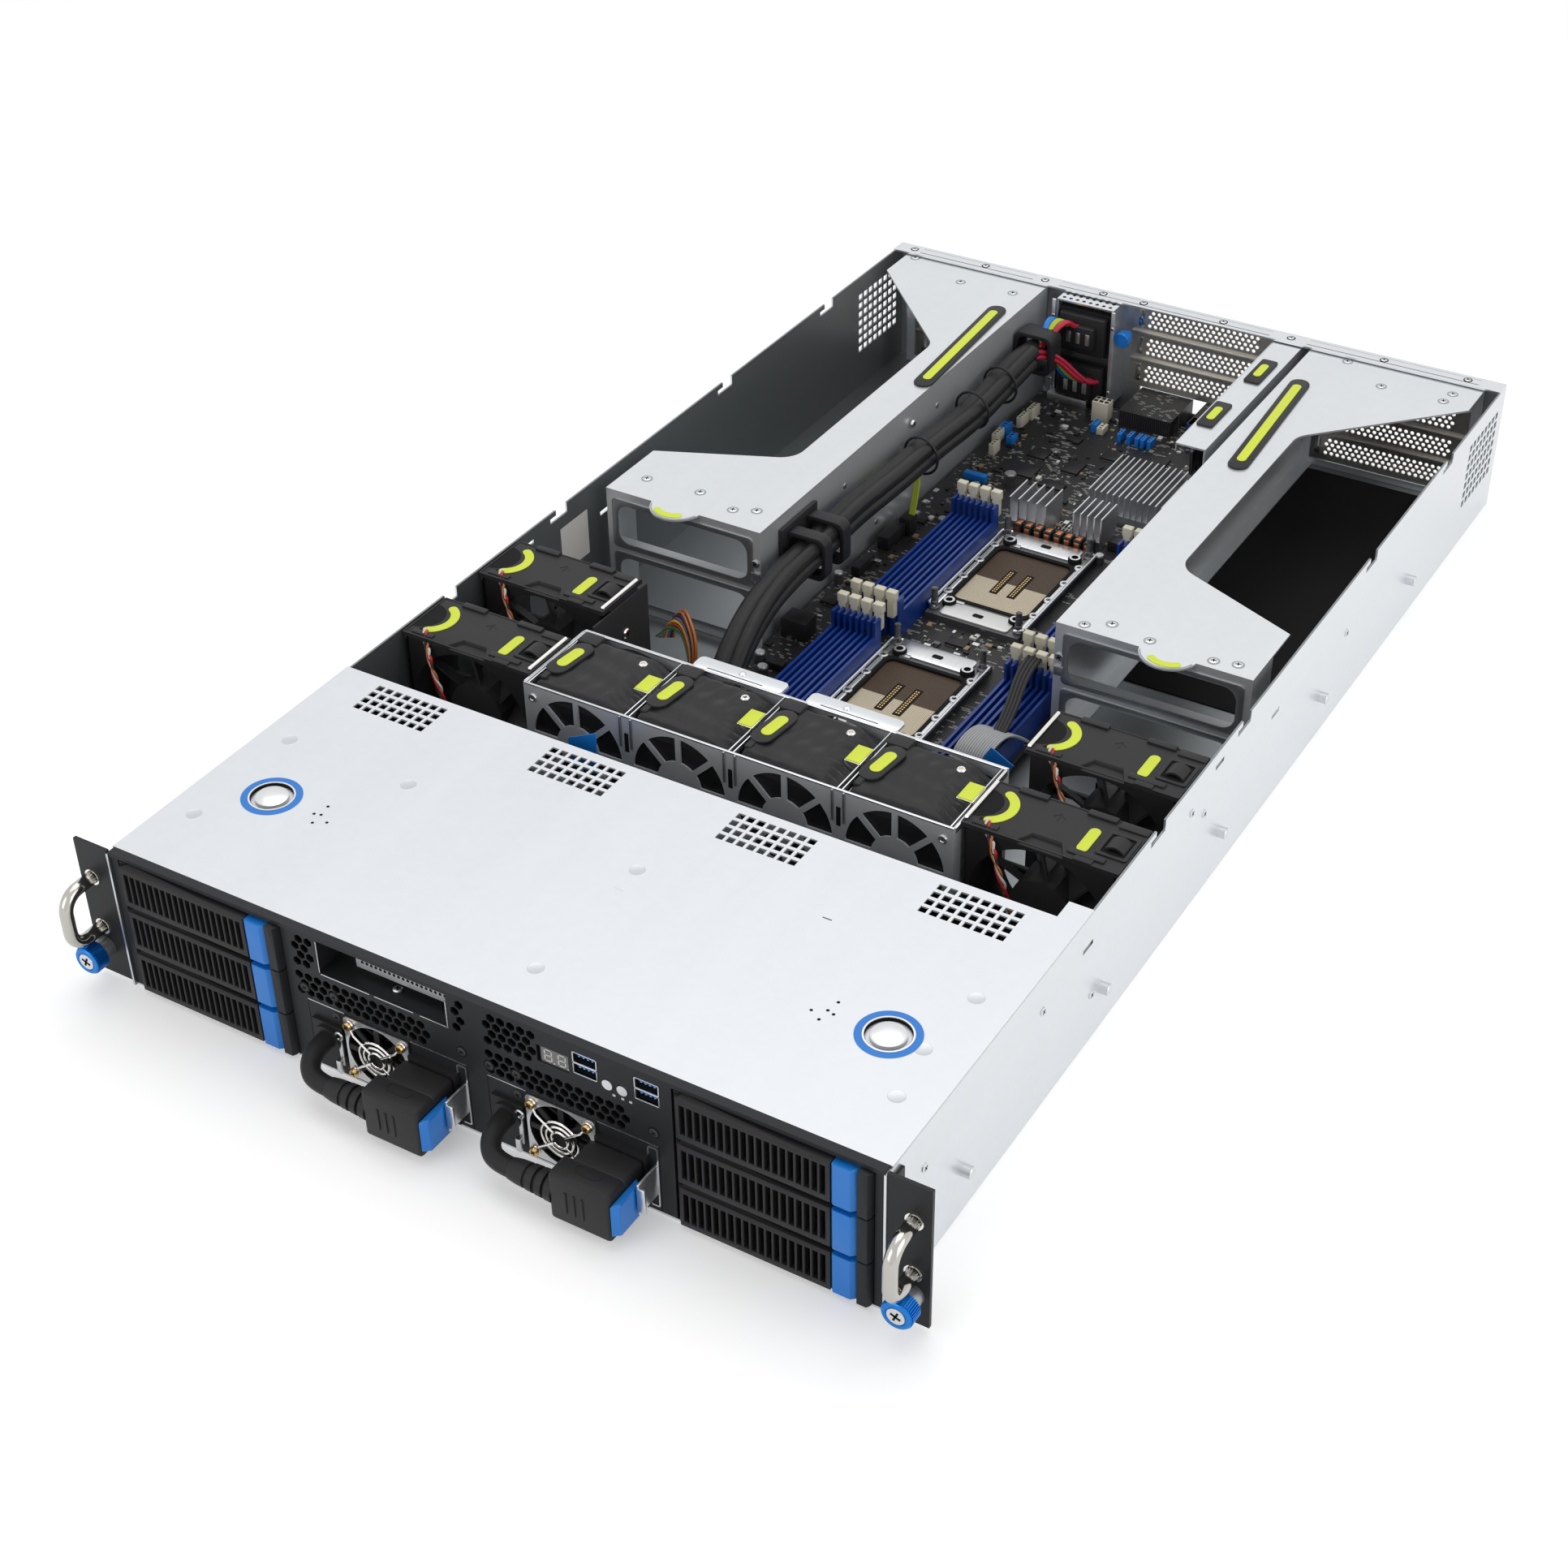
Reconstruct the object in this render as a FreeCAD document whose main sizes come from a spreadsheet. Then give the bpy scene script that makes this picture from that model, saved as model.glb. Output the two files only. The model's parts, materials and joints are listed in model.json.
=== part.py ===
import FreeCAD, Part
import math
import os
import re
import Sketcher

# A 2U rack server with its rear lid off, built as a parametric document.
# Row frame in millimetres: X to the right seen from the front, Y to the rear, Z up.
# The origin is the middle of the chassis underside.

SIZES = {
    # chassis
    "chassis_width": 439.0,
    "chassis_depth": 810.0,
    "chassis_height": 86.0,
    "sheet_wall": 1.2,
    "wall_drop": 1.2,
    "wall_nose": 1.5,
    "seat_gap": 0.3,
    "notch_first": 277.5,
    "notch_second": 386.6,
    "notch_third": 573.4,
    "notch_fourth": 703.8,
    "notch_width": 11.0,
    "notch_depth": 6.5,
    "notch_undercut": 6.0,
    "stud_radius": 3.2,
    "stud_length": 4.6,
    "stud_height": 26.0,
    "stud_first": 71.0,
    "stud_pitch": 145.0,
    # front cover
    "cover_front": 4.0,
    "cover_rear": 187.0,
    "cover_sheet": 1.0,
    "cover_tab": 13.0,
    "vent_hole": 4.2,
    "vent_pitch": 5.9,
    "vent_row_pitch": 6.3,
    "vent_first_row": 160.0,
    "vent_spacing": 113.3,
    "latch_hole": 11.2,
    "latch_inset": 41.5,
    "latch_back": 75.0,
    "latch_button": 8.7,
    "latch_stem": 3.0,
    "latch_travel": 1.2,
    "latch_rise": 0.5,
    "cup_depth": 1.8,
    # ears, handles and rack screws
    "ear_span": 482.6,
    "ear_sheet": 2.0,
    "ear_foot": 2.6,
    "handle_rod": 3.5,
    "handle_reach": 21.0,
    "handle_pitch": 31.5,
    "handle_low": 33.2,
    "handle_bend": 10.0,
    "ear_middle": 233.0,
    "screw_height": 20.5,
    "screw_head": 8.0,
    "screw_head_length": 9.0,
    "screw_shank": 2.4,
    "screw_shank_length": 9.0,
    "screw_ferrule": 5.6,
    "screw_ferrule_length": 6.5,
    # drive bays and trays
    "tray_width": 101.6,
    "tray_height": 26.4,
    "tray_pitch": 27.3,
    "tray_low": 1.9,
    "tray_depth": 165.0,
    "tray_nose": 4.0,
    "tray_sheet": 1.2,
    "bay_inner": 111.2,
    "bay_gap": 0.6,
    "bay_wall": 1.4,
    "lever_length": 82.2,
    "lever_thick": 8.0,
    "lever_rim": 3.2,
    "louvre_count": 19,
    "louvre_bar": 1.2,
    "hinge_inset": 3.2,
    "hinge_pin": 1.2,
    "key_width": 12.4,
    "key_gap": 0.4,
    "key_travel": 2.5,
    # middle modules of the front
    "divider_place": 2.8,
    "divider_thick": 4.8,
    "module_outer": 107.0,
    "shelf_height": 58.8,
    "panel_sheet": 1.2,
    "hex_across": 4.6,
    "hex_pitch": 5.6,
    "slot_recess_left": 89.5,
    "slot_recess_right": 13.0,
    "slot_recess_depth": 19.0,
    "usb_width": 13.2,
    "usb_height": 13.0,
    "usb_depth": 18.0,
    "usb_low": 67.4,
    "usb_first": 64.4,
    "usb_second": 97.6,
    "display_place": 47.4,
    "display_width": 17.6,
    "display_low": 64.4,
    "display_height": 11.8,
    "panel_key_radius": 2.8,
    "panel_key_first": 76.5,
    "panel_key_pitch": 8.0,
    "panel_key_height": 68.8,
    # power supplies, plugs and cords
    "supply_width": 95.0,
    "supply_shift": 1.2,
    "supply_height": 41.0,
    "supply_depth": 185.0,
    "supply_low": 1.5,
    "supply_fan_side": 39.0,
    "supply_fan_place": 41.8,
    "supply_fan_bore": 18.0,
    "supply_fan_depth": 16.0,
    "psu_pitch": 106.8,
    "guard_ring": 16.6,
    "guard_hub": 6.0,
    "guard_wire": 0.7,
    "psu_rotor_tip": 17.2,
    "inlet_face": 3.0,
    "plug_right": -11.5,
    "plug_width": 28.5,
    "plug_wide": 33.5,
    "plug_front": 31.0,
    "plug_step": 17.0,
    "plug_low": 4.6,
    "plug_height": 28.7,
    "relief_end": -70.0,
    "relief_radius": 6.3,
    "tab_thick": 3.5,
    "tab_length": 22.0,
    "tab_low": 9.0,
    "tab_height": 19.0,
    "cord_radius": 5.0,
    "gland_place": -88.0,
    "gland_height": 24.0,
    "gland_plate": 18.0,
    "gland_ring": 7.6,
    # fans
    "fan_pitch": 64.9,
    "fan_side": 60.0,
    "fan_centre_height": 51.0,
    "fan_depth": 56.0,
    "fan_bore": 28.8,
    "fan_wall_front": 226.0,
    "fan_wall_sheet": 1.2,
    "fan_wall_top": 82.4,
    "fan_wall_tab": 9.0,
    "wall_lip_first": -33.0,
    "wall_lip_second": 38.0,
    "wall_lip_width": 56.0,
    "wall_pass_place": 74.0,
    "wall_pass_width": 44.0,
    "spoke_count": 8,
    "spoke_width": 3.2,
    "rotor_hub": 13.5,
    "rotor_tip": 27.6,
    "rotor_depth": 22.0,
    "blade_count": 7,
    "blade_thick": 1.6,
    "side_fan_side": 80.0,
    "side_fan_depth": 38.0,
    "side_fan_bore": 38.2,
    "side_fan_inset": 45.0,
    "side_fan_first": 233.0,
    "side_fan_pitch": 71.0,
    "side_rotor_hub": 17.5,
    "side_rotor_tip": 36.8,
    "carrier_width": 86.0,
    "carrier_lid": 2.4,
    "carrier_skirt": 42.0,
    # card cages
    "cage_sheet": 1.2,
    "cage_front": 420.0,
    "cage_rear": 800.0,
    "cage_drop": 2.0,
    "cage_outer": 208.8,
    "cage_inner_left": 100.0,
    "cage_inner_right": 92.0,
    "cage_strip": 128.0,
    "window_front": 52.0,
    "window_front_inner": 87.0,
    "window_rear_inner": 264.0,
    "window_rear": 348.0,
    "cage_tab_place": 159.0,
    "cage_tab_radius": 17.0,
    "cage_rib": 43.0,
    "cage_post": 28.0,
    # motherboard
    "board_low": 8.0,
    "board_sheet": 1.8,
    "board_front": 296.0,
    "board_rear": 790.0,
    "board_left": 96.0,
    "board_notch": 30.0,
    "board_notch_edge": 62.0,
    "board_right": 88.0,
    "slot_pitch": 8.1,
    "slot_length": 131.0,
    "slot_width": 5.6,
    "slot_height": 17.0,
    "slot_tower": 27.0,
    "tower_length": 7.0,
    "bank_left": -56.3,
    "bank_right": 58.5,
    "bank_front_row": 308.5,
    "bank_rear_row": 460.5,
    "latch_top": 45.0,
    "latch_width": 4.6,
    "latch_depth": 4.6,
    "latch_pivot": 28.0,
    "socket_place": 4.3,
    "socket_front_row": 402.0,
    "socket_rear_row": 546.5,
    "socket_width": 53.0,
    "socket_length": 70.0,
    "socket_frame_width": 63.0,
    "socket_frame_length": 112.0,
    "socket_frame_height": 4.2,
    "socket_field_height": 2.6,
    "socket_post": 2.0,
    "socket_post_height": 17.0,
    "fin_thick": 0.9,
    # rear
    "rear_sheet": 1.2,
    "rear_lip": 13.0,
    "cover_pitch": 20.3,
    "cover_height": 18.4,
    "cover_low": 3.0,
    "cover_thick": 1.0,
    "window_lap": 2.5,
    "centre_slots_left": 38.0,
    "centre_slots_right": 64.0,
    "inlet_left": 86.0,
    "inlet_right": 44.0,
    "inlet_depth": 24.0,
    "inlet_height": 32.0,
    "inlet_first": 10.4,
    "inlet_pitch": 36.5,
    "riser_left": 66.0,
    "riser_right": 86.0,
    "riser_front": 640.0,
    # power harness
    "harness_radius": 7.5,
}

document = FreeCAD.newDocument("rack_server")
sheet = document.addObject("Spreadsheet::Sheet", "Sizes")
nodes = {}


def fill_sheet():
    """Write every driving size to the spreadsheet and give it its alias."""
    for row, (alias, number) in enumerate(SIZES.items(), start=1):
        sheet.set(f"A{row}", alias)
        sheet.set(f"B{row}", str(number))
        sheet.setAlias(f"B{row}", alias)
    document.recompute()


def formula(text):
    """Turn plain size names into references to the spreadsheet."""
    return re.sub(r"[a-z]+_\w+", lambda word: "Sizes." + word[0], str(text))


def value(text):
    """Return a formula's present value."""
    return float(sheet.evalExpression(formula(text)))


def bind(thing, **places):
    """Bind properties to formulas; a double underscore stands for a dot."""
    for name, text in places.items():
        thing.setExpression(name.replace("__", "."), formula(text))
    return thing


def place(thing, x="0", y="0", z="0"):
    """Bind an object's position."""
    return bind(thing, Placement__Base__x=x, Placement__Base__y=y, Placement__Base__z=z)


def block(name, x, y, z):
    """Make a box from low and high formulas along each axis."""
    box = document.addObject("Part::Box", name)
    bind(box, Length=f"({x[1]}) - ({x[0]})", Width=f"({y[1]}) - ({y[0]})")
    bind(box, Height=f"({z[1]}) - ({z[0]})")
    return place(box, x[0], y[0], z[0])


AXIS_TURN = {
    "z": FreeCAD.Rotation(),
    "y": FreeCAD.Rotation(FreeCAD.Vector(1, 0, 0), -90),
    "x": FreeCAD.Rotation(FreeCAD.Vector(0, 1, 0), 90),
}


def rod(name, axis, radius, length, x, y, z):
    """Make a cylinder that starts at a point and runs along +axis."""
    cylinder = document.addObject("Part::Cylinder", name)
    cylinder.Placement.Rotation = AXIS_TURN[axis]
    bind(cylinder, Radius=radius, Height=length)
    return place(cylinder, x, y, z)


def cone(name, axis, radius, end_radius, length, x, y, z):
    """Make a cone frustum that starts at a point and runs along +axis."""
    frustum = document.addObject("Part::Cone", name)
    frustum.Placement.Rotation = AXIS_TURN[axis]
    bind(frustum, Radius1=radius, Radius2=end_radius, Height=length)
    return place(frustum, x, y, z)


def fuse(name, pieces):
    """Join pieces into one solid."""
    joined = document.addObject("Part::MultiFuse", name)
    joined.Shapes = pieces
    joined.Refine = True
    return joined


def cut(name, base, tools):
    """Take tools away from a base."""
    result = document.addObject("Part::Cut", name)
    result.Base = base
    result.Tool = tools[0] if len(tools) == 1 else compound(name + "_tools", tools)
    result.Refine = True
    return result


def compound(name, pieces):
    """Hold separate solids together in one object."""
    held = document.addObject("Part::Compound", name)
    held.Links = pieces
    return held


def node(name, thing):
    """Name the object that is written out as one sub-part."""
    thing.Label = name
    nodes[name] = thing
    return thing


def origin_plane(body, role):
    """Return one of a body's own origin planes or axes."""
    return [feature for feature in body.Origin.OriginFeatures if feature.Role == role][0]


def new_sketch(body, name, role, shift="0", right="0", up="0"):
    """Attach an empty sketch to a body's origin plane at a distance along its normal."""
    sketch = body.newObject("Sketcher::SketchObject", name)
    sketch.AttachmentSupport = [(origin_plane(body, role), "")]
    sketch.MapMode = "FlatFace"
    bind(sketch, AttachmentOffset__Base__z=shift)
    bind(sketch, AttachmentOffset__Base__x=right, AttachmentOffset__Base__y=up)
    return sketch


def draw_polygon(sketch, points):
    """Draw a closed outline whose corners are bound to formulas."""
    corners = [FreeCAD.Vector(value(x), value(y), 0) for x, y in points]
    first = sketch.GeometryCount
    count = len(corners)
    for index, corner in enumerate(corners):
        sketch.addGeometry(Part.LineSegment(corner, corners[(index + 1) % count]))
    for index in range(count):
        line = first + index
        following = first + (index + 1) % count
        sketch.addConstraint(Sketcher.Constraint("Coincident", line, 2, following, 1))
    for index, (x, y) in enumerate(points):
        line = first + index
        corner = corners[index]
        for kind, text, number in (("DistanceX", x, corner.x), ("DistanceY", y, corner.y)):
            spot = sketch.addConstraint(Sketcher.Constraint(kind, -1, 1, line, 1, number))
            sketch.setExpression(f"Constraints[{spot}]", formula(text))


def draw_circle(sketch, radius, x="0", y="0"):
    """Draw a circle with a bound centre and radius."""
    centre = FreeCAD.Vector(value(x), value(y), 0)
    circle = sketch.addGeometry(Part.Circle(centre, FreeCAD.Vector(0, 0, 1), value(radius)))
    spot = sketch.addConstraint(Sketcher.Constraint("Radius", circle, value(radius)))
    sketch.setExpression(f"Constraints[{spot}]", formula(radius))
    for kind, text, number in (("DistanceX", x, centre.x), ("DistanceY", y, centre.y)):
        spot = sketch.addConstraint(Sketcher.Constraint(kind, -1, 1, circle, 3, number))
        sketch.setExpression(f"Constraints[{spot}]", formula(text))


def rectangle(x, y):
    """Return the corners of a rectangle from low and high formulas."""
    return [(x[0], y[0]), (x[1], y[0]), (x[1], y[1]), (x[0], y[1])]


PLANES = {"x": "YZ_Plane", "y": "XZ_Plane", "z": "XY_Plane"}


def pad(body, name, axis, low, high, polygons=(), circles=()):
    """Pad outlines between two places along an axis."""
    start = f"-({high})" if axis == "y" else low
    sketch = new_sketch(body, name + "_sketch", PLANES[axis], start)
    for polygon in polygons:
        draw_polygon(sketch, polygon)
    for circle in circles:
        draw_circle(sketch, *circle)
    feature = body.newObject("PartDesign::Pad", name)
    feature.Profile = sketch
    bind(feature, Length=f"({high}) - ({low})")
    return feature


def pocket(body, name, axis, polygons=(), circles=(), right="0", up="0"):
    """Cut outlines right through a body along an axis."""
    sketch = new_sketch(body, name + "_sketch", PLANES[axis], "0", right, up)
    for polygon in polygons:
        draw_polygon(sketch, polygon)
    for circle in circles:
        draw_circle(sketch, *circle)
    feature = body.newObject("PartDesign::Pocket", name)
    feature.Profile = sketch
    feature.Type = 1
    feature.Midplane = True
    return feature


def repeat_along(body, name, feature, count, length, axis="H_Axis"):
    """Repeat a pocket along its sketch's horizontal or vertical axis."""
    pattern = body.newObject("PartDesign::LinearPattern", name)
    pattern.Originals = [feature]
    pattern.Direction = (feature.Profile[0], [axis])
    bind(pattern, Occurrences=count, Length=length)
    body.Tip = pattern
    return pattern


def repeat_round(body, name, feature, count):
    """Repeat a feature about its sketch's normal."""
    pattern = body.newObject("PartDesign::PolarPattern", name)
    pattern.Originals = [feature]
    pattern.Axis = (feature.Profile[0], ["N_Axis"])
    pattern.Angle = 360
    bind(pattern, Occurrences=count)
    body.Tip = pattern
    return pattern


def new_body(name):
    """Start a PartDesign body."""
    return document.addObject("PartDesign::Body", name)


LEFT = "(-chassis_width / 2)"
RIGHT = "(chassis_width / 2)"
FRONT = "(-chassis_depth / 2)"
REAR = "(chassis_depth / 2)"
TOP = "chassis_height"
WALL_TOP = "(chassis_height - wall_drop)"


def back(text):
    """Return a place measured back from the front plane."""
    return f"{FRONT} + {text}"


def mirrored(side, low, high):
    """Return a low and high pair on the right side, or its mirror on the left."""
    return (low, high) if side > 0 else (f"-({high})", f"-({low})")


# ---------------------------------------------------------------- chassis


def side_wall(name, side):
    """Make a side wall whose top edge has the hooks' notches, with its rail studs."""
    body = new_body(name + "_body")
    nose = back("0") + " - wall_nose"
    outline = [(nose, "0"), (REAR, "0"), (REAR, WALL_TOP)]
    for notch in ("notch_fourth", "notch_third", "notch_second", "notch_first"):
        rear_edge = back(f"{notch} + notch_width / 2")
        front_edge = back(f"{notch} - notch_width / 2")
        floor = f"{WALL_TOP} - notch_depth"
        tooth = f"{WALL_TOP} - notch_depth / 2"
        hook = f"{front_edge} - notch_undercut"
        outline += [(rear_edge, WALL_TOP), (rear_edge, floor), (hook, floor)]
        outline += [(hook, tooth), (front_edge, tooth), (front_edge, WALL_TOP)]
    outline.append((nose, WALL_TOP))
    low, high = mirrored(side, f"{RIGHT} - sheet_wall", RIGHT)
    pad(body, name + "_pad", "x", low, high, [outline])
    studs = []
    start = RIGHT if side > 0 else f"{LEFT} - stud_length"
    for number in range(5):
        y = back(f"stud_first + {number} * stud_pitch")
        studs.append(rod(f"{name}_stud", "x", "stud_radius", "stud_length", start, y, "stud_height"))
    return [body] + studs


def chassis_tray():
    """Make the folded bottom tray: floor, notched side walls and rail studs."""
    inner = (f"{LEFT} + sheet_wall", f"{RIGHT} - sheet_wall")
    floor = block("floor", inner, (FRONT, REAR), ("0", "sheet_wall"))
    walls = side_wall("wall_left", -1) + side_wall("wall_right", 1)
    node("chassis_tray", fuse("chassis_tray", [floor] + walls))


def latch_places():
    """Return the X formulas of the two cover release buttons."""
    return [f"{LEFT} + latch_inset", f"{RIGHT} - latch_inset"]


def front_cover():
    """Make the fixed front cover with its vents, rear tab and latch cups."""
    body = new_body("cover_body")
    low, high = f"{TOP} - cover_sheet", TOP
    front, rear = back("cover_front"), back("cover_rear")
    tab_inner = f"{RIGHT} - cover_tab"
    outline = [(LEFT, front), (RIGHT, front), (RIGHT, f"{rear} + cover_tab"),
               (tab_inner, f"{rear} + cover_tab"), (tab_inner, rear), (LEFT, rear)]
    pad(body, "cover_pad", "z", low, high, [outline])
    holes = [("latch_hole", x, back("latch_back")) for x in latch_places()]
    pocket(body, "latch_holes", "z", circles=holes)
    squares = []
    for group in (-1.5, -0.5, 0.5, 1.5):
        start = f"({group} * vent_spacing - 3.5 * vent_pitch - vent_hole / 2)"
        for row in range(4):
            y = back(f"vent_first_row + {row} * vent_row_pitch")
            squares.append(rectangle((start, f"{start} + vent_hole"),
                                     (f"{y} - vent_hole / 2", f"{y} + vent_hole / 2")))
    vents = pocket(body, "vents", "z", squares)
    repeat_along(body, "vent_rows", vents, "8", "7 * vent_pitch")
    pieces = [body]
    for x in latch_places():
        y = back("latch_back")
        bottom = f"{low} - cup_depth"
        outer = rod("cup", "z", "latch_hole + cover_sheet", "cup_depth + cover_sheet / 2", x, y, bottom)
        inner = rod("cup_hollow", "z", "latch_hole", "cup_depth + cover_sheet", x, y,
                    f"{bottom} + cover_sheet")
        guide = rod("cup_guide", "z", "latch_stem + seat_gap", "cover_sheet + 2", x, y, f"{bottom} - 1")
        pieces.append(cut("latch_cup", outer, [inner, guide]))
    solids = [fuse("cover_sheet_and_cups", pieces)]
    for side in (-1, 1):
        x = mirrored(side, f"{RIGHT} - sheet_wall - seat_gap - cover_sheet",
                     f"{RIGHT} - sheet_wall - seat_gap")
        solids.append(block("cover_skirt", x, (f"{front} + 8", rear), (f"{high} - 8", low)))
    node("front_cover", compound("front_cover", solids))


def cover_buttons():
    """Make the two domed release buttons of the cover."""
    for name, x in zip(("cover_button_left", "cover_button_right"), latch_places()):
        y = back("latch_back")
        rim = f"{TOP} + latch_rise"
        cup_floor = f"({TOP} - cover_sheet - cup_depth + cover_sheet)"
        dome_low = f"({cup_floor} + latch_travel)"
        disc = rod("button_disc", "z", "latch_button", f"{rim} - {dome_low}", x, y, dome_low)
        crown = cone("button_crown", "z", "latch_button", "latch_button * 0.72", "1.3", x, y, rim)
        stem = rod("button_stem", "z", "latch_stem", "latch_travel + 0.6", x, y,
                   f"{cup_floor} - 0.6")
        node(name, fuse(name, [disc, crown, stem]))


# ---------------------------------------------------------------- front frame


BAY_LOW = "sheet_wall"
BAY_TOP = f"({TOP} - 2.4)"
TRAY_Y = (back("0") + " - tray_nose", back("tray_depth"))


def tray_left(side):
    """Return the X formula of a tray's left edge in the left or right bay."""
    return "bay_inner" if side > 0 else "-bay_inner - tray_width"


def tray_bottom(level):
    """Return the Z formula of a tray's underside; level 0 is the lowest."""
    return f"tray_low + {level} * tray_pitch"


def hexagon(x, y):
    """Return the corners of an upright hexagon about a centre."""
    reach = "hex_across / 1.7320508"
    flat = "hex_across / 2"
    return [(x, f"{y} + {reach}"), (f"{x} - {flat}", f"{y} + {reach} / 2"),
            (f"{x} - {flat}", f"{y} - {reach} / 2"), (x, f"{y} - {reach}"),
            (f"{x} + {flat}", f"{y} - {reach} / 2"), (f"{x} + {flat}", f"{y} + {reach} / 2")]


def hex_field(body, name, x, z, columns, rows):
    """Cut a staggered field of hexagons, from its lower left one."""
    polygons = []
    for row in range(rows):
        shift = "0" if row % 2 == 0 else "hex_pitch / 2"
        polygons.append(hexagon(f"{x} + {shift}", f"{z} + {row} * hex_pitch * 0.866"))
    cutting = pocket(body, name, "y", polygons)
    if columns > 1:
        repeat_along(body, name + "_row", cutting, str(columns), f"{columns - 1} * hex_pitch")


def module_edges(side):
    """Return the X edges of the middle module left or right of the divider."""
    if side < 0:
        return "-module_outer", "divider_place - divider_thick / 2"
    return "divider_place + divider_thick / 2", "module_outer + divider_place / 2"


def panel_key_places():
    """Return the X formulas of the two panel buttons."""
    return ["panel_key_first", "panel_key_first + panel_key_pitch"]


def upper_panels():
    """Make the two upper panels: the card slot's recess and the controls."""
    face = (back("0"), back("panel_sheet"))
    z = ("shelf_height + 1.4", BAY_TOP)
    left, right = module_edges(-1)
    slot = new_body("slot_panel_body")
    pad(slot, "slot_panel_pad", "y", *face, [rectangle((left, right), z)])
    recess_x = ("-slot_recess_left", "-slot_recess_right")
    pocket(slot, "slot_window", "y", [rectangle(recess_x, ("shelf_height + 4", f"{BAY_TOP} - 1"))])
    hex_field(slot, "slot_hex_left", f"{left} + 4.4", "shelf_height + 6", 2, 4)
    hex_field(slot, "slot_hex_right", f"{right} - 8.6", "shelf_height + 6", 1, 4)
    depth = (back("panel_sheet"), back("slot_recess_depth"))
    floor = block("recess_floor", recess_x, depth, ("shelf_height + 2.8", "shelf_height + 4"))
    sides = [block("recess_side", ("-slot_recess_left - 1", "-slot_recess_left"), depth,
                   ("shelf_height + 2.8", BAY_TOP)),
             block("recess_side", ("-slot_recess_right", "-slot_recess_right + 1"), depth,
                   ("shelf_height + 2.8", BAY_TOP))]
    left, right = module_edges(1)
    control = new_body("control_panel_body")
    pad(control, "control_panel_pad", "y", *face, [rectangle((left, right), z)])
    openings = [rectangle((f"{x} - usb_width / 2", f"{x} + usb_width / 2"),
                          ("usb_low", "usb_low + usb_height")) for x in ("usb_first", "usb_second")]
    shown = "display_width / 2 - 1"
    openings.append(rectangle((f"display_place - {shown}", f"display_place + {shown}"),
                              ("display_low + 1", "display_low + display_height - 1")))
    pocket(control, "control_windows", "y", openings)
    key_holes = [("panel_key_radius + seat_gap", x, "panel_key_height") for x in panel_key_places()]
    pocket(control, "key_holes", "y", circles=key_holes)
    hex_field(control, "control_hex", f"{left} + 4.5", "shelf_height + 6", 5, 4)
    display = block("display", ("display_place - display_width / 2", "display_place + display_width / 2"),
                    (back("panel_sheet"), back("4")), ("display_low", "display_low + display_height"))
    return [slot, fuse("recess", [floor] + sides), control, display]


def usb_stack(x):
    """Make a stacked pair of USB shells behind the control panel."""
    outer = block("usb_shell", (f"{x} - usb_width / 2", f"{x} + usb_width / 2"),
                  (back("0.2"), back("usb_depth")), ("usb_low", "usb_low + usb_height"))
    hollows = []
    for level in (0, 1):
        low = f"usb_low + 0.5 + {level} * usb_height / 2"
        hollows.append(block("usb_hollow", (f"{x} - usb_width / 2 + 0.5", f"{x} + usb_width / 2 - 0.5"),
                             (back("-1"), back("usb_depth - 4")), (low, f"{low} + usb_height / 2 - 1")))
    return cut("usb_stack", outer, hollows)


def supply_left(number):
    """Return the X formula of a power supply's left edge, numbered 0 and 1 from the left."""
    left, right = module_edges(-1)
    return f"(({left} + {right}) / 2 - supply_width / 2 + supply_shift + {number} * psu_pitch)"


def supply_surround(side):
    """Make the hexagon grille plate round a power supply."""
    left, right = module_edges(side)
    body = new_body("surround_body")
    pad(body, "surround_pad", "y", back("0"), back("panel_sheet"),
        [rectangle((left, right), ("sheet_wall", "shelf_height"))])
    inner = supply_left(0 if side < 0 else 1)
    window = rectangle((f"{inner} - seat_gap", f"{inner} + supply_width + seat_gap"),
                       ("sheet_wall - 1", "supply_low + supply_height + seat_gap"))
    pocket(body, "surround_window", "y", [window])
    hex_field(body, "surround_hex", f"{left} + 4.2", "supply_low + supply_height + 4.2", 14, 3)
    return body


def drive_bay(side):
    """Make a drive bay of seated plates: inner wall, outer rail, front cheek and back."""
    wall_y = (back("0"), back("tray_depth + 12"))
    outer = "bay_inner + tray_width + bay_gap"
    wall = block("bay_wall", mirrored(side, "bay_inner - bay_gap - bay_wall", "bay_inner - bay_gap"), wall_y,
                 (BAY_LOW, BAY_TOP))
    rail = block("bay_rail", mirrored(side, outer, f"{outer} + bay_wall"), wall_y, (BAY_LOW, BAY_TOP))
    cheek = block("bay_cheek", mirrored(side, f"{outer} + bay_wall", f"{RIGHT} - sheet_wall"),
                  (back("0"), back("10")), (BAY_LOW, BAY_TOP))
    end = block("bay_back", mirrored(side, "bay_inner - bay_gap - bay_wall", f"{outer} + bay_wall"),
                (back("tray_depth + 12"), back("tray_depth + 13.2")), (BAY_LOW, BAY_TOP))
    return [wall, rail, cheek, end]


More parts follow.
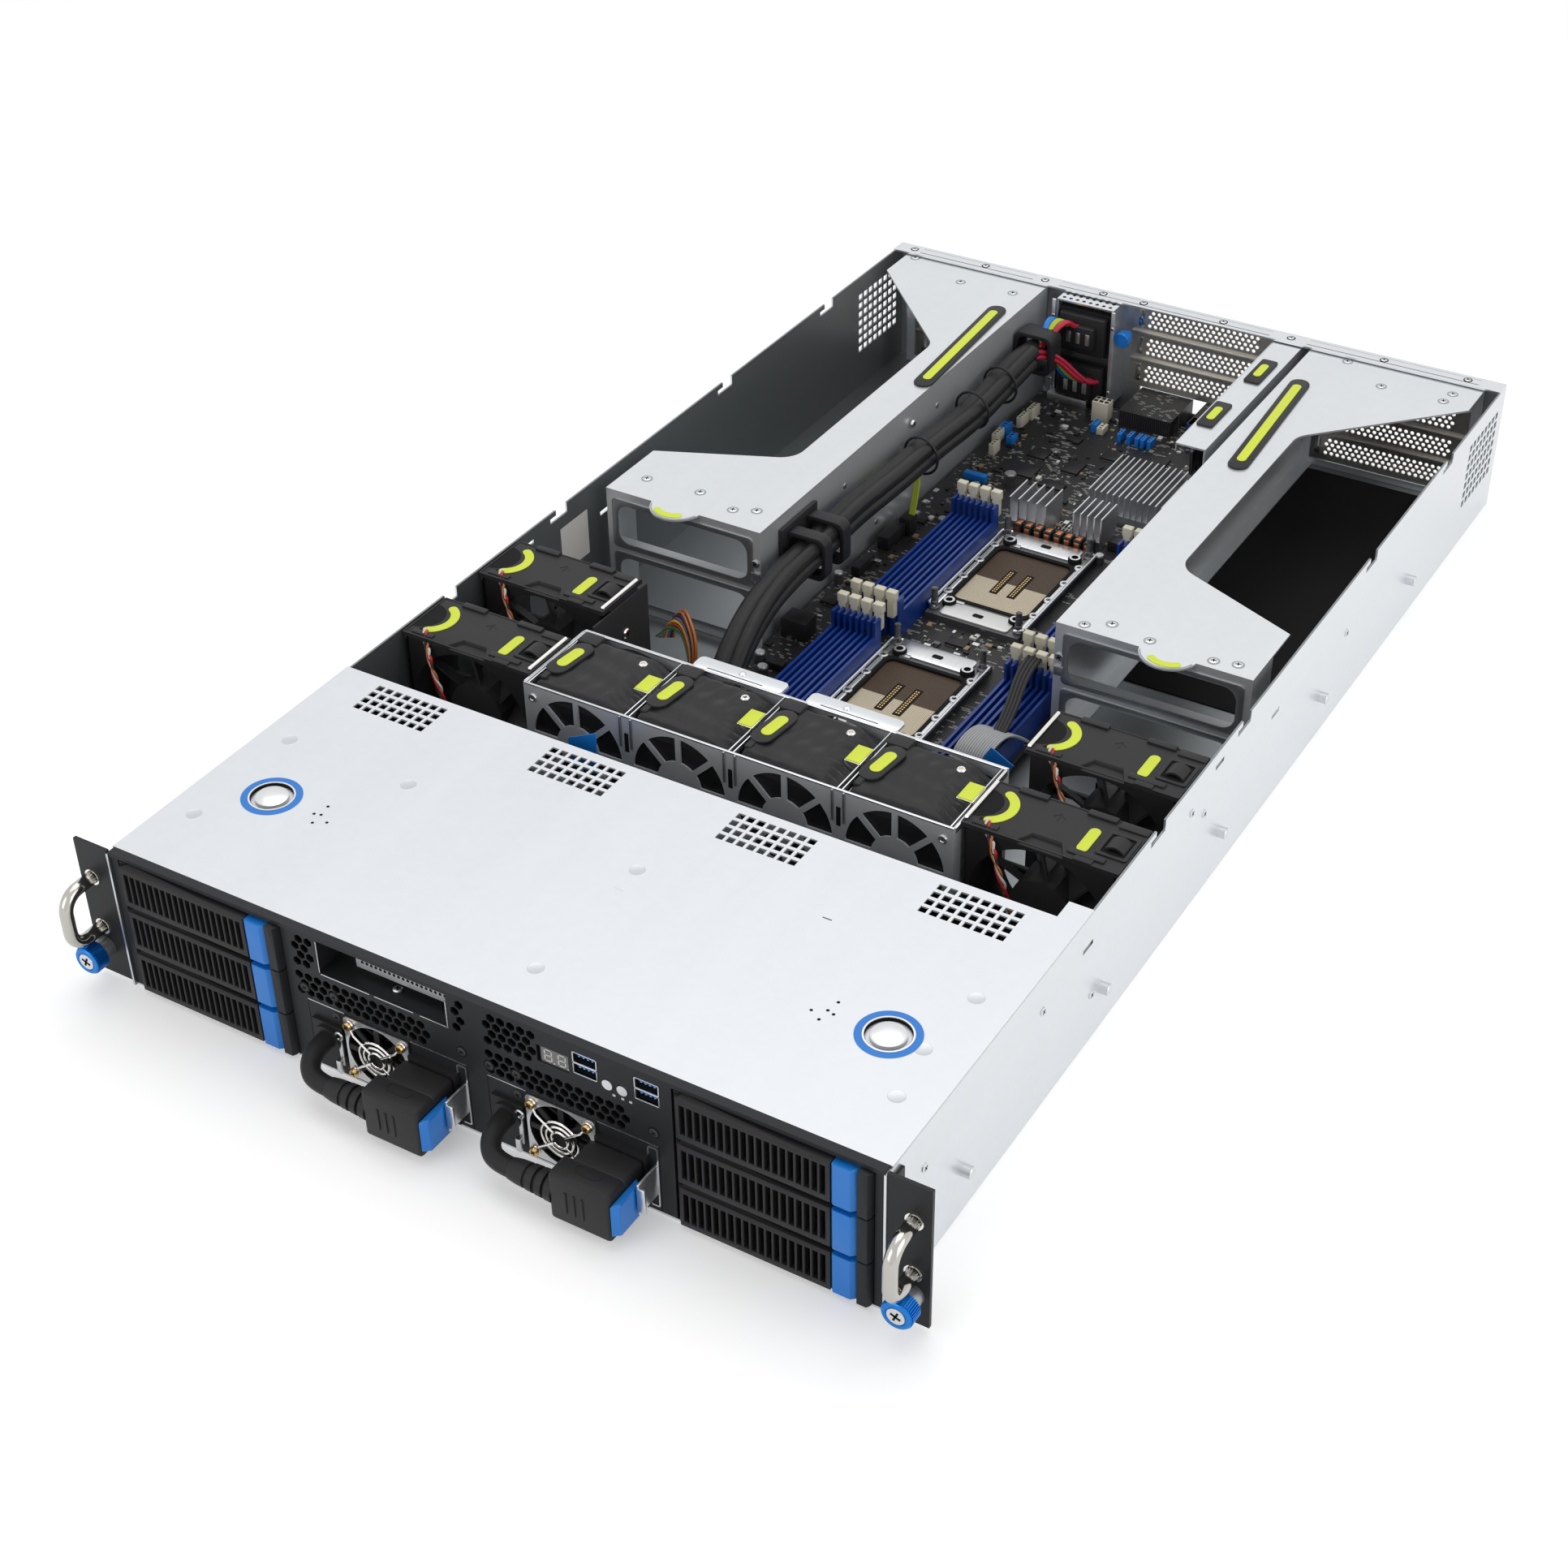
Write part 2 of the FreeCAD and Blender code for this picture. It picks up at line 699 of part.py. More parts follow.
def front_frame():
    """Make the black front frame: bezel bar, drive bays, panels, USB shells and rack ears."""
    wide = (LEFT + " + sheet_wall", RIGHT + " - sheet_wall")
    bezel = block("bezel_bar", wide, (back("-1"), back("cover_front")), (BAY_TOP, TOP))
    sill = block("bezel_sill", wide, (back("cover_front"), back("cover_front + 6")),
                 (BAY_TOP, f"{TOP} - cover_sheet"))
    solids = [fuse("bezel", [bezel, sill])]
    for side in (-1, 1):
        solids += drive_bay(side)
        left, right = module_edges(side)
        if side < 0:
            filler_edge = ("-bay_inner + bay_gap + bay_wall", left)
        else:
            filler_edge = (right, "bay_inner - bay_gap - bay_wall")
        solids.append(block("module_edge", filler_edge, (back("0"), back("3")), (BAY_LOW, BAY_TOP)))
        solids.append(block("module_shelf", (left, right), (back("0"), back("110")),
                            ("shelf_height", "shelf_height + 1.4")))
        solids.append(supply_surround(side))
    solids.append(block("divider", ("divider_place - divider_thick / 2", "divider_place + divider_thick / 2"),
                        (back("0"), back("supply_depth")), (BAY_LOW, BAY_TOP)))
    solids += upper_panels()
    solids += [usb_stack("usb_first"), usb_stack("usb_second"), rack_ear(-1), rack_ear(1)]
    node("front_frame", compound("front_frame", solids))


def rack_ear(side):
    """Make a rack ear with its side flange and screw ferrule."""
    y = (back("-ear_sheet / 2"), back("ear_sheet / 2"))
    z = ("ear_foot", TOP)
    plate = block("ear_plate", mirrored(side, RIGHT, "ear_span / 2"), y, z)
    flange = block("ear_flange", mirrored(side, RIGHT, f"{RIGHT} + 1.5"),
                   (back("ear_sheet / 2"), back("12")), ("ear_foot + 4", f"{TOP} - 6"))
    x = "ear_middle" if side > 0 else "-ear_middle"
    ferrule = rod("ear_ferrule", "y", "screw_ferrule", "screw_ferrule_length", x,
                  back("-ear_sheet / 2 - screw_ferrule_length"), "screw_height")
    ear = fuse("ear", [plate, flange, ferrule])
    hole = rod("ear_hole", "y", "screw_shank + seat_gap", "screw_ferrule_length + 4", x,
               back("-ear_sheet / 2 - screw_ferrule_length - 1"), "screw_height")
    return cut("rack_ear", ear, [hole])


def ear_handles():
    """Make the two bent-rod handles, one on each ear."""
    rods = []
    face = value(FRONT) - value("ear_sheet") / 2
    reach = face - value("handle_reach")
    low = value("handle_low")
    high = low + value("handle_pitch")
    for side in (-1, 1):
        x = side * value("ear_middle")
        points = [(x, face, low), (x, reach, low), (x, reach, high), (x, face, high)]
        rods.append(tube("handle", points, value("handle_rod"), value("handle_bend"), 14))
    node("ear_handles", compound("ear_handles", rods))


def rack_screws():
    """Make the captive thumbscrew of each ear."""
    for name, side in (("rack_screw_left", -1), ("rack_screw_right", 1)):
        x = "ear_middle" if side > 0 else "-ear_middle"
        face = back("-ear_sheet / 2 - screw_ferrule_length - seat_gap")
        head = rod("screw_head", "y", "screw_head", "screw_head_length", x,
                   f"{face} - screw_head_length", "screw_height")
        neck_length = "(seat_gap + screw_ferrule_length + ear_sheet)"
        neck = rod("screw_neck", "y", "screw_shank - 0.5", neck_length, x, face, "screw_height")
        shank = rod("screw_shank", "y", "screw_shank", "screw_shank_length", x, f"{face} + {neck_length}",
                    "screw_height")
        tip = cone("screw_tip", "y", "screw_shank", "screw_shank / 2", "1.5", x,
                   f"{face} + {neck_length} + screw_shank_length", "screw_height")
        body = fuse("screw_body", [head, neck, shank, tip])
        recess = [block("screw_cross", (f"{x} - 3.2", f"{x} + 3.2"),
                        (f"{face} - screw_head_length - 1", f"{face} - screw_head_length + 2"),
                        ("screw_height - 0.6", "screw_height + 0.6")),
                  block("screw_cross", (f"{x} - 0.6", f"{x} + 0.6"),
                        (f"{face} - screw_head_length - 1", f"{face} - screw_head_length + 2"),
                        ("screw_height - 3.2", "screw_height + 3.2"))]
        node(name, cut(name, body, recess))


# ---------------------------------------------------------------- drive trays


def drive_tray(name, side, level):
    """Make a tray: floor, side rails, cross plate, end cap and the lever's hinge pin."""
    left = tray_left(side)
    low = tray_bottom(level)
    high = f"{low} + tray_height"
    front = back("-tray_nose")
    plate_y = back("lever_thick - tray_nose + 3")
    rear = back("tray_depth")
    right = f"{left} + tray_width"
    floor = block("tray_floor", (left, right), (plate_y, rear), (low, f"{low} + tray_sheet"))
    rails = [block("tray_rail", (left, f"{left} + tray_sheet"), (plate_y, rear), (low, high)),
             block("tray_rail", (f"{right} - tray_sheet", right), (plate_y, rear), (low, high))]
    cross = block("tray_cross", (left, right), (plate_y, f"{plate_y} + tray_sheet"), (low, high))
    heel = block("tray_heel", (left, right), (f"{rear} - tray_sheet", rear), (low, f"{low} + tray_height / 3"))
    cap_left = f"{left} + lever_length + 2 * key_gap + key_width"
    cap = new_body("cap_body")
    outline = [(cap_left, front), (f"{right} - 1.2", front), (right, f"{front} + 2"),
               (right, f"{plate_y} + 0.5"), (cap_left, f"{plate_y} + 0.5")]
    pad(cap, "cap_pad", "z", low, high, [outline])
    hinge_x = f"{left} + hinge_inset"
    hinge_y = back("lever_thick - tray_nose - hinge_inset")
    pin = rod("tray_pin", "z", "hinge_pin", "tray_height", hinge_x, hinge_y, low)
    lugs = []
    for lug_low in (low, f"{high} - 1"):
        lugs.append(block("tray_lug", (f"{hinge_x} - 2", f"{hinge_x} + 2"),
                          (f"{hinge_y} - 1.8", plate_y), (lug_low, f"{lug_low} + 1")))
    node(name, fuse(name, [floor] + rails + [cross, heel, cap, pin] + lugs))


def tray_lever(name, side, level):
    """Make the louvred lever that covers a tray's front and swings about its left end."""
    left = f"{tray_left(side)} + key_gap"
    right = f"{tray_left(side)} + lever_length"
    low = f"{tray_bottom(level)} + 1.3"
    high = f"{tray_bottom(level)} + tray_height - 1.3"
    front = back("-tray_nose")
    rear = back("lever_thick - tray_nose")
    body = new_body("lever_body")
    outline = [(f"{left} + 3.4", front), (right, front), (right, rear), (left, rear), (left, f"{front} + 4.6")]
    pad(body, "lever_pad", "z", low, high, [outline])
    first = f"{left} + 3.4 + lever_rim * 0.6"
    span = f"({right} - 1.2 - ({first}))"
    step = f"({span} / louvre_count)"
    slot = rectangle((first, f"{first} + {step} - louvre_bar"),
                     (f"{low} + lever_rim", f"{high} - lever_rim"))
    cutting = pocket(body, "louvre", "y", [slot])
    repeat_along(body, "louvres", cutting, "louvre_count", f"{step} * (louvre_count - 1)")
    hinge_x = f"{tray_left(side)} + hinge_inset"
    hinge_y = back("lever_thick - tray_nose - hinge_inset")
    bore = rod("lever_bore", "z", "hinge_pin + 0.08", "tray_height", hinge_x, hinge_y, tray_bottom(level))
    node(name, cut(name, body, [bore]))


def tray_key(name, side, level):
    """Make the bright release key at a tray's right end."""
    left = f"{tray_left(side)} + lever_length + key_gap"
    right = f"{left} + key_width"
    low = f"{tray_bottom(level)} + 1.3"
    high = f"{tray_bottom(level)} + tray_height - 1.3"
    front = back("-tray_nose - 0.6")
    rear = back("lever_thick - tray_nose - 0.2")
    body = new_body("key_body")
    outline = [(left, f"{front} + 1.2"), (f"{left} + 1.2", front), (f"{right} - 2.6", front),
               (right, f"{front} + 2.2"), (right, rear), (left, rear)]
    pad(body, "key_pad", "z", low, high, [outline])
    node(name, body)


def drive_trays():
    """Make the six trays, each with its lever and its key."""
    number = 0
    for side in (-1, 1):
        for level in (2, 1, 0):
            number += 1
            drive_tray(f"drive_tray_{number}", side, level)
            tray_lever(f"tray_lever_{number}", side, level)
            tray_key(f"tray_key_{number}", side, level)


def panel_keys():
    """Make the two small round buttons of the control panel."""
    for name, x in zip(("power_button", "identify_button"), panel_key_places()):
        cap = rod("panel_key_cap", "y", "panel_key_radius", "6", x, back("-0.8"), "panel_key_height")
        flange = rod("panel_key_flange", "y", "panel_key_radius + 0.7", "1.2", x, back("panel_sheet + 0.3"),
                     "panel_key_height")
        node(name, fuse(name, [cap, flange]))


# ---------------------------------------------------------------- fans


def bay_centre(number):
    """Return the X formula of a middle fan's centre, numbered from the left."""
    return f"({number - 1.5} * fan_pitch)"


def side_centre(side):
    """Return the X formula of the side fans' centre."""
    return f"({RIGHT} - side_fan_inset)" if side > 0 else f"({LEFT} + side_fan_inset)"


def spider(name, x, y, z, reach, hub, thick):
    """Make a hub disc with round-the-hub spokes, for a guard or a motor mount."""
    body = new_body(name)
    pad(body, name + "_disc", "y", "0", thick, circles=[(hub,)])
    spoke = pad(body, name + "_spoke", "y", "0", thick,
                [rectangle(("0", f"{reach} + 0.6"), ("-spoke_width / 2", "spoke_width / 2"))])
    repeat_round(body, name + "_spokes", spoke, "spoke_count")
    return place(body, x, y, z)


def ring_polygon(count, radius):
    """Return a regular polygon's corners, with a flat facing the first axis."""
    corners = []
    for number in range(count):
        angle = math.tau * (number + 0.5) / count
        corners.append((f"{radius} * {math.cos(angle):.6f}", f"{radius} * {math.sin(angle):.6f}"))
    return corners


def rotor(name, x, y, z, hub, tip, depth):
    """Make a fan rotor: a cup-shaped hub with cambered, slanted blades."""
    body = new_body(name + "_body")
    pad(body, "hub_pad", "y", "0", depth, [ring_polygon(2 * SIZES["blade_count"], hub)])
    start = f"{depth} * 0.12"
    end = f"{depth} * 0.9"
    middle = f"{depth} * 0.5"
    lean = f"{depth} * 0.3"
    outline = [(start, f"-({lean})"), (middle, f"-blade_thick * 1.4"), (end, lean),
               (end, f"{lean} + blade_thick"), (middle, "blade_thick * 0.2"),
               (start, f"-({lean}) + blade_thick")]
    blade = pad(body, "blade_pad", "x", f"{hub} - 1.5", tip, [outline])
    blades = repeat_round(body, "blades", blade, "blade_count")
    blades.Axis = (origin_plane(body, "Y_Axis"), [""])
    node(name, place(body, x, y, z))


def fan_case(name, x, y, z, side, depth, bore, hub, motor_place):
    """Make a fan's square case with its round duct, motor block and mounting arms."""
    half = f"{side} / 2"
    outer = block("case_block", (f"{x} - {half}", f"{x} + {half}"), (y, f"{y} + {depth}"),
                  (f"{z} - {half}", f"{z} + {half}"))
    duct = rod("case_duct", "y", bore, f"{depth} + 2", x, f"{y} - 1", z)
    motor_y = f"{y} + {motor_place}"
    arm = "spoke_width / 2"
    arms = [block("motor_block", (f"{x} - {hub} * 0.8", f"{x} + {hub} * 0.8"), (motor_y, f"{motor_y} + 5"),
                  (f"{z} - {hub} * 0.8", f"{z} + {hub} * 0.8")),
            block("motor_arm", (f"{x} - {bore} - 1", f"{x} + {bore} + 1"), (motor_y, f"{motor_y} + 4"),
                  (f"{z} - {arm}", f"{z} + {arm}")),
            block("motor_arm", (f"{x} - {arm}", f"{x} + {arm}"), (motor_y, f"{motor_y} + 4"),
                  (f"{z} - {bore} - 1", f"{z} + {bore} + 1"))]
    return fuse(name, [cut("case_shell", outer, [duct])] + arms)


FAN_FRONT = back("fan_wall_front")
SHELF_TOP = "(fan_centre_height - fan_side / 2 - seat_gap)"
ROTOR_PLACE = "4"


def fan_wall():
    """Make the middle fans' sheet-metal wall: two pierced plates, dividers and a shelf."""
    left = "(-2 * fan_pitch - fan_wall_sheet)"
    right = "(2 * fan_pitch + fan_wall_sheet)"
    gap = "fan_depth + 2 * fan_wall_sheet + 2 * seat_gap"
    pieces = []
    for name, y in (("front", FAN_FRONT), ("rear", f"{FAN_FRONT} + {gap}")):
        body = new_body(f"fan_plate_{name}")
        pad(body, f"fan_plate_{name}_pad", "y", y, f"{y} + fan_wall_sheet",
            [rectangle((left, right), ("sheet_wall + seat_gap", "fan_wall_top"))])
        holes = [("fan_bore", bay_centre(number), "fan_centre_height") for number in range(4)]
        pocket(body, f"fan_plate_{name}_holes", "y", circles=holes)
        passes = []
        for sign in ("-", ""):
            middle = f"{sign}wall_pass_place"
            passes.append(rectangle((f"{middle} - wall_pass_width / 2", f"{middle} + wall_pass_width / 2"),
                                    ("sheet_wall - 1", f"{SHELF_TOP} - fan_wall_sheet - 1")))
        pocket(body, f"fan_plate_{name}_passes", "y", passes)
        pieces.append(body)
    between = (f"{FAN_FRONT} + fan_wall_sheet / 2", f"{FAN_FRONT} + {gap} + fan_wall_sheet / 2")
    for edge in (left, right + " - fan_wall_sheet"):
        pieces.append(block("fan_wall_end", (edge, f"{edge} + fan_wall_sheet"), between,
                            ("sheet_wall + seat_gap", "fan_wall_top")))
    for number in (-1, 0, 1):
        x = f"{number} * fan_pitch"
        pieces.append(block("fan_divider", (f"{x} - fan_wall_sheet / 2", f"{x} + fan_wall_sheet / 2"), between,
                            (f"{SHELF_TOP} - fan_wall_sheet / 2", "fan_wall_top - 8")))
    pieces.append(block("fan_shelf", (left, right), between, (f"{SHELF_TOP} - fan_wall_sheet", SHELF_TOP)))
    rear = f"{FAN_FRONT} + {gap}"
    for middle in ("wall_lip_first", "wall_lip_second"):
        x = (f"{middle} - wall_lip_width / 2", f"{middle} + wall_lip_width / 2")
        pieces.append(block("fan_wall_lip", x, (rear, f"{rear} + fan_wall_tab"),
                            ("fan_wall_top - fan_wall_sheet", "fan_wall_top")))
    for number in range(4):
        pieces.append(spider(f"fan_guard_{number + 1}", bay_centre(number), FAN_FRONT, "fan_centre_height",
                             "fan_bore", "rotor_hub", "fan_wall_sheet"))
    node("fan_wall", fuse("fan_wall", pieces))


def fan_frames():
    """Make the four middle fan cases and the four side fans in their lidded carriers."""
    solids = []
    for number in range(4):
        solids.append(fan_case("fan_case", bay_centre(number),
                               f"{FAN_FRONT} + fan_wall_sheet + seat_gap", "fan_centre_height",
                               "fan_side", "fan_depth", "fan_bore", "rotor_hub",
                               f"{ROTOR_PLACE} + rotor_depth + seat_gap"))
    for side in (-1, 1):
        x = side_centre(side)
        for row in (0, 1):
            y = back(f"side_fan_first + {row} * side_fan_pitch")
            z = "(sheet_wall + seat_gap + side_fan_side / 2)"
            case = fan_case("side_case", x, y, z, "side_fan_side", "side_fan_depth", "side_fan_bore",
                            "side_rotor_hub", f"{ROTOR_PLACE} + rotor_depth + seat_gap")
            lid_low = f"{z} + side_fan_side / 2"
            lid = new_body("carrier_body")
            half = "carrier_width / 2"
            pad(lid, "carrier_pad", "z", lid_low, f"{lid_low} + carrier_lid",
                [[(f"{x} - {half}", f"{y} - 1"), (f"{x} - 13", f"{y} - 1"), (f"{x} - 8", f"{y} + 9"),
                  (f"{x} + 8", f"{y} + 9"), (f"{x} + 13", f"{y} - 1"), (f"{x} + {half}", f"{y} - 1"),
                  (f"{x} + {half}", f"{y} + side_fan_depth + 1"),
                  (f"{x} - {half}", f"{y} + side_fan_depth + 1")]])
            skirts = [block("carrier_skirt", (f"{x} - {half}", f"{x} - side_fan_side / 2"),
                            (f"{y} + 6", f"{y} + side_fan_depth - 6"), (f"{lid_low} - carrier_skirt", lid_low)),
                      block("carrier_skirt", (f"{x} + side_fan_side / 2", f"{x} + {half}"),
                            (f"{y} + 6", f"{y} + side_fan_depth - 6"), (f"{lid_low} - carrier_skirt", lid_low))]
            solids.append(fuse("side_fan", [case, lid] + skirts))
    node("fan_frames", compound("fan_frames", solids))


def fan_rotors():
    """Make the rotors of the four middle, four side and two power supply fans."""
    for number in range(4):
        rotor(f"mid_fan_rotor_{number + 1}", bay_centre(number),
              f"{FAN_FRONT} + fan_wall_sheet + seat_gap + {ROTOR_PLACE}", "fan_centre_height",
              "rotor_hub", "rotor_tip", "rotor_depth")
    number = 0
    for side in (-1, 1):
        for row in (0, 1):
            number += 1
            rotor(f"side_fan_rotor_{number}", side_centre(side),
                  back(f"side_fan_first + {row} * side_fan_pitch + {ROTOR_PLACE}"),
                  "sheet_wall + seat_gap + side_fan_side / 2",
                  "side_rotor_hub", "side_rotor_tip", "rotor_depth")
    for number in (0, 1):
        rotor(f"psu_fan_rotor_{number + 1}", f"{supply_left(number)} + supply_fan_place",
              back("supply_fan_depth - 12 - seat_gap"), "supply_low + supply_height / 2 + 1.3",
              "guard_hub + 1.5", "psu_rotor_tip", "12")


# ---------------------------------------------------------------- card cages and rear


CAGE_TOP = f"({TOP} - cage_drop)"
CAGE_FOOT = "(sheet_wall + seat_gap)"


def cage_inner(side):
    """Return the distance from the middle to a cage's inner wall."""
    return "cage_inner_right" if side > 0 else "cage_inner_left"


def gpu_cage(name, side):
    """Make a card cage: top sheet with its window, inner wall, pierced front and rear frame."""
    inner = cage_inner(side)
    sign = "" if side > 0 else "-"
    front = back("cage_front")
    rear = back("cage_rear")
    roof = new_body(name + "_roof")
    outline = [(inner, front), ("cage_outer", front), ("cage_outer", f"{front} + window_front"),
               ("cage_strip", f"{front} + window_front_inner"), ("cage_strip", f"{front} + window_rear_inner"),
               ("cage_outer", f"{front} + window_rear"), ("cage_outer", rear), (inner, rear)]
    pad(roof, name + "_roof_pad", "z", f"{CAGE_TOP} - cage_sheet", CAGE_TOP,
        [[(f"{sign}({x})", y) for x, y in outline]])
    face = new_body(name + "_face")
    wide = mirrored(side, inner, "cage_outer")
    pad(face, name + "_face_pad", "y", front, f"{front} + cage_sheet",
        [rectangle(wide, (CAGE_FOOT, f"{CAGE_TOP} - cage_sheet / 2"))])
    clear = mirrored(side, f"{inner} + 7", "cage_outer - 6")
    pocket(face, name + "_face_windows", "y",
           [rectangle(clear, ("8", "cage_rib - 3")), rectangle(clear, ("cage_rib + 4", f"{CAGE_TOP} - 6"))])
    back_frame = new_body(name + "_back")
    pad(back_frame, name + "_back_pad", "y", f"{rear} - cage_sheet", rear,
        [rectangle(wide, (CAGE_FOOT, f"{CAGE_TOP} - cage_sheet / 2"))])
    pocket(back_frame, name + "_back_window", "y", [rectangle(clear, ("6", f"{CAGE_TOP} - 6"))])
    tab = rod("cage_tab", "z", "cage_tab_radius", "cage_sheet", f"{sign}cage_tab_place", f"{front} + 3",
              f"{CAGE_TOP} - cage_sheet")
    pieces = [roof, face, back_frame, tab]
    wall = mirrored(side, inner, f"{inner} + cage_sheet")
    pieces.append(block("cage_wall", wall, (front, rear), (CAGE_FOOT, f"{CAGE_TOP} - cage_sheet / 2")))
    foot = mirrored(side, inner, f"{inner} + 10")
    pieces.append(block("cage_foot", foot, (front, rear), (CAGE_FOOT, f"{CAGE_FOOT} + cage_sheet")))
    post = mirrored(side, "cage_outer - cage_sheet", "cage_outer")
    pieces.append(block("cage_post", post, (front, f"{front} + cage_post"),
                        (CAGE_FOOT, f"{CAGE_TOP} - cage_sheet / 2")))
    pieces.append(block("cage_rib", wide, (front, f"{front} + 12"), ("cage_rib", "cage_rib + cage_sheet")))
    node(name, fuse(name, pieces))


REAR_IN = f"({REAR} - rear_sheet)"


def cover_groups():
    """Return each group of slot covers: its X edges, its first level and its count."""
    lap = "window_lap"
    return [(f"-cage_outer + {lap} + 1", f"-cage_inner_left - {lap} - 1", 0, 4),
            (f"cage_inner_right + {lap} + 1", f"cage_outer - {lap} - 1", 0, 4),
            ("-centre_slots_left", "centre_slots_right", 1, 3)]


def rear_panel():
    """Make the rear wall with its windows and lip, the inlet bracket and the riser bridge."""
    body = new_body("rear_wall_body")
    wide = (f"{LEFT} + sheet_wall", f"{RIGHT} - sheet_wall")
    pad(body, "rear_wall_pad", "y", REAR_IN, REAR, [rectangle(wide, ("sheet_wall", WALL_TOP))])
    windows = []
    for left, right, level, count in cover_groups():
        low = f"cover_low + {level} * cover_pitch + window_lap"
        high = f"cover_low + {level + count} * cover_pitch - window_lap - 1"
        windows.append(rectangle((f"{left} + window_lap", f"{right} - window_lap"), (low, high)))
    windows.append(rectangle(("-inlet_left + 3", "-inlet_right - 3"),
                             ("inlet_first - seat_gap", "inlet_first + inlet_pitch + inlet_height + seat_gap")))
    windows.append(rectangle(("-30", "56"), ("board_low + board_sheet + 0.5", "cover_low + cover_pitch - 2")))
    pocket(body, "rear_windows", "y", windows)
    pieces = [body]
    pieces.append(block("rear_lip", (LEFT, RIGHT), (f"{REAR} - rear_lip", REAR), (WALL_TOP, TOP)))
    bracket_y = (f"{REAR} - inlet_depth", f"{REAR_IN} + rear_sheet / 2")
    for x in (("-inlet_left", "-inlet_left + rear_sheet"), ("-inlet_right - rear_sheet", "-inlet_right")):
        pieces.append(block("inlet_cheek", x, bracket_y, ("board_low + board_sheet + 0.5", CAGE_TOP)))
    pieces.append(block("inlet_roof", ("-inlet_left", "-inlet_right"), bracket_y,
                        (f"{CAGE_TOP} - rear_sheet", CAGE_TOP)))
    bridge_y = (back("riser_front"), f"{REAR_IN} + rear_sheet / 2")
    pieces.append(block("riser_bridge", ("riser_left", "riser_right"), bridge_y,
                        (f"{CAGE_TOP} - rear_sheet", CAGE_TOP)))
    pieces.append(block("riser_wall", ("riser_right - rear_sheet", "riser_right"), bridge_y,
                        ("board_low + board_sheet + 0.5", CAGE_TOP)))
    node("rear_panel", fuse("rear_panel", pieces))


def slot_covers():
    """Make the blank covers of the card slots and the front slot's bracket."""
    solids = []
    face = (f"{REAR_IN} - seat_gap - cover_thick", f"{REAR_IN} - seat_gap")
    for left, right, level, count in cover_groups():
        for step in range(count):
            low = f"cover_low + {level + step} * cover_pitch"
            plate = block("cover_plate", (left, right), face, (low, f"{low} + cover_height"))
            solids.append(plate)
    depth = (back("slot_recess_depth + seat_gap"), back("slot_recess_depth + seat_gap + cover_thick"))
    bracket = block("front_bracket", ("-slot_recess_left - 1", "-slot_recess_right + 1"), depth,
                    ("shelf_height + 2.8", f"{BAY_TOP} - 1"))
    solids.append(bracket)
    node("slot_covers", compound("slot_covers", solids))


def rear_inlet(level):
    """Make one rear mains inlet: a housing with its socket recess and three pins."""
    low = f"inlet_first + {level} * inlet_pitch"
    x = ("-inlet_left + rear_sheet + seat_gap", "-inlet_right - rear_sheet - seat_gap")
    middle = "(-(inlet_left + inlet_right) / 2)"
    flange = block("inlet_flange", x, (f"{REAR} - inlet_depth + 2", f"{REAR_IN} - seat_gap"),
                   (low, f"{low} + inlet_height"))
    nose = block("inlet_nose", (f"{middle} - 15.5", f"{middle} + 15.5"), (f"{REAR} - 8", REAR),
                 (f"{low} + 4", f"{low} + inlet_height - 4"))
    centre = f"{low} + inlet_height / 2"
    recess = block("inlet_recess", (f"{middle} - 13", f"{middle} + 13"), (f"{REAR} - 15", f"{REAR} + 1"),
                   (f"{centre} - 8.5", f"{centre} + 8.5"))
    housing = cut("inlet_housing", fuse("inlet_outer", [flange, nose]), [recess])
    pins = []
    for shift, rise in ((-7.0, -2.0), (0.0, 3.0), (7.0, -2.0)):
        pins.append(block("inlet_pin", (f"{middle} + {shift} - 1", f"{middle} + {shift} + 1"),
                          (f"{REAR} - 16", f"{REAR} - 7"), (f"{centre} + {rise} - 3", f"{centre} + {rise} + 3")))
    return fuse("rear_inlet", [housing] + pins)


def supply_inlet(number):
    """Make a supply's front inlet frame and the gland of its cord."""
    shift = f"{number} * psu_pitch"
    right = f"plug_right + {shift} + 1.5"
    frame = block("front_inlet", (f"{right} - plug_width + 0.4", right), (back("-inlet_face"), back("0")),
                  ("plug_low - 0.6", "plug_low + plug_height + 2.4"))
    x = f"gland_place + {shift}"
    plate = block("gland_plate", (f"{x} - gland_plate / 2", f"{x} + gland_plate / 2"),
                  (back("-2"), back("0")), ("gland_height - gland_plate / 2", "gland_height + gland_plate / 2"))
    ring = rod("gland_ring", "y", "gland_ring", "2.5", x, back("-4"), "gland_height")
    return [frame, fuse("gland", [plate, ring])]


def power_inlets():
    """Make the rear mains inlets, the front inlet frames and the cord glands."""
    solids = [rear_inlet(0), rear_inlet(1)]
    for number in (0, 1):
        solids += supply_inlet(number)
    node("power_inlets", compound("power_inlets", solids))


# ---------------------------------------------------------------- board


BOARD_TOP = "(board_low + board_sheet)"


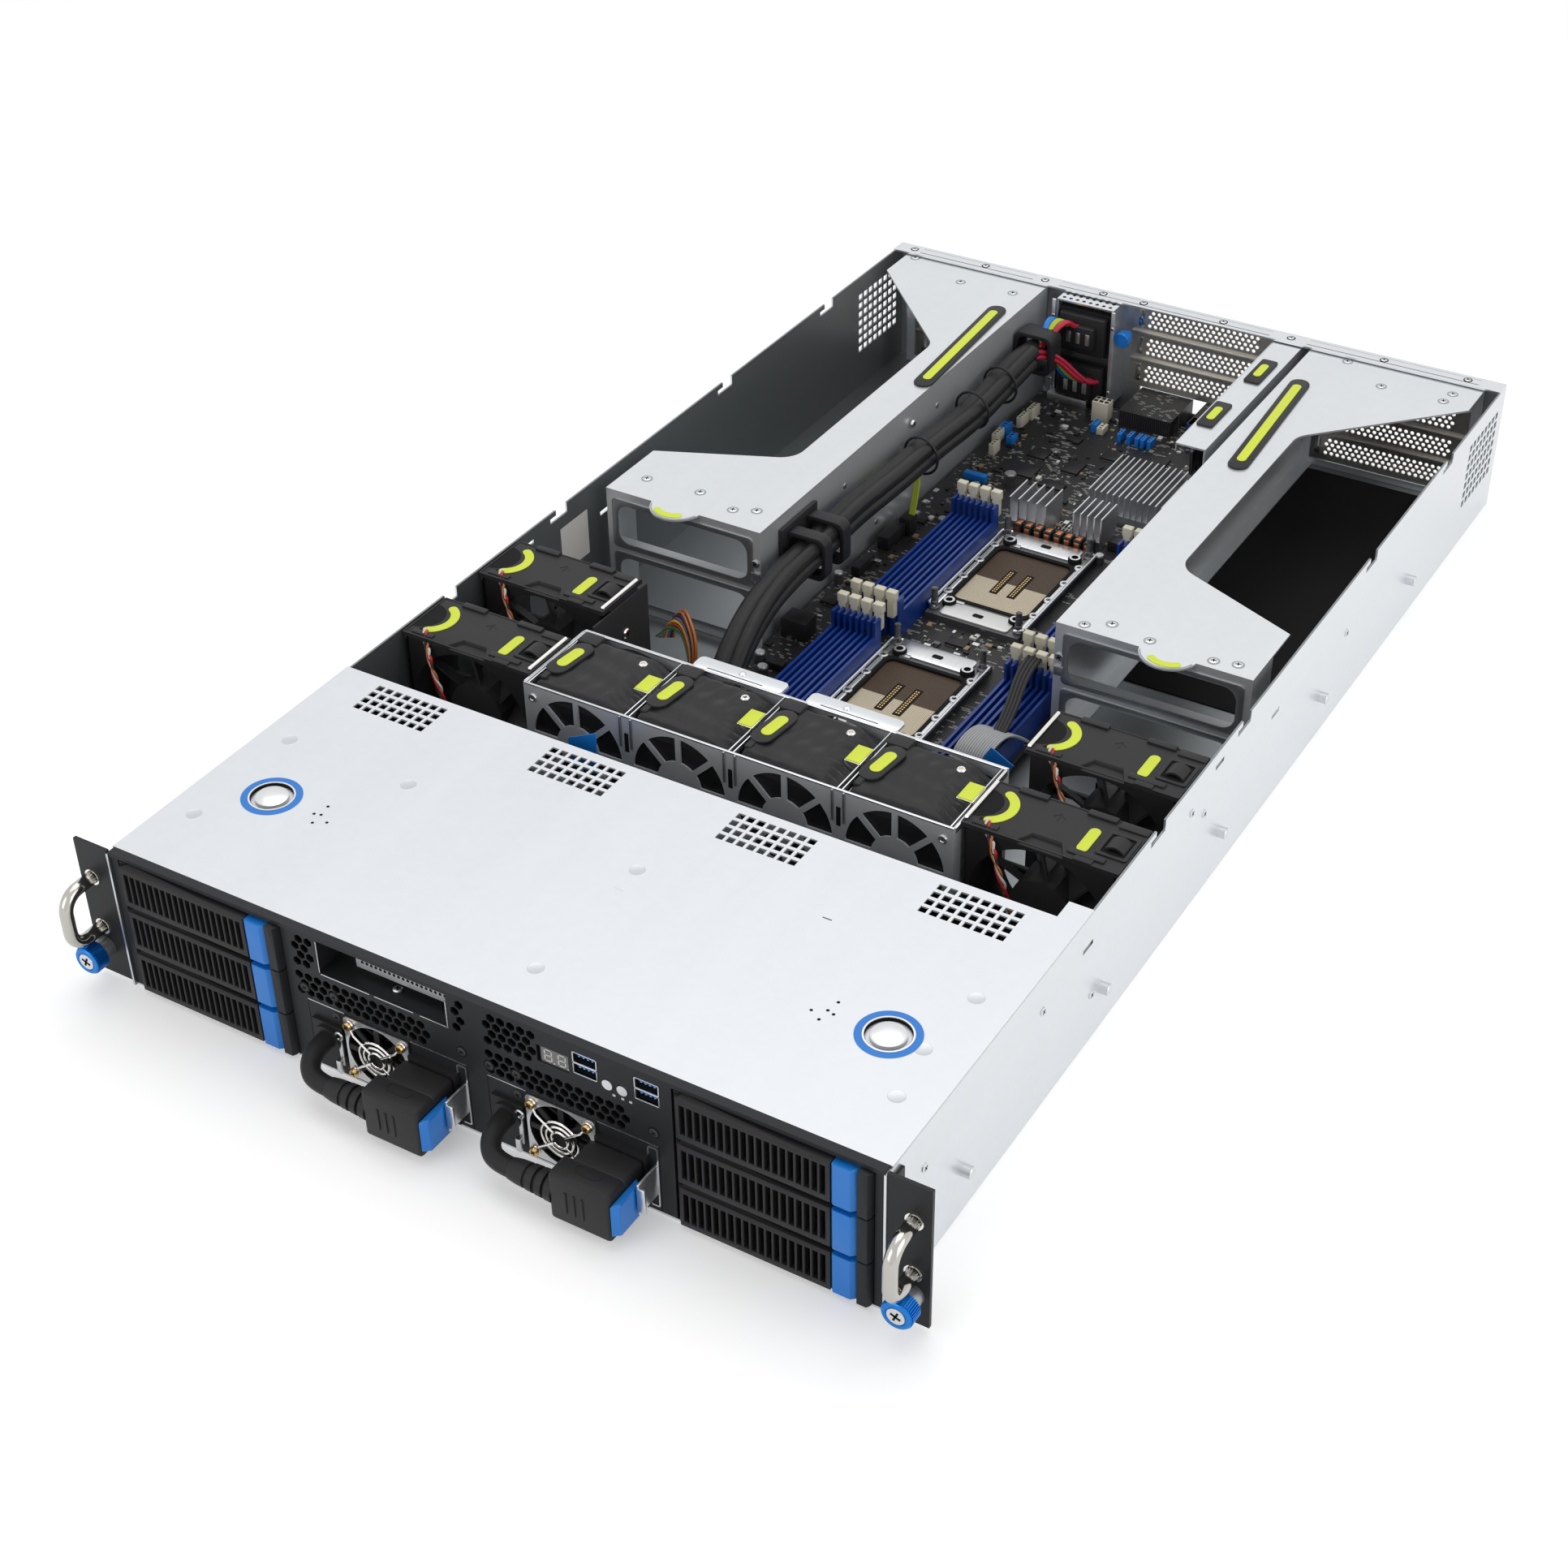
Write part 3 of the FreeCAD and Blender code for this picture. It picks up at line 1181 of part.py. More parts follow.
def motherboard():
    """Make the main board on its hexagonal standoffs, with its riser card."""
    notch_y = back("board_front + board_notch")
    plate = new_body("board_body")
    outline = [("-board_left", notch_y), ("-board_notch_edge", notch_y), ("-board_notch_edge", back("board_front")),
               ("board_right", back("board_front")), ("board_right", back("board_rear")),
               ("-board_left", back("board_rear"))]
    pad(plate, "board_pad", "z", "board_low", BOARD_TOP, [outline])
    solids = [plate]
    for x in ("-board_left + 8", "board_right - 8"):
        for number in range(4):
            post = document.addObject("Part::Prism", "standoff")
            bind(post, Circumradius="3", Height="board_low - sheet_wall")
            y = f"{notch_y} + 8 + {number} * (board_rear - board_front - board_notch - 20) / 3"
            solids.append(place(post, x, y, "sheet_wall"))
    card = block("riser_card", ("riser_left + 8", "riser_left + 9.8"),
                 (back("riser_front + 6"), back("board_rear - 20")), (BOARD_TOP, f"{CAGE_TOP} - rear_sheet - 0.5"))
    solids.append(card)
    video = block("video_port", ("20", "52"), (back("board_rear - 16"), f"{REAR_IN} - 0.5"),
                  (BOARD_TOP, f"{BOARD_TOP} + 12"))
    network = block("network_ports", ("-28", "10"), (back("board_rear - 20"), f"{REAR_IN} - 0.5"),
                    (BOARD_TOP, f"{BOARD_TOP} + 11.5"))
    solids += [video, network]
    node("motherboard", compound("motherboard", solids))


def cpu_sockets():
    """Make both processor sockets: frame, contact field and tall mounting posts."""
    solids = []
    for row in ("socket_front_row", "socket_rear_row"):
        y = back(row)
        frame = new_body("socket_body")
        pad(frame, "socket_pad", "z", BOARD_TOP, f"{BOARD_TOP} + socket_frame_height",
            [rectangle(("socket_place - socket_frame_width / 2", "socket_place + socket_frame_width / 2"),
                       (f"{y} - socket_frame_length / 2", f"{y} + socket_frame_length / 2"))])
        pocket(frame, "socket_window", "z",
               [rectangle(("socket_place - socket_width / 2", "socket_place + socket_width / 2"),
                          (f"{y} - socket_length / 2", f"{y} + socket_length / 2"))])
        posts = []
        for x in ("socket_place - socket_frame_width / 2 + 3", "socket_place + socket_frame_width / 2 - 3"):
            for end in ("-", "+"):
                posts.append(rod("socket_post", "z", "socket_post", "socket_post_height", x,
                                 f"{y} {end} (socket_frame_length / 2 - 7)", f"{BOARD_TOP} + 1"))
        field = block("socket_field",
                      ("socket_place - socket_width / 2 + 0.5", "socket_place + socket_width / 2 - 0.5"),
                      (f"{y} - socket_length / 2 + 0.5", f"{y} + socket_length / 2 - 0.5"),
                      (BOARD_TOP, f"{BOARD_TOP} + socket_field_height"))
        solids += [fuse("socket", [frame] + posts), field]
    node("cpu_sockets", compound("cpu_sockets", solids))


def bank_places():
    """Return the X formulas of the eight memory slots across the board."""
    return [f"({bank} + {number} * slot_pitch)" for bank in ("bank_left", "bank_right") for number in range(4)]


def dimm_slots():
    """Make the sixteen memory slots, each with a tower at both ends and a card groove."""
    solids = []
    for row in ("bank_front_row", "bank_rear_row"):
        front, rear = back(row), f"{back(row)} + slot_length"
        high = f"{BOARD_TOP} + slot_height"
        tower = f"{BOARD_TOP} + slot_tower"
        outline = [(front, BOARD_TOP), (rear, BOARD_TOP), (rear, tower), (f"{rear} - tower_length", tower),
                   (f"{rear} - tower_length", high), (f"{front} + tower_length", high),
                   (f"{front} + tower_length", tower), (front, tower)]
        for x in bank_places():
            body = new_body("slot_body")
            pad(body, "slot_pad", "x", f"{x} - slot_width / 2", f"{x} + slot_width / 2", [outline])
            pocket(body, "slot_groove", "y", [rectangle((f"{x} - 1.1", f"{x} + 1.1"), (f"{high} - 5", f"{tower} + 1"))])
            solids.append(body)
    node("dimm_slots", compound("dimm_slots", solids))


def latch_rows():
    """Return each latch row's name, the Y formula of its slot end and its outward sign."""
    return [("dimm_latches_1", back("bank_front_row"), -1),
            ("dimm_latches_2", f"{back('bank_front_row')} + slot_length", 1),
            ("dimm_latches_3", back("bank_rear_row"), -1),
            ("dimm_latches_4", f"{back('bank_rear_row')} + slot_length", 1)]


def dimm_latches():
    """Make the white ejector levers, eight to a row."""
    for name, end, outward in latch_rows():
        near, far = ("0.3", "0.3 + latch_depth")
        y = (f"{end} + {near}", f"{end} + {far}") if outward > 0 else (f"{end} - ({far})", f"{end} - {near}")
        levers = []
        for x in bank_places():
            arm = block("latch_arm", (f"{x} - latch_width / 2", f"{x} + latch_width / 2"), y,
                        ("latch_pivot - 1", "latch_top - 5"))
            head = block("latch_head", (f"{x} - latch_width / 2 - 0.9", f"{x} + latch_width / 2 + 0.9"), y,
                         ("latch_top - 6", "latch_top"))
            levers.append(fuse("latch", [arm, head]))
        node(name, compound(name, levers))


def finned(name, x, y, low, base, height, count):
    """Make a finned heatsink with its fins along Y."""
    pieces = [block(name + "_base", x, y, (low, f"{low} + {base}"))]
    for number in range(count):
        left = f"{x[0]} + {number} * ({x[1]} - ({x[0]}) - fin_thick) / {count - 1}"
        pieces.append(block(name + "_fin", (left, f"{left} + fin_thick"), y,
                            (f"{low} + {base} / 2", f"{low} + {height}")))
    return fuse(name, pieces)


def heatsinks():
    """Make the two regulator heatsinks and the chipset's larger one."""
    solids = [finned("regulator_left", ("-32", "-6"), (back("612"), back("637")), BOARD_TOP, "5", "22", 5),
              finned("regulator_right", ("12", "32"), (back("614"), back("637")), BOARD_TOP, "5", "22", 5),
              finned("chipset", ("6", "riser_left + 4"), (back("649"), back("701")), BOARD_TOP, "6", "20", 16)]
    node("heatsinks", compound("heatsinks", solids))


# ---------------------------------------------------------------- power supplies and cords


def supply(number):
    """Make a power supply: case, fan duct, fan plate, wire guard and bent clip."""
    left = supply_left(number)
    right = f"{left} + supply_width"
    fan_x = f"({left} + supply_fan_place)"
    fan_z = "(supply_low + supply_height / 2 + 1.3)"
    high = "supply_low + supply_height"
    case = block("supply_case", (left, right), (back("0"), back("supply_depth")), ("supply_low", high))
    plate = block("supply_fan_plate",
                  (f"{fan_x} - supply_fan_side / 2", f"{fan_x} + supply_fan_side / 2"),
                  (back("-1"), back("1")), ("supply_low + 2", high))
    duct = rod("supply_duct", "y", "supply_fan_bore", "supply_fan_depth + 3", fan_x, back("-3"), fan_z)
    shell = cut("supply_shell", fuse("supply_outer", [case, plate]), [duct])
    guard = spider("supply_guard", fan_x, back("-1.2"), fan_z, "supply_fan_bore", "guard_hub", "1")
    clip_x = f"{left} + supply_width - 1"
    clip = [block("supply_clip", (f"{clip_x} - 1", clip_x), (back("-15"), back("0.5")), ("13", "31")),
            block("supply_clip_lip", (f"{clip_x} - 1", f"{clip_x} + 3"), (back("-16"), back("-15")), ("15", "29"))]
    return fuse("supply", [shell, guard] + clip)


def psu_housings():
    """Make both power supplies."""
    node("psu_housings", compound("psu_housings", [supply(0), supply(1)]))


def power_plugs():
    """Make both angled plugs with their ribbed strain reliefs."""
    solids = []
    for number in (0, 1):
        right = f"(plug_right + {number} * psu_pitch)"
        z = ("plug_low", "plug_low + plug_height")
        rear = block("plug_rear", (f"{right} - plug_width", right), (back("-plug_step - 1"), back("-inlet_face")), z)
        wide = block("plug_front", (f"{right} - plug_wide", right), (back("-plug_front"), back("-plug_step")), z)
        start = f"relief_end + {number} * psu_pitch"
        middle = f"{right} - plug_wide"
        relief = cone("relief", "x", "relief_radius - 0.8", "relief_radius + 0.4", f"{middle} + 1 - ({start})",
                      start, back("-(plug_front + plug_step) / 2"), "17")
        solids.append(fuse("plug", [rear, wide, relief]))
    node("power_plugs", compound("power_plugs", solids))


def plug_tabs():
    """Make the bright release slide on each plug's side."""
    for number, name in enumerate(("plug_tab_left", "plug_tab_right")):
        left = f"plug_right + seat_gap + {number} * psu_pitch"
        body = new_body("tab_body")
        front = back("-plug_front")
        outline = [(left, front), (f"{left} + tab_thick", f"{front} + 3"), (f"{left} + tab_thick", f"{front} + tab_length - 3"),
                   (left, f"{front} + tab_length")]
        pad(body, "tab_pad", "z", "tab_low", "tab_low + tab_height", [outline])
        node(name, body)


def tangent_path(points, bend=None):
    """Return a wire of straight runs joined by tangent arcs, and the arcs' radii."""
    corners = [FreeCAD.Vector(*point) for point in points]
    edges, radii = [], []
    start = corners[0]
    for before, corner, after in zip(corners, corners[1:], corners[2:]):
        inward = (corner - before).normalize()
        outward = (after - corner).normalize()
        half_turn = inward.getAngle(outward) / 2
        setback = 0.45 * min(corner.distanceToPoint(before), after.distanceToPoint(corner))
        if bend:
            setback = bend * math.tan(half_turn)
        radii.append(setback / math.tan(half_turn))
        first = corner - inward * setback
        last = corner + outward * setback
        bisector = (outward - inward).normalize()
        middle = corner + bisector * (radii[-1] / math.cos(half_turn) - radii[-1])
        edges.append(Part.LineSegment(start, first).toShape())
        edges.append(Part.Arc(first, middle, last).toShape())
        start = last
    edges.append(Part.LineSegment(start, corners[-1]).toShape())
    return Part.Wire(edges), radii


def sided_section(centre, direction, radius, sides):
    """Return a many-sided face of the same area as a round section."""
    even = radius * math.sqrt(math.tau / (sides * math.sin(math.tau / sides)))
    forward = FreeCAD.Vector(direction).normalize()
    across = forward.cross(FreeCAD.Vector(0.3, 0.1, 1)).normalize()
    upward = forward.cross(across)
    corners = []
    for number in range(sides):
        angle = math.tau * number / sides
        corners.append(centre + across * (even * math.cos(angle)) + upward * (even * math.sin(angle)))
    return Part.Face(Part.makePolygon(corners + [corners[0]]))


def tube(name, points, radius, bend=None, sides=12):
    """Sweep a section along a tangent path and print its radii and volume ratio."""
    path, radii = tangent_path(points, bend)
    start = FreeCAD.Vector(*points[0])
    direction = FreeCAD.Vector(*points[1]) - start
    shape = path.makePipe(sided_section(start, direction, radius, sides))
    ratio = shape.Volume / (math.pi * radius ** 2 * path.Length)
    print(name, "length", round(path.Length, 1), "radii", [round(value, 1) for value in radii],
          "volume ratio", round(ratio, 4))
    feature = document.addObject("Part::Feature", name)
    feature.Shape = shape
    return feature


# Points of a supply's short cord, from its gland to its plug's strain relief.
CORD_ROUTE = [(-88, -4, 24), (-88, -12, 24), (-86, -20, 20.5), (-80, -24, 17), (-70, -24, 17)]

# Points of the sleeved power harness, from the rear inlets to the supplies.
HARNESS_ROUTE = [(-84, 762, 60), (-87, 735, 62), (-88, 700, 58), (-87, 655, 55), (-88, 600, 58), (-87, 550, 60),
                 (-88, 498, 62), (-87, 455, 60), (-86, 415, 61), (-84, 384, 57), (-81, 357, 47), (-78, 333, 30),
                 (-76, 314, 15), (-73, 290, 10.4), (-71, 262, 10.0), (-69, 228, 10.4), (-68, 194, 12)]


def cords():
    """Make the two short supply cords and the internal power harness."""
    front = value(FRONT)
    for number, name in enumerate(("cord_left", "cord_right")):
        shift = number * value("psu_pitch")
        points = [(x + shift, front + y, z) for x, y, z in CORD_ROUTE]
        node(name, tube(name, points, value("cord_radius")))
    points = [(x, front + y, z) for x, y, z in HARNESS_ROUTE]
    harness = tube("harness", points, value("harness_radius"))
    node("power_cables", harness)


def main():
    """Build every sub-part, check it and write it out."""
    fill_sheet()
    chassis_tray()
    front_cover()
    cover_buttons()
    front_frame()
    ear_handles()
    rack_screws()
    drive_trays()
    panel_keys()
    fan_wall()
    fan_frames()
    fan_rotors()
    gpu_cage("gpu_cage_left", -1)
    gpu_cage("gpu_cage_right", 1)
    rear_panel()
    slot_covers()
    power_inlets()
    motherboard()
    cpu_sockets()
    dimm_slots()
    dimm_latches()
    heatsinks()
    psu_housings()
    power_plugs()
    plug_tabs()
    cords()
    document.recompute()
    check_and_write()


def check_and_write():
    """Stop on any failed object, then write each sub-part's shape."""
    failed = [thing.Name for thing in document.Objects
              if "Invalid" in thing.State or "Error" in thing.State]
    if failed:
        raise RuntimeError("failed objects: " + ", ".join(failed))
    os.makedirs("parts", exist_ok=True)
    for name, thing in nodes.items():
        shape = thing.Shape
        if shape.isNull() or not shape.isValid() or not shape.Solids:
            raise RuntimeError("bad shape: " + name)
        shape.exportStep(os.path.join("parts", name + ".step"))
    print(len(nodes), "sub-parts written")


main()
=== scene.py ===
"""Looks of a 2U rack server with its rear lid off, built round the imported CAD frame.

Every finished piece is in metres in the row frame: X to the right seen from the front, Y to
the rear and Z up, with the origin in the middle of the chassis underside. Builders and wires
take millimetres, with Y counted back from the front plane, and convert them at the end.
"""

from __future__ import annotations

import json
import logging
import math
import random
from dataclasses import dataclass, field
from enum import Enum
from typing import Callable, Iterable, Sequence

import bmesh
import bpy
from mathutils import Matrix, Vector

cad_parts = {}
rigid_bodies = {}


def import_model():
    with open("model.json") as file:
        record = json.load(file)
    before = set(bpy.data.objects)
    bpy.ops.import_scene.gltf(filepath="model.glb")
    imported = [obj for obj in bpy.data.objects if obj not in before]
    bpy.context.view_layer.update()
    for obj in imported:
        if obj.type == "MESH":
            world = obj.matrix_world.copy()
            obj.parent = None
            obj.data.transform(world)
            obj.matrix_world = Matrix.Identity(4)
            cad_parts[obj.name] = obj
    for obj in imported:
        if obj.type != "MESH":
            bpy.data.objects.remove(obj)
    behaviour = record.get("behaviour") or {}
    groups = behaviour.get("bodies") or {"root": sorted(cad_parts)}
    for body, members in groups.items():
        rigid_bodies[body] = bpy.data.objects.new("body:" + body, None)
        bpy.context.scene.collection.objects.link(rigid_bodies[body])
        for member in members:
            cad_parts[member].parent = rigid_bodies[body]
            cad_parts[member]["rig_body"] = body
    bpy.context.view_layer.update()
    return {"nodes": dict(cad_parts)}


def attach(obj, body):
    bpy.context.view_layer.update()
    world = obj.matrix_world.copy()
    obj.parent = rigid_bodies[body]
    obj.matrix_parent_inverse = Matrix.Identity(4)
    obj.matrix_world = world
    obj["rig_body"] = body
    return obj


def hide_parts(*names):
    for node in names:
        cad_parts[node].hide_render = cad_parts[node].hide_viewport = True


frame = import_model()
log = logging.getLogger("rack_server")

MM = 0.001
FRONT = -0.405
SHARP_ANGLE = math.radians(38)
EASE_ANGLE = math.radians(40)
MERGE_DISTANCE = 0.00001
SPUN_MERGE = 0.0005
BEVEL_ANGLE = 0.6
DARK_COLOUR = 0.06
DARK_SPECULAR, PLAIN_SPECULAR = 0.22, 0.5
Point = Sequence[float]
Colour = tuple[float, float, float]


# ------------------------------------------------------------------ shader groups and finishes


class Pattern(Enum):
    """The family of surface detail that a finish carries."""

    GRAIN = "grain"
    SHEET = "sheet"
    BRUSHED = "brushed"
    BOARD = "board"
    CONTACTS = "contacts"
    SLEEVE = "sleeve"


class GroupMaker:
    """Builds each shared shader node group once and hands it out by name."""

    def __init__(self) -> None:
        """Start with no groups."""
        self.made: dict[str, bpy.types.NodeTree] = {}

    def get(self, pattern: Pattern) -> bpy.types.NodeTree:
        """Return the node group of a pattern, building it on first use.

        Args:
            pattern: The surface detail wanted.

        Returns:
            The shader node group.
        """
        if pattern.value not in self.made:
            self.made[pattern.value] = getattr(self, f"_{pattern.value}")()
        return self.made[pattern.value]

    def _start(self, name: str, inputs: dict[str, float | Colour]) -> tuple:
        """Make a group with its inputs and the three shared outputs.

        Args:
            name: The group's name.
            inputs: Each input's name and default; a triple makes a colour socket.

        Returns:
            The group, its input node, its output node and an Object coordinate socket.
        """
        group = bpy.data.node_groups.new(name, "ShaderNodeTree")
        for label, default in inputs.items():
            kind = "NodeSocketColor" if isinstance(default, tuple) else "NodeSocketFloat"
            socket = group.interface.new_socket(name=label, in_out="INPUT", socket_type=kind)
            socket.default_value = (*default, 1) if isinstance(default, tuple) else default
        for label, kind in (("Color", "NodeSocketColor"), ("Roughness", "NodeSocketFloat"),
                            ("Height", "NodeSocketFloat")):
            group.interface.new_socket(name=label, in_out="OUTPUT", socket_type=kind)
        entry = group.nodes.new("NodeGroupInput")
        leave = group.nodes.new("NodeGroupOutput")
        where = group.nodes.new("ShaderNodeTexCoord").outputs["Object"]
        return group, entry, leave, where

    @staticmethod
    def _math(group: bpy.types.NodeTree, operation: str, *values: object) -> bpy.types.NodeSocket:
        """Add a math node whose inputs are sockets or numbers and return its output."""
        node = group.nodes.new("ShaderNodeMath")
        node.operation = operation
        for slot, value in zip(node.inputs, values):
            if isinstance(value, bpy.types.NodeSocket):
                group.links.new(value, slot)
            else:
                slot.default_value = value
        return node.outputs[0]

    @staticmethod
    def _mix(group: bpy.types.NodeTree, share: object, low: object, high: object) -> bpy.types.NodeSocket:
        """Add a colour mix of two colours by a share and return its output."""
        node = group.nodes.new("ShaderNodeMix")
        node.data_type = "RGBA"
        sockets = [node.inputs["Factor"], node.inputs[6], node.inputs[7]]
        for slot, value in zip(sockets, (share, low, high)):
            if isinstance(value, bpy.types.NodeSocket):
                group.links.new(value, slot)
            elif isinstance(value, tuple):
                slot.default_value = (*value, 1)
            else:
                slot.default_value = value
        return node.outputs[2]

    @staticmethod
    def _noise(group: bpy.types.NodeTree, where: bpy.types.NodeSocket, scale: object,
               detail: float, stretch: Colour = (1, 1, 1)) -> bpy.types.NodeSocket:
        """Add a noise texture on stretched coordinates and return its value."""
        mapping = group.nodes.new("ShaderNodeMapping")
        mapping.inputs["Scale"].default_value = stretch
        group.links.new(where, mapping.inputs["Vector"])
        noise = group.nodes.new("ShaderNodeTexNoise")
        noise.inputs["Detail"].default_value = detail
        if isinstance(scale, bpy.types.NodeSocket):
            group.links.new(scale, noise.inputs["Scale"])
        else:
            noise.inputs["Scale"].default_value = scale
        group.links.new(mapping.outputs[0], noise.inputs["Vector"])
        return noise.outputs[0]

    def _finish(self, group: bpy.types.NodeTree, leave: bpy.types.Node, colour: object,
                roughness: object, height: object) -> bpy.types.NodeTree:
        """Link a group's three outputs."""
        for label, socket in (("Color", colour), ("Roughness", roughness), ("Height", height)):
            group.links.new(socket, leave.inputs[label])
        return group

    def _toned(self, group: bpy.types.NodeTree, entry: bpy.types.Node,
               swing: bpy.types.NodeSocket) -> bpy.types.NodeSocket:
        """Brighten a group's colour by a swing about one and return it."""
        value = group.nodes.new("ShaderNodeHueSaturation")
        group.links.new(entry.outputs["Color"], value.inputs["Color"])
        group.links.new(self._math(group, "ADD", swing, 1.0), value.inputs["Value"])
        return value.outputs[0]

    def _grain(self) -> bpy.types.NodeTree:
        """Moulded or coated surface: fine texture, soft mottling and lighter rubbed spots."""
        group, entry, leave, where = self._start(
            "surface_grain", {"Color": (0.5, 0.5, 0.5), "Rough": 0.5, "Scale": 900.0, "Mottle": 0.1})
        fine = self._noise(group, where, entry.outputs["Scale"], 3.0)
        broad = self._noise(group, where, 35.0, 4.0)
        swing = self._math(group, "MULTIPLY", self._math(group, "SUBTRACT", broad, 0.5),
                           entry.outputs["Mottle"])
        rough = self._math(group, "ADD", entry.outputs["Rough"], self._math(group, "MULTIPLY", swing, 0.8))
        return self._finish(group, leave, self._toned(group, entry, swing), rough, fine)

    def _sheet(self) -> bpy.types.NodeTree:
        """Zinc-coated sheet: faint spangle cells, rolling streaks and soft handling marks."""
        group, entry, leave, where = self._start(
            "zinc_sheet", {"Color": (0.8, 0.8, 0.8), "Rough": 0.4, "Scale": 220.0, "Mottle": 0.06})
        cells = group.nodes.new("ShaderNodeTexVoronoi")
        group.links.new(where, cells.inputs["Vector"])
        group.links.new(entry.outputs["Scale"], cells.inputs["Scale"])
        tone = group.nodes.new("ShaderNodeSeparateColor")
        group.links.new(cells.outputs["Color"], tone.inputs[0])
        streak = self._noise(group, where, 60.0, 4.0, (1.0, 0.04, 1.0))
        broad = self._noise(group, where, 7.0, 3.0)
        spangle = self._math(group, "SUBTRACT", tone.outputs[0], 0.5)
        total = self._math(group, "ADD", self._math(group, "MULTIPLY", spangle, 0.35),
                           self._math(group, "SUBTRACT", self._math(group, "ADD", streak, broad), 1.0))
        swing = self._math(group, "MULTIPLY", total, entry.outputs["Mottle"])
        rough = self._math(group, "ADD", entry.outputs["Rough"], swing)
        return self._finish(group, leave, self._toned(group, entry, swing), rough, total)

    def _brushed(self) -> bpy.types.NodeTree:
        """Turned or brushed metal: long fine scratches along one direction."""
        group, entry, leave, where = self._start(
            "brushed_metal", {"Color": (0.8, 0.8, 0.8), "Rough": 0.3, "Scale": 500.0, "Mottle": 0.1})
        lines = self._noise(group, where, entry.outputs["Scale"], 5.0, (1.0, 0.03, 1.0))
        swing = self._math(group, "MULTIPLY", self._math(group, "SUBTRACT", lines, 0.5),
                           entry.outputs["Mottle"])
        rough = self._math(group, "ADD", entry.outputs["Rough"], swing)
        return self._finish(group, leave, self._toned(group, entry, swing), rough, lines)

    def _board(self) -> bpy.types.NodeTree:
        """Circuit board: dark mask with pale screen-printed marks, pads and fine traces."""
        group, entry, leave, where = self._start("circuit_board",
                                                 {"Color": (0.02, 0.02, 0.02), "Print": (0.5, 0.5, 0.5),
                                                  "Rough": 0.4, "Scale": 260.0})
        bricks = group.nodes.new("ShaderNodeTexBrick")
        bricks.inputs["Color1"].default_value = (0, 0, 0, 1)
        bricks.inputs["Color2"].default_value = (1, 1, 1, 1)
        bricks.inputs["Mortar"].default_value = (0, 0, 0, 1)
        bricks.inputs["Mortar Size"].default_value = 0.06
        bricks.inputs["Brick Width"].default_value = 0.9
        bricks.inputs["Row Height"].default_value = 0.45
        group.links.new(where, bricks.inputs["Vector"])
        group.links.new(entry.outputs["Scale"], bricks.inputs["Scale"])
        chosen = self._math(group, "GREATER_THAN", bricks.outputs["Color"], 0.72)
        zones = self._math(group, "GREATER_THAN", self._noise(group, where, 45.0, 2.0), 0.5)
        marks = self._math(group, "MULTIPLY", chosen, zones)
        lines = group.nodes.new("ShaderNodeTexWave")
        lines.inputs["Scale"].default_value = 210.0
        lines.inputs["Distortion"].default_value = 6.0
        lines.inputs["Detail"].default_value = 1.0
        lines.inputs["Detail Scale"].default_value = 0.4
        group.links.new(where, lines.inputs["Vector"])
        trace = self._math(group, "MULTIPLY", self._math(group, "GREATER_THAN", lines.outputs["Fac"], 0.8),
                           0.10)
        share = self._math(group, "MAXIMUM", self._math(group, "MULTIPLY", marks, 0.55), trace)
        colour = self._mix(group, share, entry.outputs["Color"], entry.outputs["Print"])
        return self._finish(group, leave, colour, entry.outputs["Rough"], share)

    def _contacts(self) -> bpy.types.NodeTree:
        """Contact field: a square grid of small bright pins on a darker carrier."""
        group, entry, leave, where = self._start("contact_field",
                                                 {"Color": (0.3, 0.2, 0.1), "Pin": (0.8, 0.7, 0.5),
                                                  "Rough": 0.4, "Scale": 900.0})
        apart = group.nodes.new("ShaderNodeSeparateXYZ")
        group.links.new(where, apart.inputs[0])
        near = []
        for axis in (0, 1):
            cell = self._math(group, "FRACT", self._math(group, "MULTIPLY", apart.outputs[axis],
                                                         entry.outputs["Scale"]))
            near.append(self._math(group, "ABSOLUTE", self._math(group, "SUBTRACT", cell, 0.5)))
        pin = self._math(group, "LESS_THAN", self._math(group, "MAXIMUM", *near), 0.3)
        colour = self._mix(group, pin, entry.outputs["Color"], entry.outputs["Pin"])
        return self._finish(group, leave, colour, entry.outputs["Rough"], pin)

    def _sleeve(self) -> bpy.types.NodeTree:
        """Heat-shrunk or braided sleeve: crossed fine ribs and slack wrinkles."""
        group, entry, leave, where = self._start(
            "cable_sleeve", {"Color": (0.02, 0.02, 0.02), "Rough": 0.4, "Scale": 160.0, "Mottle": 0.2})
        wrinkles = self._noise(group, where, entry.outputs["Scale"], 5.0, (1.0, 0.25, 1.0))
        swing = self._math(group, "MULTIPLY", self._math(group, "SUBTRACT", wrinkles, 0.5),
                           entry.outputs["Mottle"])
        rough = self._math(group, "ADD", entry.outputs["Rough"], swing)
        doubled = self._math(group, "MULTIPLY", swing, 2.0)
        return self._finish(group, leave, self._toned(group, entry, doubled), rough, wrinkles)


GROUPS = GroupMaker()


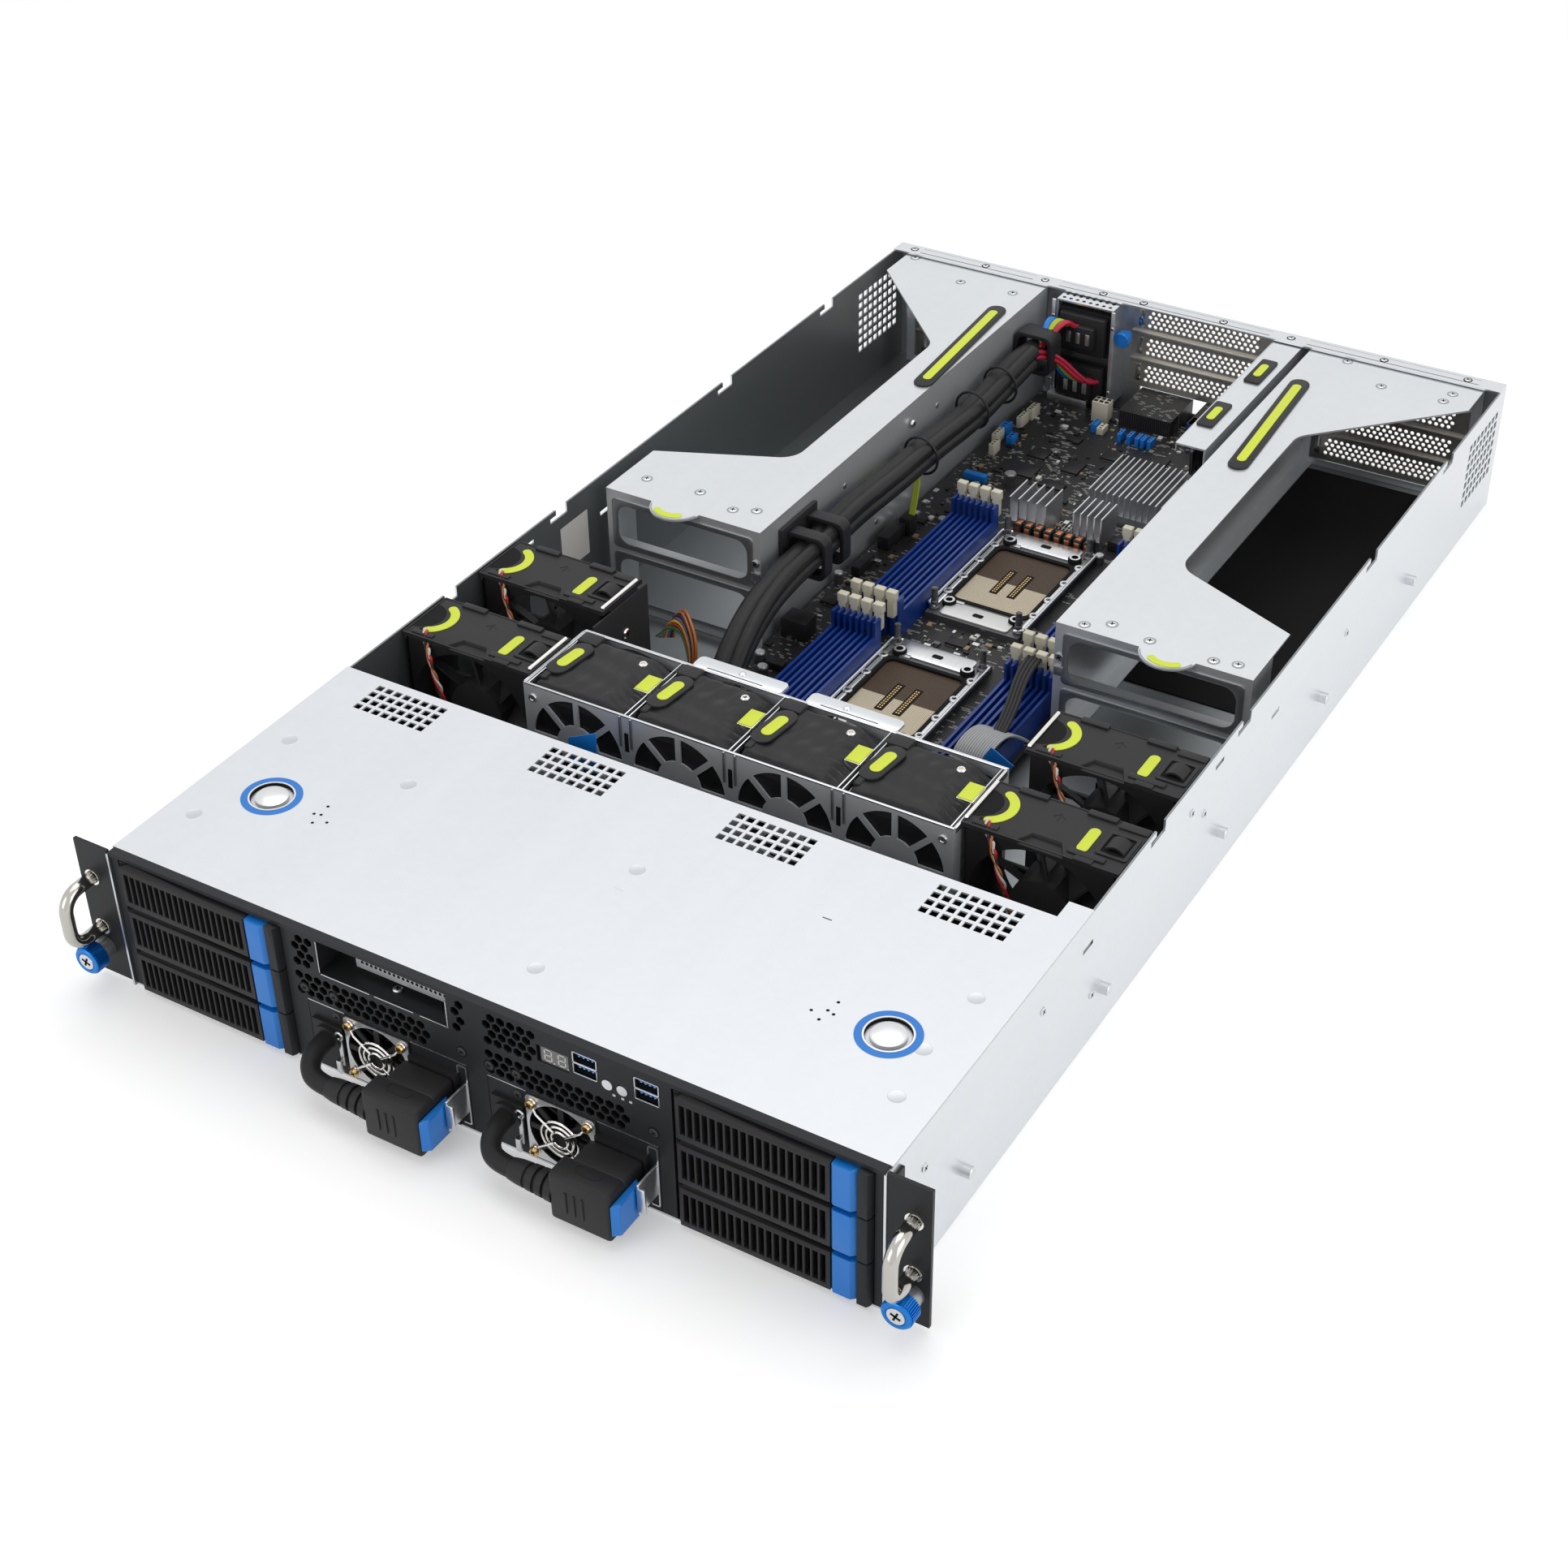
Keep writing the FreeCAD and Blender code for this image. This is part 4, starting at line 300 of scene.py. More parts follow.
@dataclass(frozen=True)
class Finish:
    """One surface finish, made a material on first use.

    Attributes:
        name: The material's name.
        colour: Base colour, linear.
        rough: Mean roughness.
        metal: Metallic share.
        pattern: The family of surface detail.
        scale: The detail's scale in cycles per metre.
        mottle: How far brightness and roughness swing.
        bump: Height of the detail in metres.
        second: The printed or pin colour of a two-colour pattern.
        coat: Clear coat weight.
        glow: Emission strength, a painted glow for a part that is no lamp.
    """

    name: str
    colour: Colour
    rough: float = 0.5
    metal: float = 0.0
    pattern: Pattern = Pattern.GRAIN
    scale: float = 900.0
    mottle: float = 0.12
    bump: float = 0.00002
    second: Colour = (0.5, 0.5, 0.5)
    coat: float = 0.0
    glow: float = 0.0

    def material(self) -> bpy.types.Material:
        """Return the finish's material, building it on first use."""
        if self.name in bpy.data.materials and bpy.data.materials[self.name].get("finish"):
            return bpy.data.materials[self.name]
        made = bpy.data.materials.new(self.name)
        made["finish"] = True
        made.use_nodes = True
        made.diffuse_color = (*self.colour, 1)
        tree = made.node_tree
        shader = tree.nodes["Principled BSDF"]
        detail = tree.nodes.new("ShaderNodeGroup")
        detail.node_tree = GROUPS.get(self.pattern)
        values = {"Color": (*self.colour, 1), "Rough": self.rough, "Scale": self.scale,
                  "Mottle": self.mottle, "Print": (*self.second, 1), "Pin": (*self.second, 1)}
        for label, value in values.items():
            if label in detail.inputs:
                detail.inputs[label].default_value = value
        tree.links.new(detail.outputs["Color"], shader.inputs["Base Color"])
        tree.links.new(detail.outputs["Roughness"], shader.inputs["Roughness"])
        bump = tree.nodes.new("ShaderNodeBump")
        bump.inputs["Strength"].default_value = 1.0
        bump.inputs["Distance"].default_value = self.bump
        tree.links.new(detail.outputs["Height"], bump.inputs["Height"])
        tree.links.new(bump.outputs["Normal"], shader.inputs["Normal"])
        shader.inputs["Metallic"].default_value = self.metal
        shader.inputs["Specular IOR Level"].default_value = (
            DARK_SPECULAR if max(self.colour) < DARK_COLOUR else PLAIN_SPECULAR)
        shader.inputs["Coat Weight"].default_value = self.coat
        # painted glow: emission in the part's own colour, though the part is no lamp
        if self.glow:
            tree.links.new(detail.outputs["Color"], shader.inputs["Emission Color"])
            shader.inputs["Emission Strength"].default_value = self.glow
        return made


ZINC = Finish("zinc_sheet", (0.70, 0.72, 0.745), 0.3, 0.85, Pattern.SHEET, 260, 0.05, 0.00001)
COVER_ZINC = Finish("cover_zinc_sheet", (0.70, 0.72, 0.75), 0.42, 0.5, Pattern.SHEET, 260, 0.045, 0.00001)
CAGE_ZINC = Finish("cage_zinc_sheet", (0.72, 0.74, 0.76), 0.32, 0.6, Pattern.SHEET, 260, 0.05, 0.00001)
ROD_STEEL = Finish("rod_steel", (0.50, 0.485, 0.45), 0.16, 1.0, Pattern.BRUSHED, 500, 0.05)
# painted shade: the zinc sheet made darker for the walls' inward faces and the floor inside the chassis
WALL_SHADE_ZINC = Finish("painted_wall_shade_zinc", (0.26, 0.275, 0.285), 0.34, 0.8, Pattern.SHEET, 260, 0.05, 0.00001)
# painted shade: the zinc sheet made darker for zinc parts that sit in shadow
SHADED_ZINC = Finish("painted_shade_zinc_sheet", (0.34, 0.355, 0.375), 0.34, 0.85, Pattern.SHEET, 260, 0.10, 0.00001)
WELD = Finish("spot_weld_dimple", (0.60, 0.62, 0.65), 0.3, 0.6, Pattern.SHEET, 500, 0.05, 0.00001)
VOID = Finish("unlit_opening", (0.004, 0.004, 0.004), 0.8, 0.0, Pattern.GRAIN, 400, 0.1)
DISPLAY = Finish("display_window", (0.13, 0.125, 0.125), 0.3, 0.0, Pattern.GRAIN, 900, 0.05, 0.000004,
                 coat=0.4)
DIGIT = Finish("display_segment", (0.62, 0.62, 0.60), 0.35, 0.0, Pattern.GRAIN, 900, 0.05)
RED = Finish("red_wire", (0.55, 0.012, 0.014), 0.38, 0.0, Pattern.GRAIN, 900, 0.1)
WHITE = Finish("white_wire", (0.72, 0.70, 0.66), 0.4, 0.0, Pattern.GRAIN, 900, 0.08)
ORANGE = Finish("orange_wire", (0.50, 0.15, 0.03), 0.4, 0.0, Pattern.GRAIN, 900, 0.1)
YELLOW = Finish("yellow_wire", (0.75, 0.55, 0.02), 0.4, 0.0, Pattern.GRAIN, 900, 0.1)
GREEN = Finish("green_wire", (0.02, 0.22, 0.05), 0.4, 0.0, Pattern.GRAIN, 900, 0.1)
VIOLET = Finish("violet_wire", (0.20, 0.10, 0.36), 0.4, 0.0, Pattern.GRAIN, 900, 0.1)
WHITE_METAL = Finish("pale_bracket_metal", (0.74, 0.74, 0.73), 0.35, 0.3, Pattern.BRUSHED, 500, 0.06,
                     0.00001)
YELLOW_GREEN = Finish("yellow_green_wire", (0.48, 0.56, 0.03), 0.4, 0.0, Pattern.GRAIN, 900, 0.1)
CRIMSON = Finish("crimson_wire", (0.50, 0.015, 0.05), 0.4, 0.0, Pattern.GRAIN, 900, 0.1)
CHIP = Finish("chip_package", (0.02, 0.02, 0.022), 0.42, 0.0, Pattern.GRAIN, 1200, 0.15)
TAN = Finish("tan_component", (0.30, 0.22, 0.13), 0.4, 0.0, Pattern.GRAIN, 1200, 0.15)
SOCKET_FRAME = Finish("socket_frame_metal", (0.13, 0.13, 0.135), 0.35, 0.6, Pattern.BRUSHED, 700, 0.12,
                      0.00001)
GREY = Finish("grey_ribbon", (0.42, 0.43, 0.44), 0.4, 0.0, Pattern.GRAIN, 900, 0.1)
LID = Finish("fan_lid_plastic", (0.026, 0.026, 0.028), 0.5, 0.0, Pattern.GRAIN, 700, 0.1, 0.00002)
NICKEL = Finish("nickel_sheet", (0.60, 0.575, 0.53), 0.34, 0.85, Pattern.BRUSHED, 420, 0.12, 0.00001)
STEEL = Finish("bright_steel", (0.66, 0.67, 0.68), 0.3, 0.95, Pattern.BRUSHED, 600, 0.14, 0.00001)
CHROME = Finish("chrome_rod", (0.82, 0.80, 0.77), 0.12, 1.0, Pattern.BRUSHED, 300, 0.05, 0.000004)
ALUMINIUM = Finish("fin_aluminium", (0.62, 0.63, 0.65), 0.36, 0.9, Pattern.BRUSHED, 700, 0.12, 0.00001)
DOMED = Finish("domed_button_metal", (0.70, 0.71, 0.72), 0.3, 0.9, Pattern.BRUSHED, 250, 0.05, 0.000006)
BRASS = Finish("brass_screw", (0.72, 0.50, 0.22), 0.3, 1.0, Pattern.BRUSHED, 700, 0.1, 0.00001)
COPPER = Finish("copper_winding", (0.55, 0.20, 0.09), 0.35, 0.9, Pattern.BRUSHED, 900, 0.2, 0.00002)
BLACK_COAT = Finish("black_powder_coat", (0.018, 0.019, 0.021), 0.46, 0.0, Pattern.GRAIN, 1500, 0.15,
                    0.00003)
BLACK_PLASTIC = Finish("black_moulded_plastic", (0.022, 0.022, 0.024), 0.45, 0.0, Pattern.GRAIN, 1200, 0.12,
                       0.00002)
DARK_PLASTIC = Finish("dark_grey_plastic", (0.045, 0.045, 0.048), 0.42, 0.0, Pattern.GRAIN, 900, 0.15,
                      0.00002)
FOAM = Finish("black_foam_wrap", (0.016, 0.016, 0.018), 0.36, 0.0, Pattern.SLEEVE, 55, 0.3, 0.0012)
RUBBER = Finish("cord_jacket", (0.017, 0.017, 0.018), 0.5, 0.0, Pattern.GRAIN, 1500, 0.15, 0.00003)
PLUG = Finish("plug_rubber", (0.024, 0.024, 0.026), 0.48, 0.0, Pattern.GRAIN, 1300, 0.12, 0.00003)
SLEEVE = Finish("cable_sleeve", (0.016, 0.016, 0.017), 0.38, 0.0, Pattern.SLEEVE, 160, 0.25, 0.0005)
BLUE = Finish("blue_moulded_plastic", (0.010, 0.21, 0.70), 0.38, 0.0, Pattern.GRAIN, 900, 0.08, 0.00001)
BLUE_METAL = Finish("blue_anodised_head", (0.01, 0.20, 0.62), 0.28, 0.75, Pattern.BRUSHED, 600, 0.1,
                    0.00001)
SLOT_BLUE = Finish("memory_slot_blue", (0.005, 0.042, 0.26), 0.34, 0.0, Pattern.GRAIN, 900, 0.15, 0.00001)
IVORY = Finish("ivory_plastic", (0.72, 0.68, 0.54), 0.42, 0.0, Pattern.GRAIN, 700, 0.08, 0.00001)
# painted glow: the touch pads give off a little light of their own though they are no lamps
NEON = Finish("neon_touch_pad", (0.64, 0.74, 0.045), 0.5, 0.0, Pattern.GRAIN, 600, 0.06, 0.00001, glow=0.12)
BOARD = Finish("board_mask", (0.014, 0.014, 0.016), 0.38, 0.0, Pattern.BOARD, 260, bump=0.00003,
               second=(0.42, 0.42, 0.40))
PIN_GOLD = Finish("gold_contact_field", (0.442, 0.365, 0.246), 0.4, 0.2, Pattern.CONTACTS, 900, bump=0.0001,
                  second=(0.84, 0.76, 0.60))
PIN_BROWN = Finish("brown_contact_field", (0.030, 0.018, 0.011), 0.4, 0.0, Pattern.CONTACTS, 900,
                   bump=0.0001, second=(0.17, 0.115, 0.075))
ROTOR = Finish("rotor_plastic", (0.05, 0.05, 0.052), 0.4, 0.0, Pattern.GRAIN, 900, 0.12, 0.00002)


# ------------------------------------------------------------------ mesh helpers


Span = tuple[float, float]
Outline = list[tuple[float, float]]
TO_FRAME = Matrix.Translation((0, FRONT, 0)) @ Matrix.Scale(MM, 4)
UP, OUT = Vector((0, 0, 1)), Vector((0, -1, 0))


def facing(axis: Point) -> Matrix:
    """Return the turn that takes the Z axis to another axis."""
    return Vector(axis).to_track_quat("Z", "Y").to_matrix().to_4x4()


def arc(u: float, v: float, radius: float, start: float, end: float, steps: int = 8) -> Outline:
    """Return points along an arc whose angles are in degrees."""
    angles = [math.radians(start + (end - start) * step / steps) for step in range(steps + 1)]
    return [(u + radius * math.cos(angle), v + radius * math.sin(angle)) for angle in angles]


def stadium(u: float, v: float, length: float, width: float, angle: float = 90.0) -> Outline:
    """Return the outline of a bar with round ends, its long side at an angle in degrees."""
    half, turn = (length - width) / 2, math.radians(angle)
    du, dv = half * math.cos(turn), half * math.sin(turn)
    return (arc(u + du, v + dv, width / 2, angle - 90, angle + 90)
            + arc(u - du, v - dv, width / 2, angle + 90, angle + 270))


def banana(u: float, v: float, radius: float, width: float, start: float, end: float) -> Outline:
    """Return the outline of an arc-shaped band with round ends."""
    head, = arc(u, v, radius, end, end, 1)[:1]
    tail, = arc(u, v, radius, start, start, 1)[:1]
    return (arc(u, v, radius + width / 2, start, end, 14) + arc(*head, width / 2, end, end + 180, 5)[1:-1]
            + arc(u, v, radius - width / 2, end, start, 14)
            + arc(*tail, width / 2, start + 180, start + 360, 5)[1:-1])


def rounded(u: Span, v: Span, radius: float, steps: int = 7) -> Outline:
    """Return a rectangle's outline with rounded corners."""
    points: Outline = []
    corners = ((u[1] - radius, v[1] - radius), (u[0] + radius, v[1] - radius),
               (u[0] + radius, v[0] + radius), (u[1] - radius, v[0] + radius))
    for number, corner in enumerate(corners):
        points += arc(*corner, radius, 90 * number, 90 * number + 90, steps)
    return points


def round_hole(u: float, v: float, radius: float, steps: int = 7) -> Outline:
    """Return a circle with as many points as a rounded rectangle."""
    points: Outline = []
    for number in range(4):
        points += arc(u, v, radius, 90 * number + 5, 90 * number + 85, steps)
    return points


@dataclass
class Builder:
    """Collects bmesh geometry in several finishes and turns it into one piece.

    Geometry is in millimetres: X from the middle, Y back from the front plane, Z from the underside.

    Attributes:
        name: The piece's name.
        finishes: Its finishes, in material order.
        body: The CAD body it rides on.
        slot: The record's material slot; not used.
    """

    name: str
    finishes: list[Finish]
    body: str = "root"
    slot: str = ""
    mesh: bmesh.types.BMesh = field(default_factory=bmesh.new)

    def close_off(self, before: set, finish: Finish | None, smooth: bool = False, bevel: float = 0.0,
               segments: int = 2) -> list:
        """Close off the faces made since a snapshot: turn them outwards, bevel, colour and shade them.

        Args:
            before: The faces that were there already.
            finish: The new faces' finish, or nothing for the builder's first.
            smooth: Whether they are shaded smooth.
            bevel: Edge radius.
            segments: Steps across the edge radius.

        Returns:
            The faces added.
        """
        fresh = [face for face in self.mesh.faces if face not in before]
        bmesh.ops.recalc_face_normals(self.mesh, faces=fresh)
        if bevel:
            edges = list({edge for face in fresh for edge in face.edges})
            sharp = [edge for edge in edges if len(edge.link_faces) == 2
                     and edge.calc_face_angle() > BEVEL_ANGLE]
            bmesh.ops.bevel(self.mesh, geom=sharp, offset=bevel, segments=segments, affect="EDGES",
                            profile=0.5, material=-1, clamp_overlap=True)
            fresh = [face for face in self.mesh.faces if face not in before]
        index = self.finishes.index(finish) if finish else 0
        for face in fresh:
            face.material_index = index
            face.smooth = smooth
        return fresh

    def bar(self, centre: Point, size: Point, finish: Finish | None = None, bevel: float = 0.0,
            segments: int = 2, turn: Matrix | None = None) -> list:
        """Add a block about its middle, bevelled and perhaps turned, and return its faces."""
        before = set(self.mesh.faces)
        place = Matrix.Translation(Vector(centre)) @ (turn or Matrix.Identity(4))
        bmesh.ops.create_cube(self.mesh, size=1.0, matrix=place @ Matrix.Diagonal((*size, 1.0)))
        return self.close_off(before, finish, False, bevel, segments)

    def block(self, x: Span, y: Span, z: Span, finish: Finish | None = None, bevel: float = 0.0,
              segments: int = 2) -> list:
        """Add a block between three spans and return its faces."""
        spans = [(min(span), max(span)) for span in (x, y, z)]
        return self.bar([sum(span) / 2 for span in spans], [high - low for low, high in spans], finish,
                        bevel, segments)

    def lathe(self, centre: Point, axis: Point, profile: Sequence[Span], finish: Finish | None = None,
              sides: int = 24, smooth: bool = True) -> list:
        """Spin a profile about an axis.

        Args:
            centre: The axis's starting point.
            axis: The axis.
            profile: Radius and rise of each step, closed where it starts and ends on the axis.
            finish: Its finish, or nothing for the builder's first.
            sides: Steps round it.
            smooth: Whether it is shaded smooth.

        Returns:
            The faces added.
        """
        before = set(self.mesh.faces)
        turn = Matrix.Translation(Vector(centre)) @ facing(axis)
        verts = [self.mesh.verts.new(turn @ Vector((radius, 0, rise))) for radius, rise in profile]
        edges = [self.mesh.edges.new(pair) for pair in zip(verts, verts[1:])]
        bmesh.ops.spin(self.mesh, geom=verts + edges, cent=Vector(centre), axis=Vector(axis),
                       angle=math.tau, steps=sides, use_merge=True, use_duplicate=False)
        corners = {vert for face in self.mesh.faces if face not in before for vert in face.verts}
        bmesh.ops.remove_doubles(self.mesh, verts=list(corners), dist=SPUN_MERGE)
        return self.close_off(before, finish, smooth)

    def rod(self, start: Point, end: Point, radius: float, finish: Finish | None = None, sides: int = 16,
            end_radius: float | None = None) -> list:
        """Add a closed cylinder or cone frustum between two points and return its faces."""
        along = Vector(end) - Vector(start)
        last = radius if end_radius is None else end_radius
        return self.lathe(start, along, [(0, 0), (radius, 0), (last, along.length), (0, along.length)],
                          finish, sides)

    def dome(self, centre: Point, axis: Point, radius: float, height: float, finish: Finish | None = None,
             sides: int = 32) -> list:
        """Add a closed elliptical dome and return its faces."""
        profile = [(0.0, 0.0)] + [(radius * math.cos(step * math.pi / 14),
                                   height * math.sin(step * math.pi / 14)) for step in range(8)]
        return self.lathe(centre, axis, profile, finish, sides)

    def ring(self, centre: Point, axis: Point, outer: float, inner: float, depth: float,
             finish: Finish | None = None, sides: int = 32) -> list:
        """Add a flat ring of rectangular section and return its faces."""
        profile = [(inner, 0), (outer, 0), (outer, depth), (inner, depth), (inner, 0)]
        return self.lathe(centre, axis, profile, finish, sides)

    def torus(self, centre: Point, axis: Point, radius: float, wire: float, finish: Finish | None = None,
              sides: int = 36) -> list:
        """Add a ring of round wire and return its faces."""
        profile = arc(radius, 0, wire, 0, 360, 8)
        return self.lathe(centre, axis, profile, finish, sides)

    def screw(self, centre: Point, axis: Point, radius: float, height: float, finish: Finish,
              dark: Finish, spin: float = 0.6) -> None:
        """Add a screw head with a cross recess.

        Args:
            centre: Middle of its underside.
            axis: Direction it faces.
            radius: Its radius.
            height: Its height.
            finish: The head's finish.
            dark: The recess's finish.
            spin: Turn of the cross in radians.
        """
        self.lathe(centre, axis, [(0, 0), (radius, 0), (radius, height * 0.5), (radius * 0.78, height),
                                  (0, height)], finish, 20)
        top = Vector(centre) + Vector(axis).normalized() * height
        for angle in (spin, spin + math.pi / 2):
            self.bar(top, (radius * 1.2, radius * 0.27, 0.12), dark,
                     turn=facing(axis) @ Matrix.Rotation(angle, 4, "Z"))

    def _lift(self, outline: Outline, level: float, axis: str) -> list:
        """Place a flat outline at a level along an axis and return its corners."""
        order = {"x": lambda u, v: (level, u, v), "y": lambda u, v: (u, level, v),
                 "z": lambda u, v: (u, v, level)}[axis]
        return [self.mesh.verts.new(order(u, v)) for u, v in outline]

    def _thicken(self, faces: list, thick: float, axis: str) -> None:
        """Extrude flat faces into a plate along an axis."""
        made = bmesh.ops.extrude_face_region(self.mesh, geom=faces)
        moved = [item for item in made["geom"] if isinstance(item, bmesh.types.BMVert)]
        shift = Vector([thick if name == axis else 0.0 for name in "xyz"])
        bmesh.ops.translate(self.mesh, verts=moved, vec=shift)

    def plate(self, outline: Outline, level: float, thick: float, finish: Finish | None = None,
              bevel: float = 0.0, axis: str = "z", smooth: bool = False) -> list:
        """Add a flat plate.

        Args:
            outline: Its corners across the axis.
            level: Where it starts along the axis.
            thick: Its thickness along the axis.
            finish: Its finish, or nothing for the builder's first.
            bevel: Edge radius.
            axis: The axis that it lies across.
            smooth: Whether it is shaded smooth.

        Returns:
            The faces added.
        """
        before = set(self.mesh.faces)
        self._thicken([self.mesh.faces.new(self._lift(outline, level, axis))], thick, axis)
        return self.close_off(before, finish, smooth, bevel)

    def pierced(self, outer: Outline, inner: Outline, level: float, thick: float,
                finish: Finish | None = None, axis: str = "z", bevel: float = 0.0) -> list:
        """Add a plate with one opening; both outlines have as many corners."""
        before = set(self.mesh.faces)
        loops = []
        for outline in (outer, inner):
            verts = self._lift(outline, level, axis)
            loops += [self.mesh.edges.new((verts[number - 1], verts[number]))
                      for number in range(len(verts))]
        made = bmesh.ops.bridge_loops(self.mesh, edges=loops)
        self._thicken(made["faces"], thick, axis)
        return self.close_off(before, finish, False, bevel)

    def make(self, replaces: Iterable[str] = ()) -> bpy.types.Object:
        """Turn the collected geometry into a piece in the row frame that rides on its body.

        Args:
            replaces: CAD nodes that the piece stands for.

        Returns:
            The finished object.
        """
        return settle(self.loose(), self.body, replaces)

    def loose(self) -> bpy.types.Object:
        """Turn the collected geometry into an object that rides on nothing yet."""
        self.mesh.transform(TO_FRAME)
        data = bpy.data.meshes.new(self.name)
        self.mesh.to_mesh(data)
        self.mesh.free()
        data.set_sharp_from_angle(angle=SHARP_ANGLE)
        for finish in self.finishes:
            data.materials.append(finish.material())
        piece = bpy.data.objects.new(self.name, data)
        bpy.context.scene.collection.objects.link(piece)
        return piece


def settle(piece: bpy.types.Object, body: str,
           replaces: Iterable[str] = ()) -> bpy.types.Object:
    """Put a piece on its body and the CAD nodes it stands for.

    Args:
        piece: The piece.
        body: The CAD body's name.
        replaces: CAD nodes that the piece stands for.

    Returns:
        The same piece.
    """
    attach(piece, body)
    nodes = list(replaces)
    if nodes:
        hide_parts(*nodes)
    log.info("%s on %s", piece.name, body)
    return piece


def paint(node: str, finish: Finish) -> None:
    """Give a CAD node a finish, leaving its shape as it is."""
    for place in frame["nodes"][node].material_slots:
        place.material = finish.material()


def eased_copy(node: str, finishes: list[Finish], name: str, width: float = 0.3,
               shape: Callable[[bmesh.types.BMesh], None] | None = None) -> bpy.types.Object:
    """Stand a merged copy with eased edges in for a CAD node.

    Args:
        node: The CAD node.
        finishes: The copy's finishes; faces start in the first.
        name: The copy's name.
        width: Width of the eased edges in millimetres, or nothing.
        shape: A step that changes the merged mesh.

    Returns:
        The copy.
    """
    source = frame["nodes"][node]
    data = source.data.copy()
    data.materials.clear()
    for finish in finishes:
        data.materials.append(finish.material())
    work = bmesh.new()
    work.from_mesh(data)
    bmesh.ops.remove_doubles(work, verts=work.verts, dist=MERGE_DISTANCE)
    for face in work.faces:
        face.material_index = 0
        face.smooth = True
    if shape is not None:
        shape(work)
    work.to_mesh(data)
    work.free()
    data.set_sharp_from_angle(angle=SHARP_ANGLE)
    piece = bpy.data.objects.new(name, data)
    bpy.context.scene.collection.objects.link(piece)
    if width:
        ease = piece.modifiers.new("eased_edges", "BEVEL")
        ease.width = width * MM
        ease.segments = 2
        ease.limit_method = "ANGLE"
        ease.angle_limit = EASE_ANGLE
        ease.use_clamp_overlap = True
    return settle(piece, source["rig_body"], [node])


def carve(piece: bpy.types.Object, cutter: Builder) -> None:
    """Cut a cutter's solids out of a piece for good and remove the cutter."""
    tool = cutter.loose()
    cut = piece.modifiers.new("cut", "BOOLEAN")
    cut.operation, cut.solver, cut.object = "DIFFERENCE", "EXACT", tool
    graph = bpy.context.evaluated_depsgraph_get()
    data = bpy.data.meshes.new_from_object(piece.evaluated_get(graph))
    data.polygons.foreach_set("use_smooth", [False] * len(data.polygons))
    piece.modifiers.clear()
    piece.data = data
    bpy.data.objects.remove(tool)


def islands(node: str) -> list[list[Span]]:
    """Return the X, Y and Z spans of each loose solid of a CAD node, in millimetres from the front plane."""
    work = bmesh.new()
    work.from_mesh(frame["nodes"][node].data)
    bmesh.ops.remove_doubles(work, verts=work.verts, dist=MERGE_DISTANCE)
    left, found = set(work.verts), []
    while left:
        group, edge = set(), [left.pop()]
        while edge:
            vert = edge.pop()
            group.add(vert)
            fresh = {link.other_vert(vert) for link in vert.link_edges} & left
            left -= fresh
            edge += fresh
        places = [TO_FRAME.inverted() @ vert.co for vert in group]
        found.append([(min(place[axis] for place in places), max(place[axis] for place in places))
                      for axis in range(3)])
    work.free()
    return sorted(found)


def wire(name: str, routes: Sequence[Sequence[Point]], radius: float, finish: Finish, body: str = "root",
         slot: str = "", replaces: Iterable[str] = ()) -> bpy.types.Object:
    """Make smooth round wires, one open spline for each route.

    Args:
        name: The piece's name.
        routes: Each wire's control points in millimetres from the front plane.
        radius: The wires' radius in millimetres.
        finish: Their finish.
        body: The CAD body they ride on.
        slot: The record's material slot; not used.
        replaces: CAD nodes that the piece stands for.

    Returns:
        The curve object.
    """
    data = bpy.data.curves.new(name, "CURVE")
    data.dimensions = "3D"
    data.bevel_depth = radius * MM
    data.bevel_resolution = 4
    data.resolution_u = 8
    data.use_fill_caps = True
    for route in routes:
        spline = data.splines.new("NURBS")
        spline.points.add(len(route) - 1)
        for point, place in zip(spline.points, route):
            point.co = (*(TO_FRAME @ Vector(place)), 1.0)
        spline.order_u = 3
        spline.use_endpoint_u = True
    data.materials.append(finish.material())
    piece = bpy.data.objects.new(name, data)
    bpy.context.scene.collection.objects.link(piece)
    return settle(piece, body, replaces)


# ------------------------------------------------------------------ studio


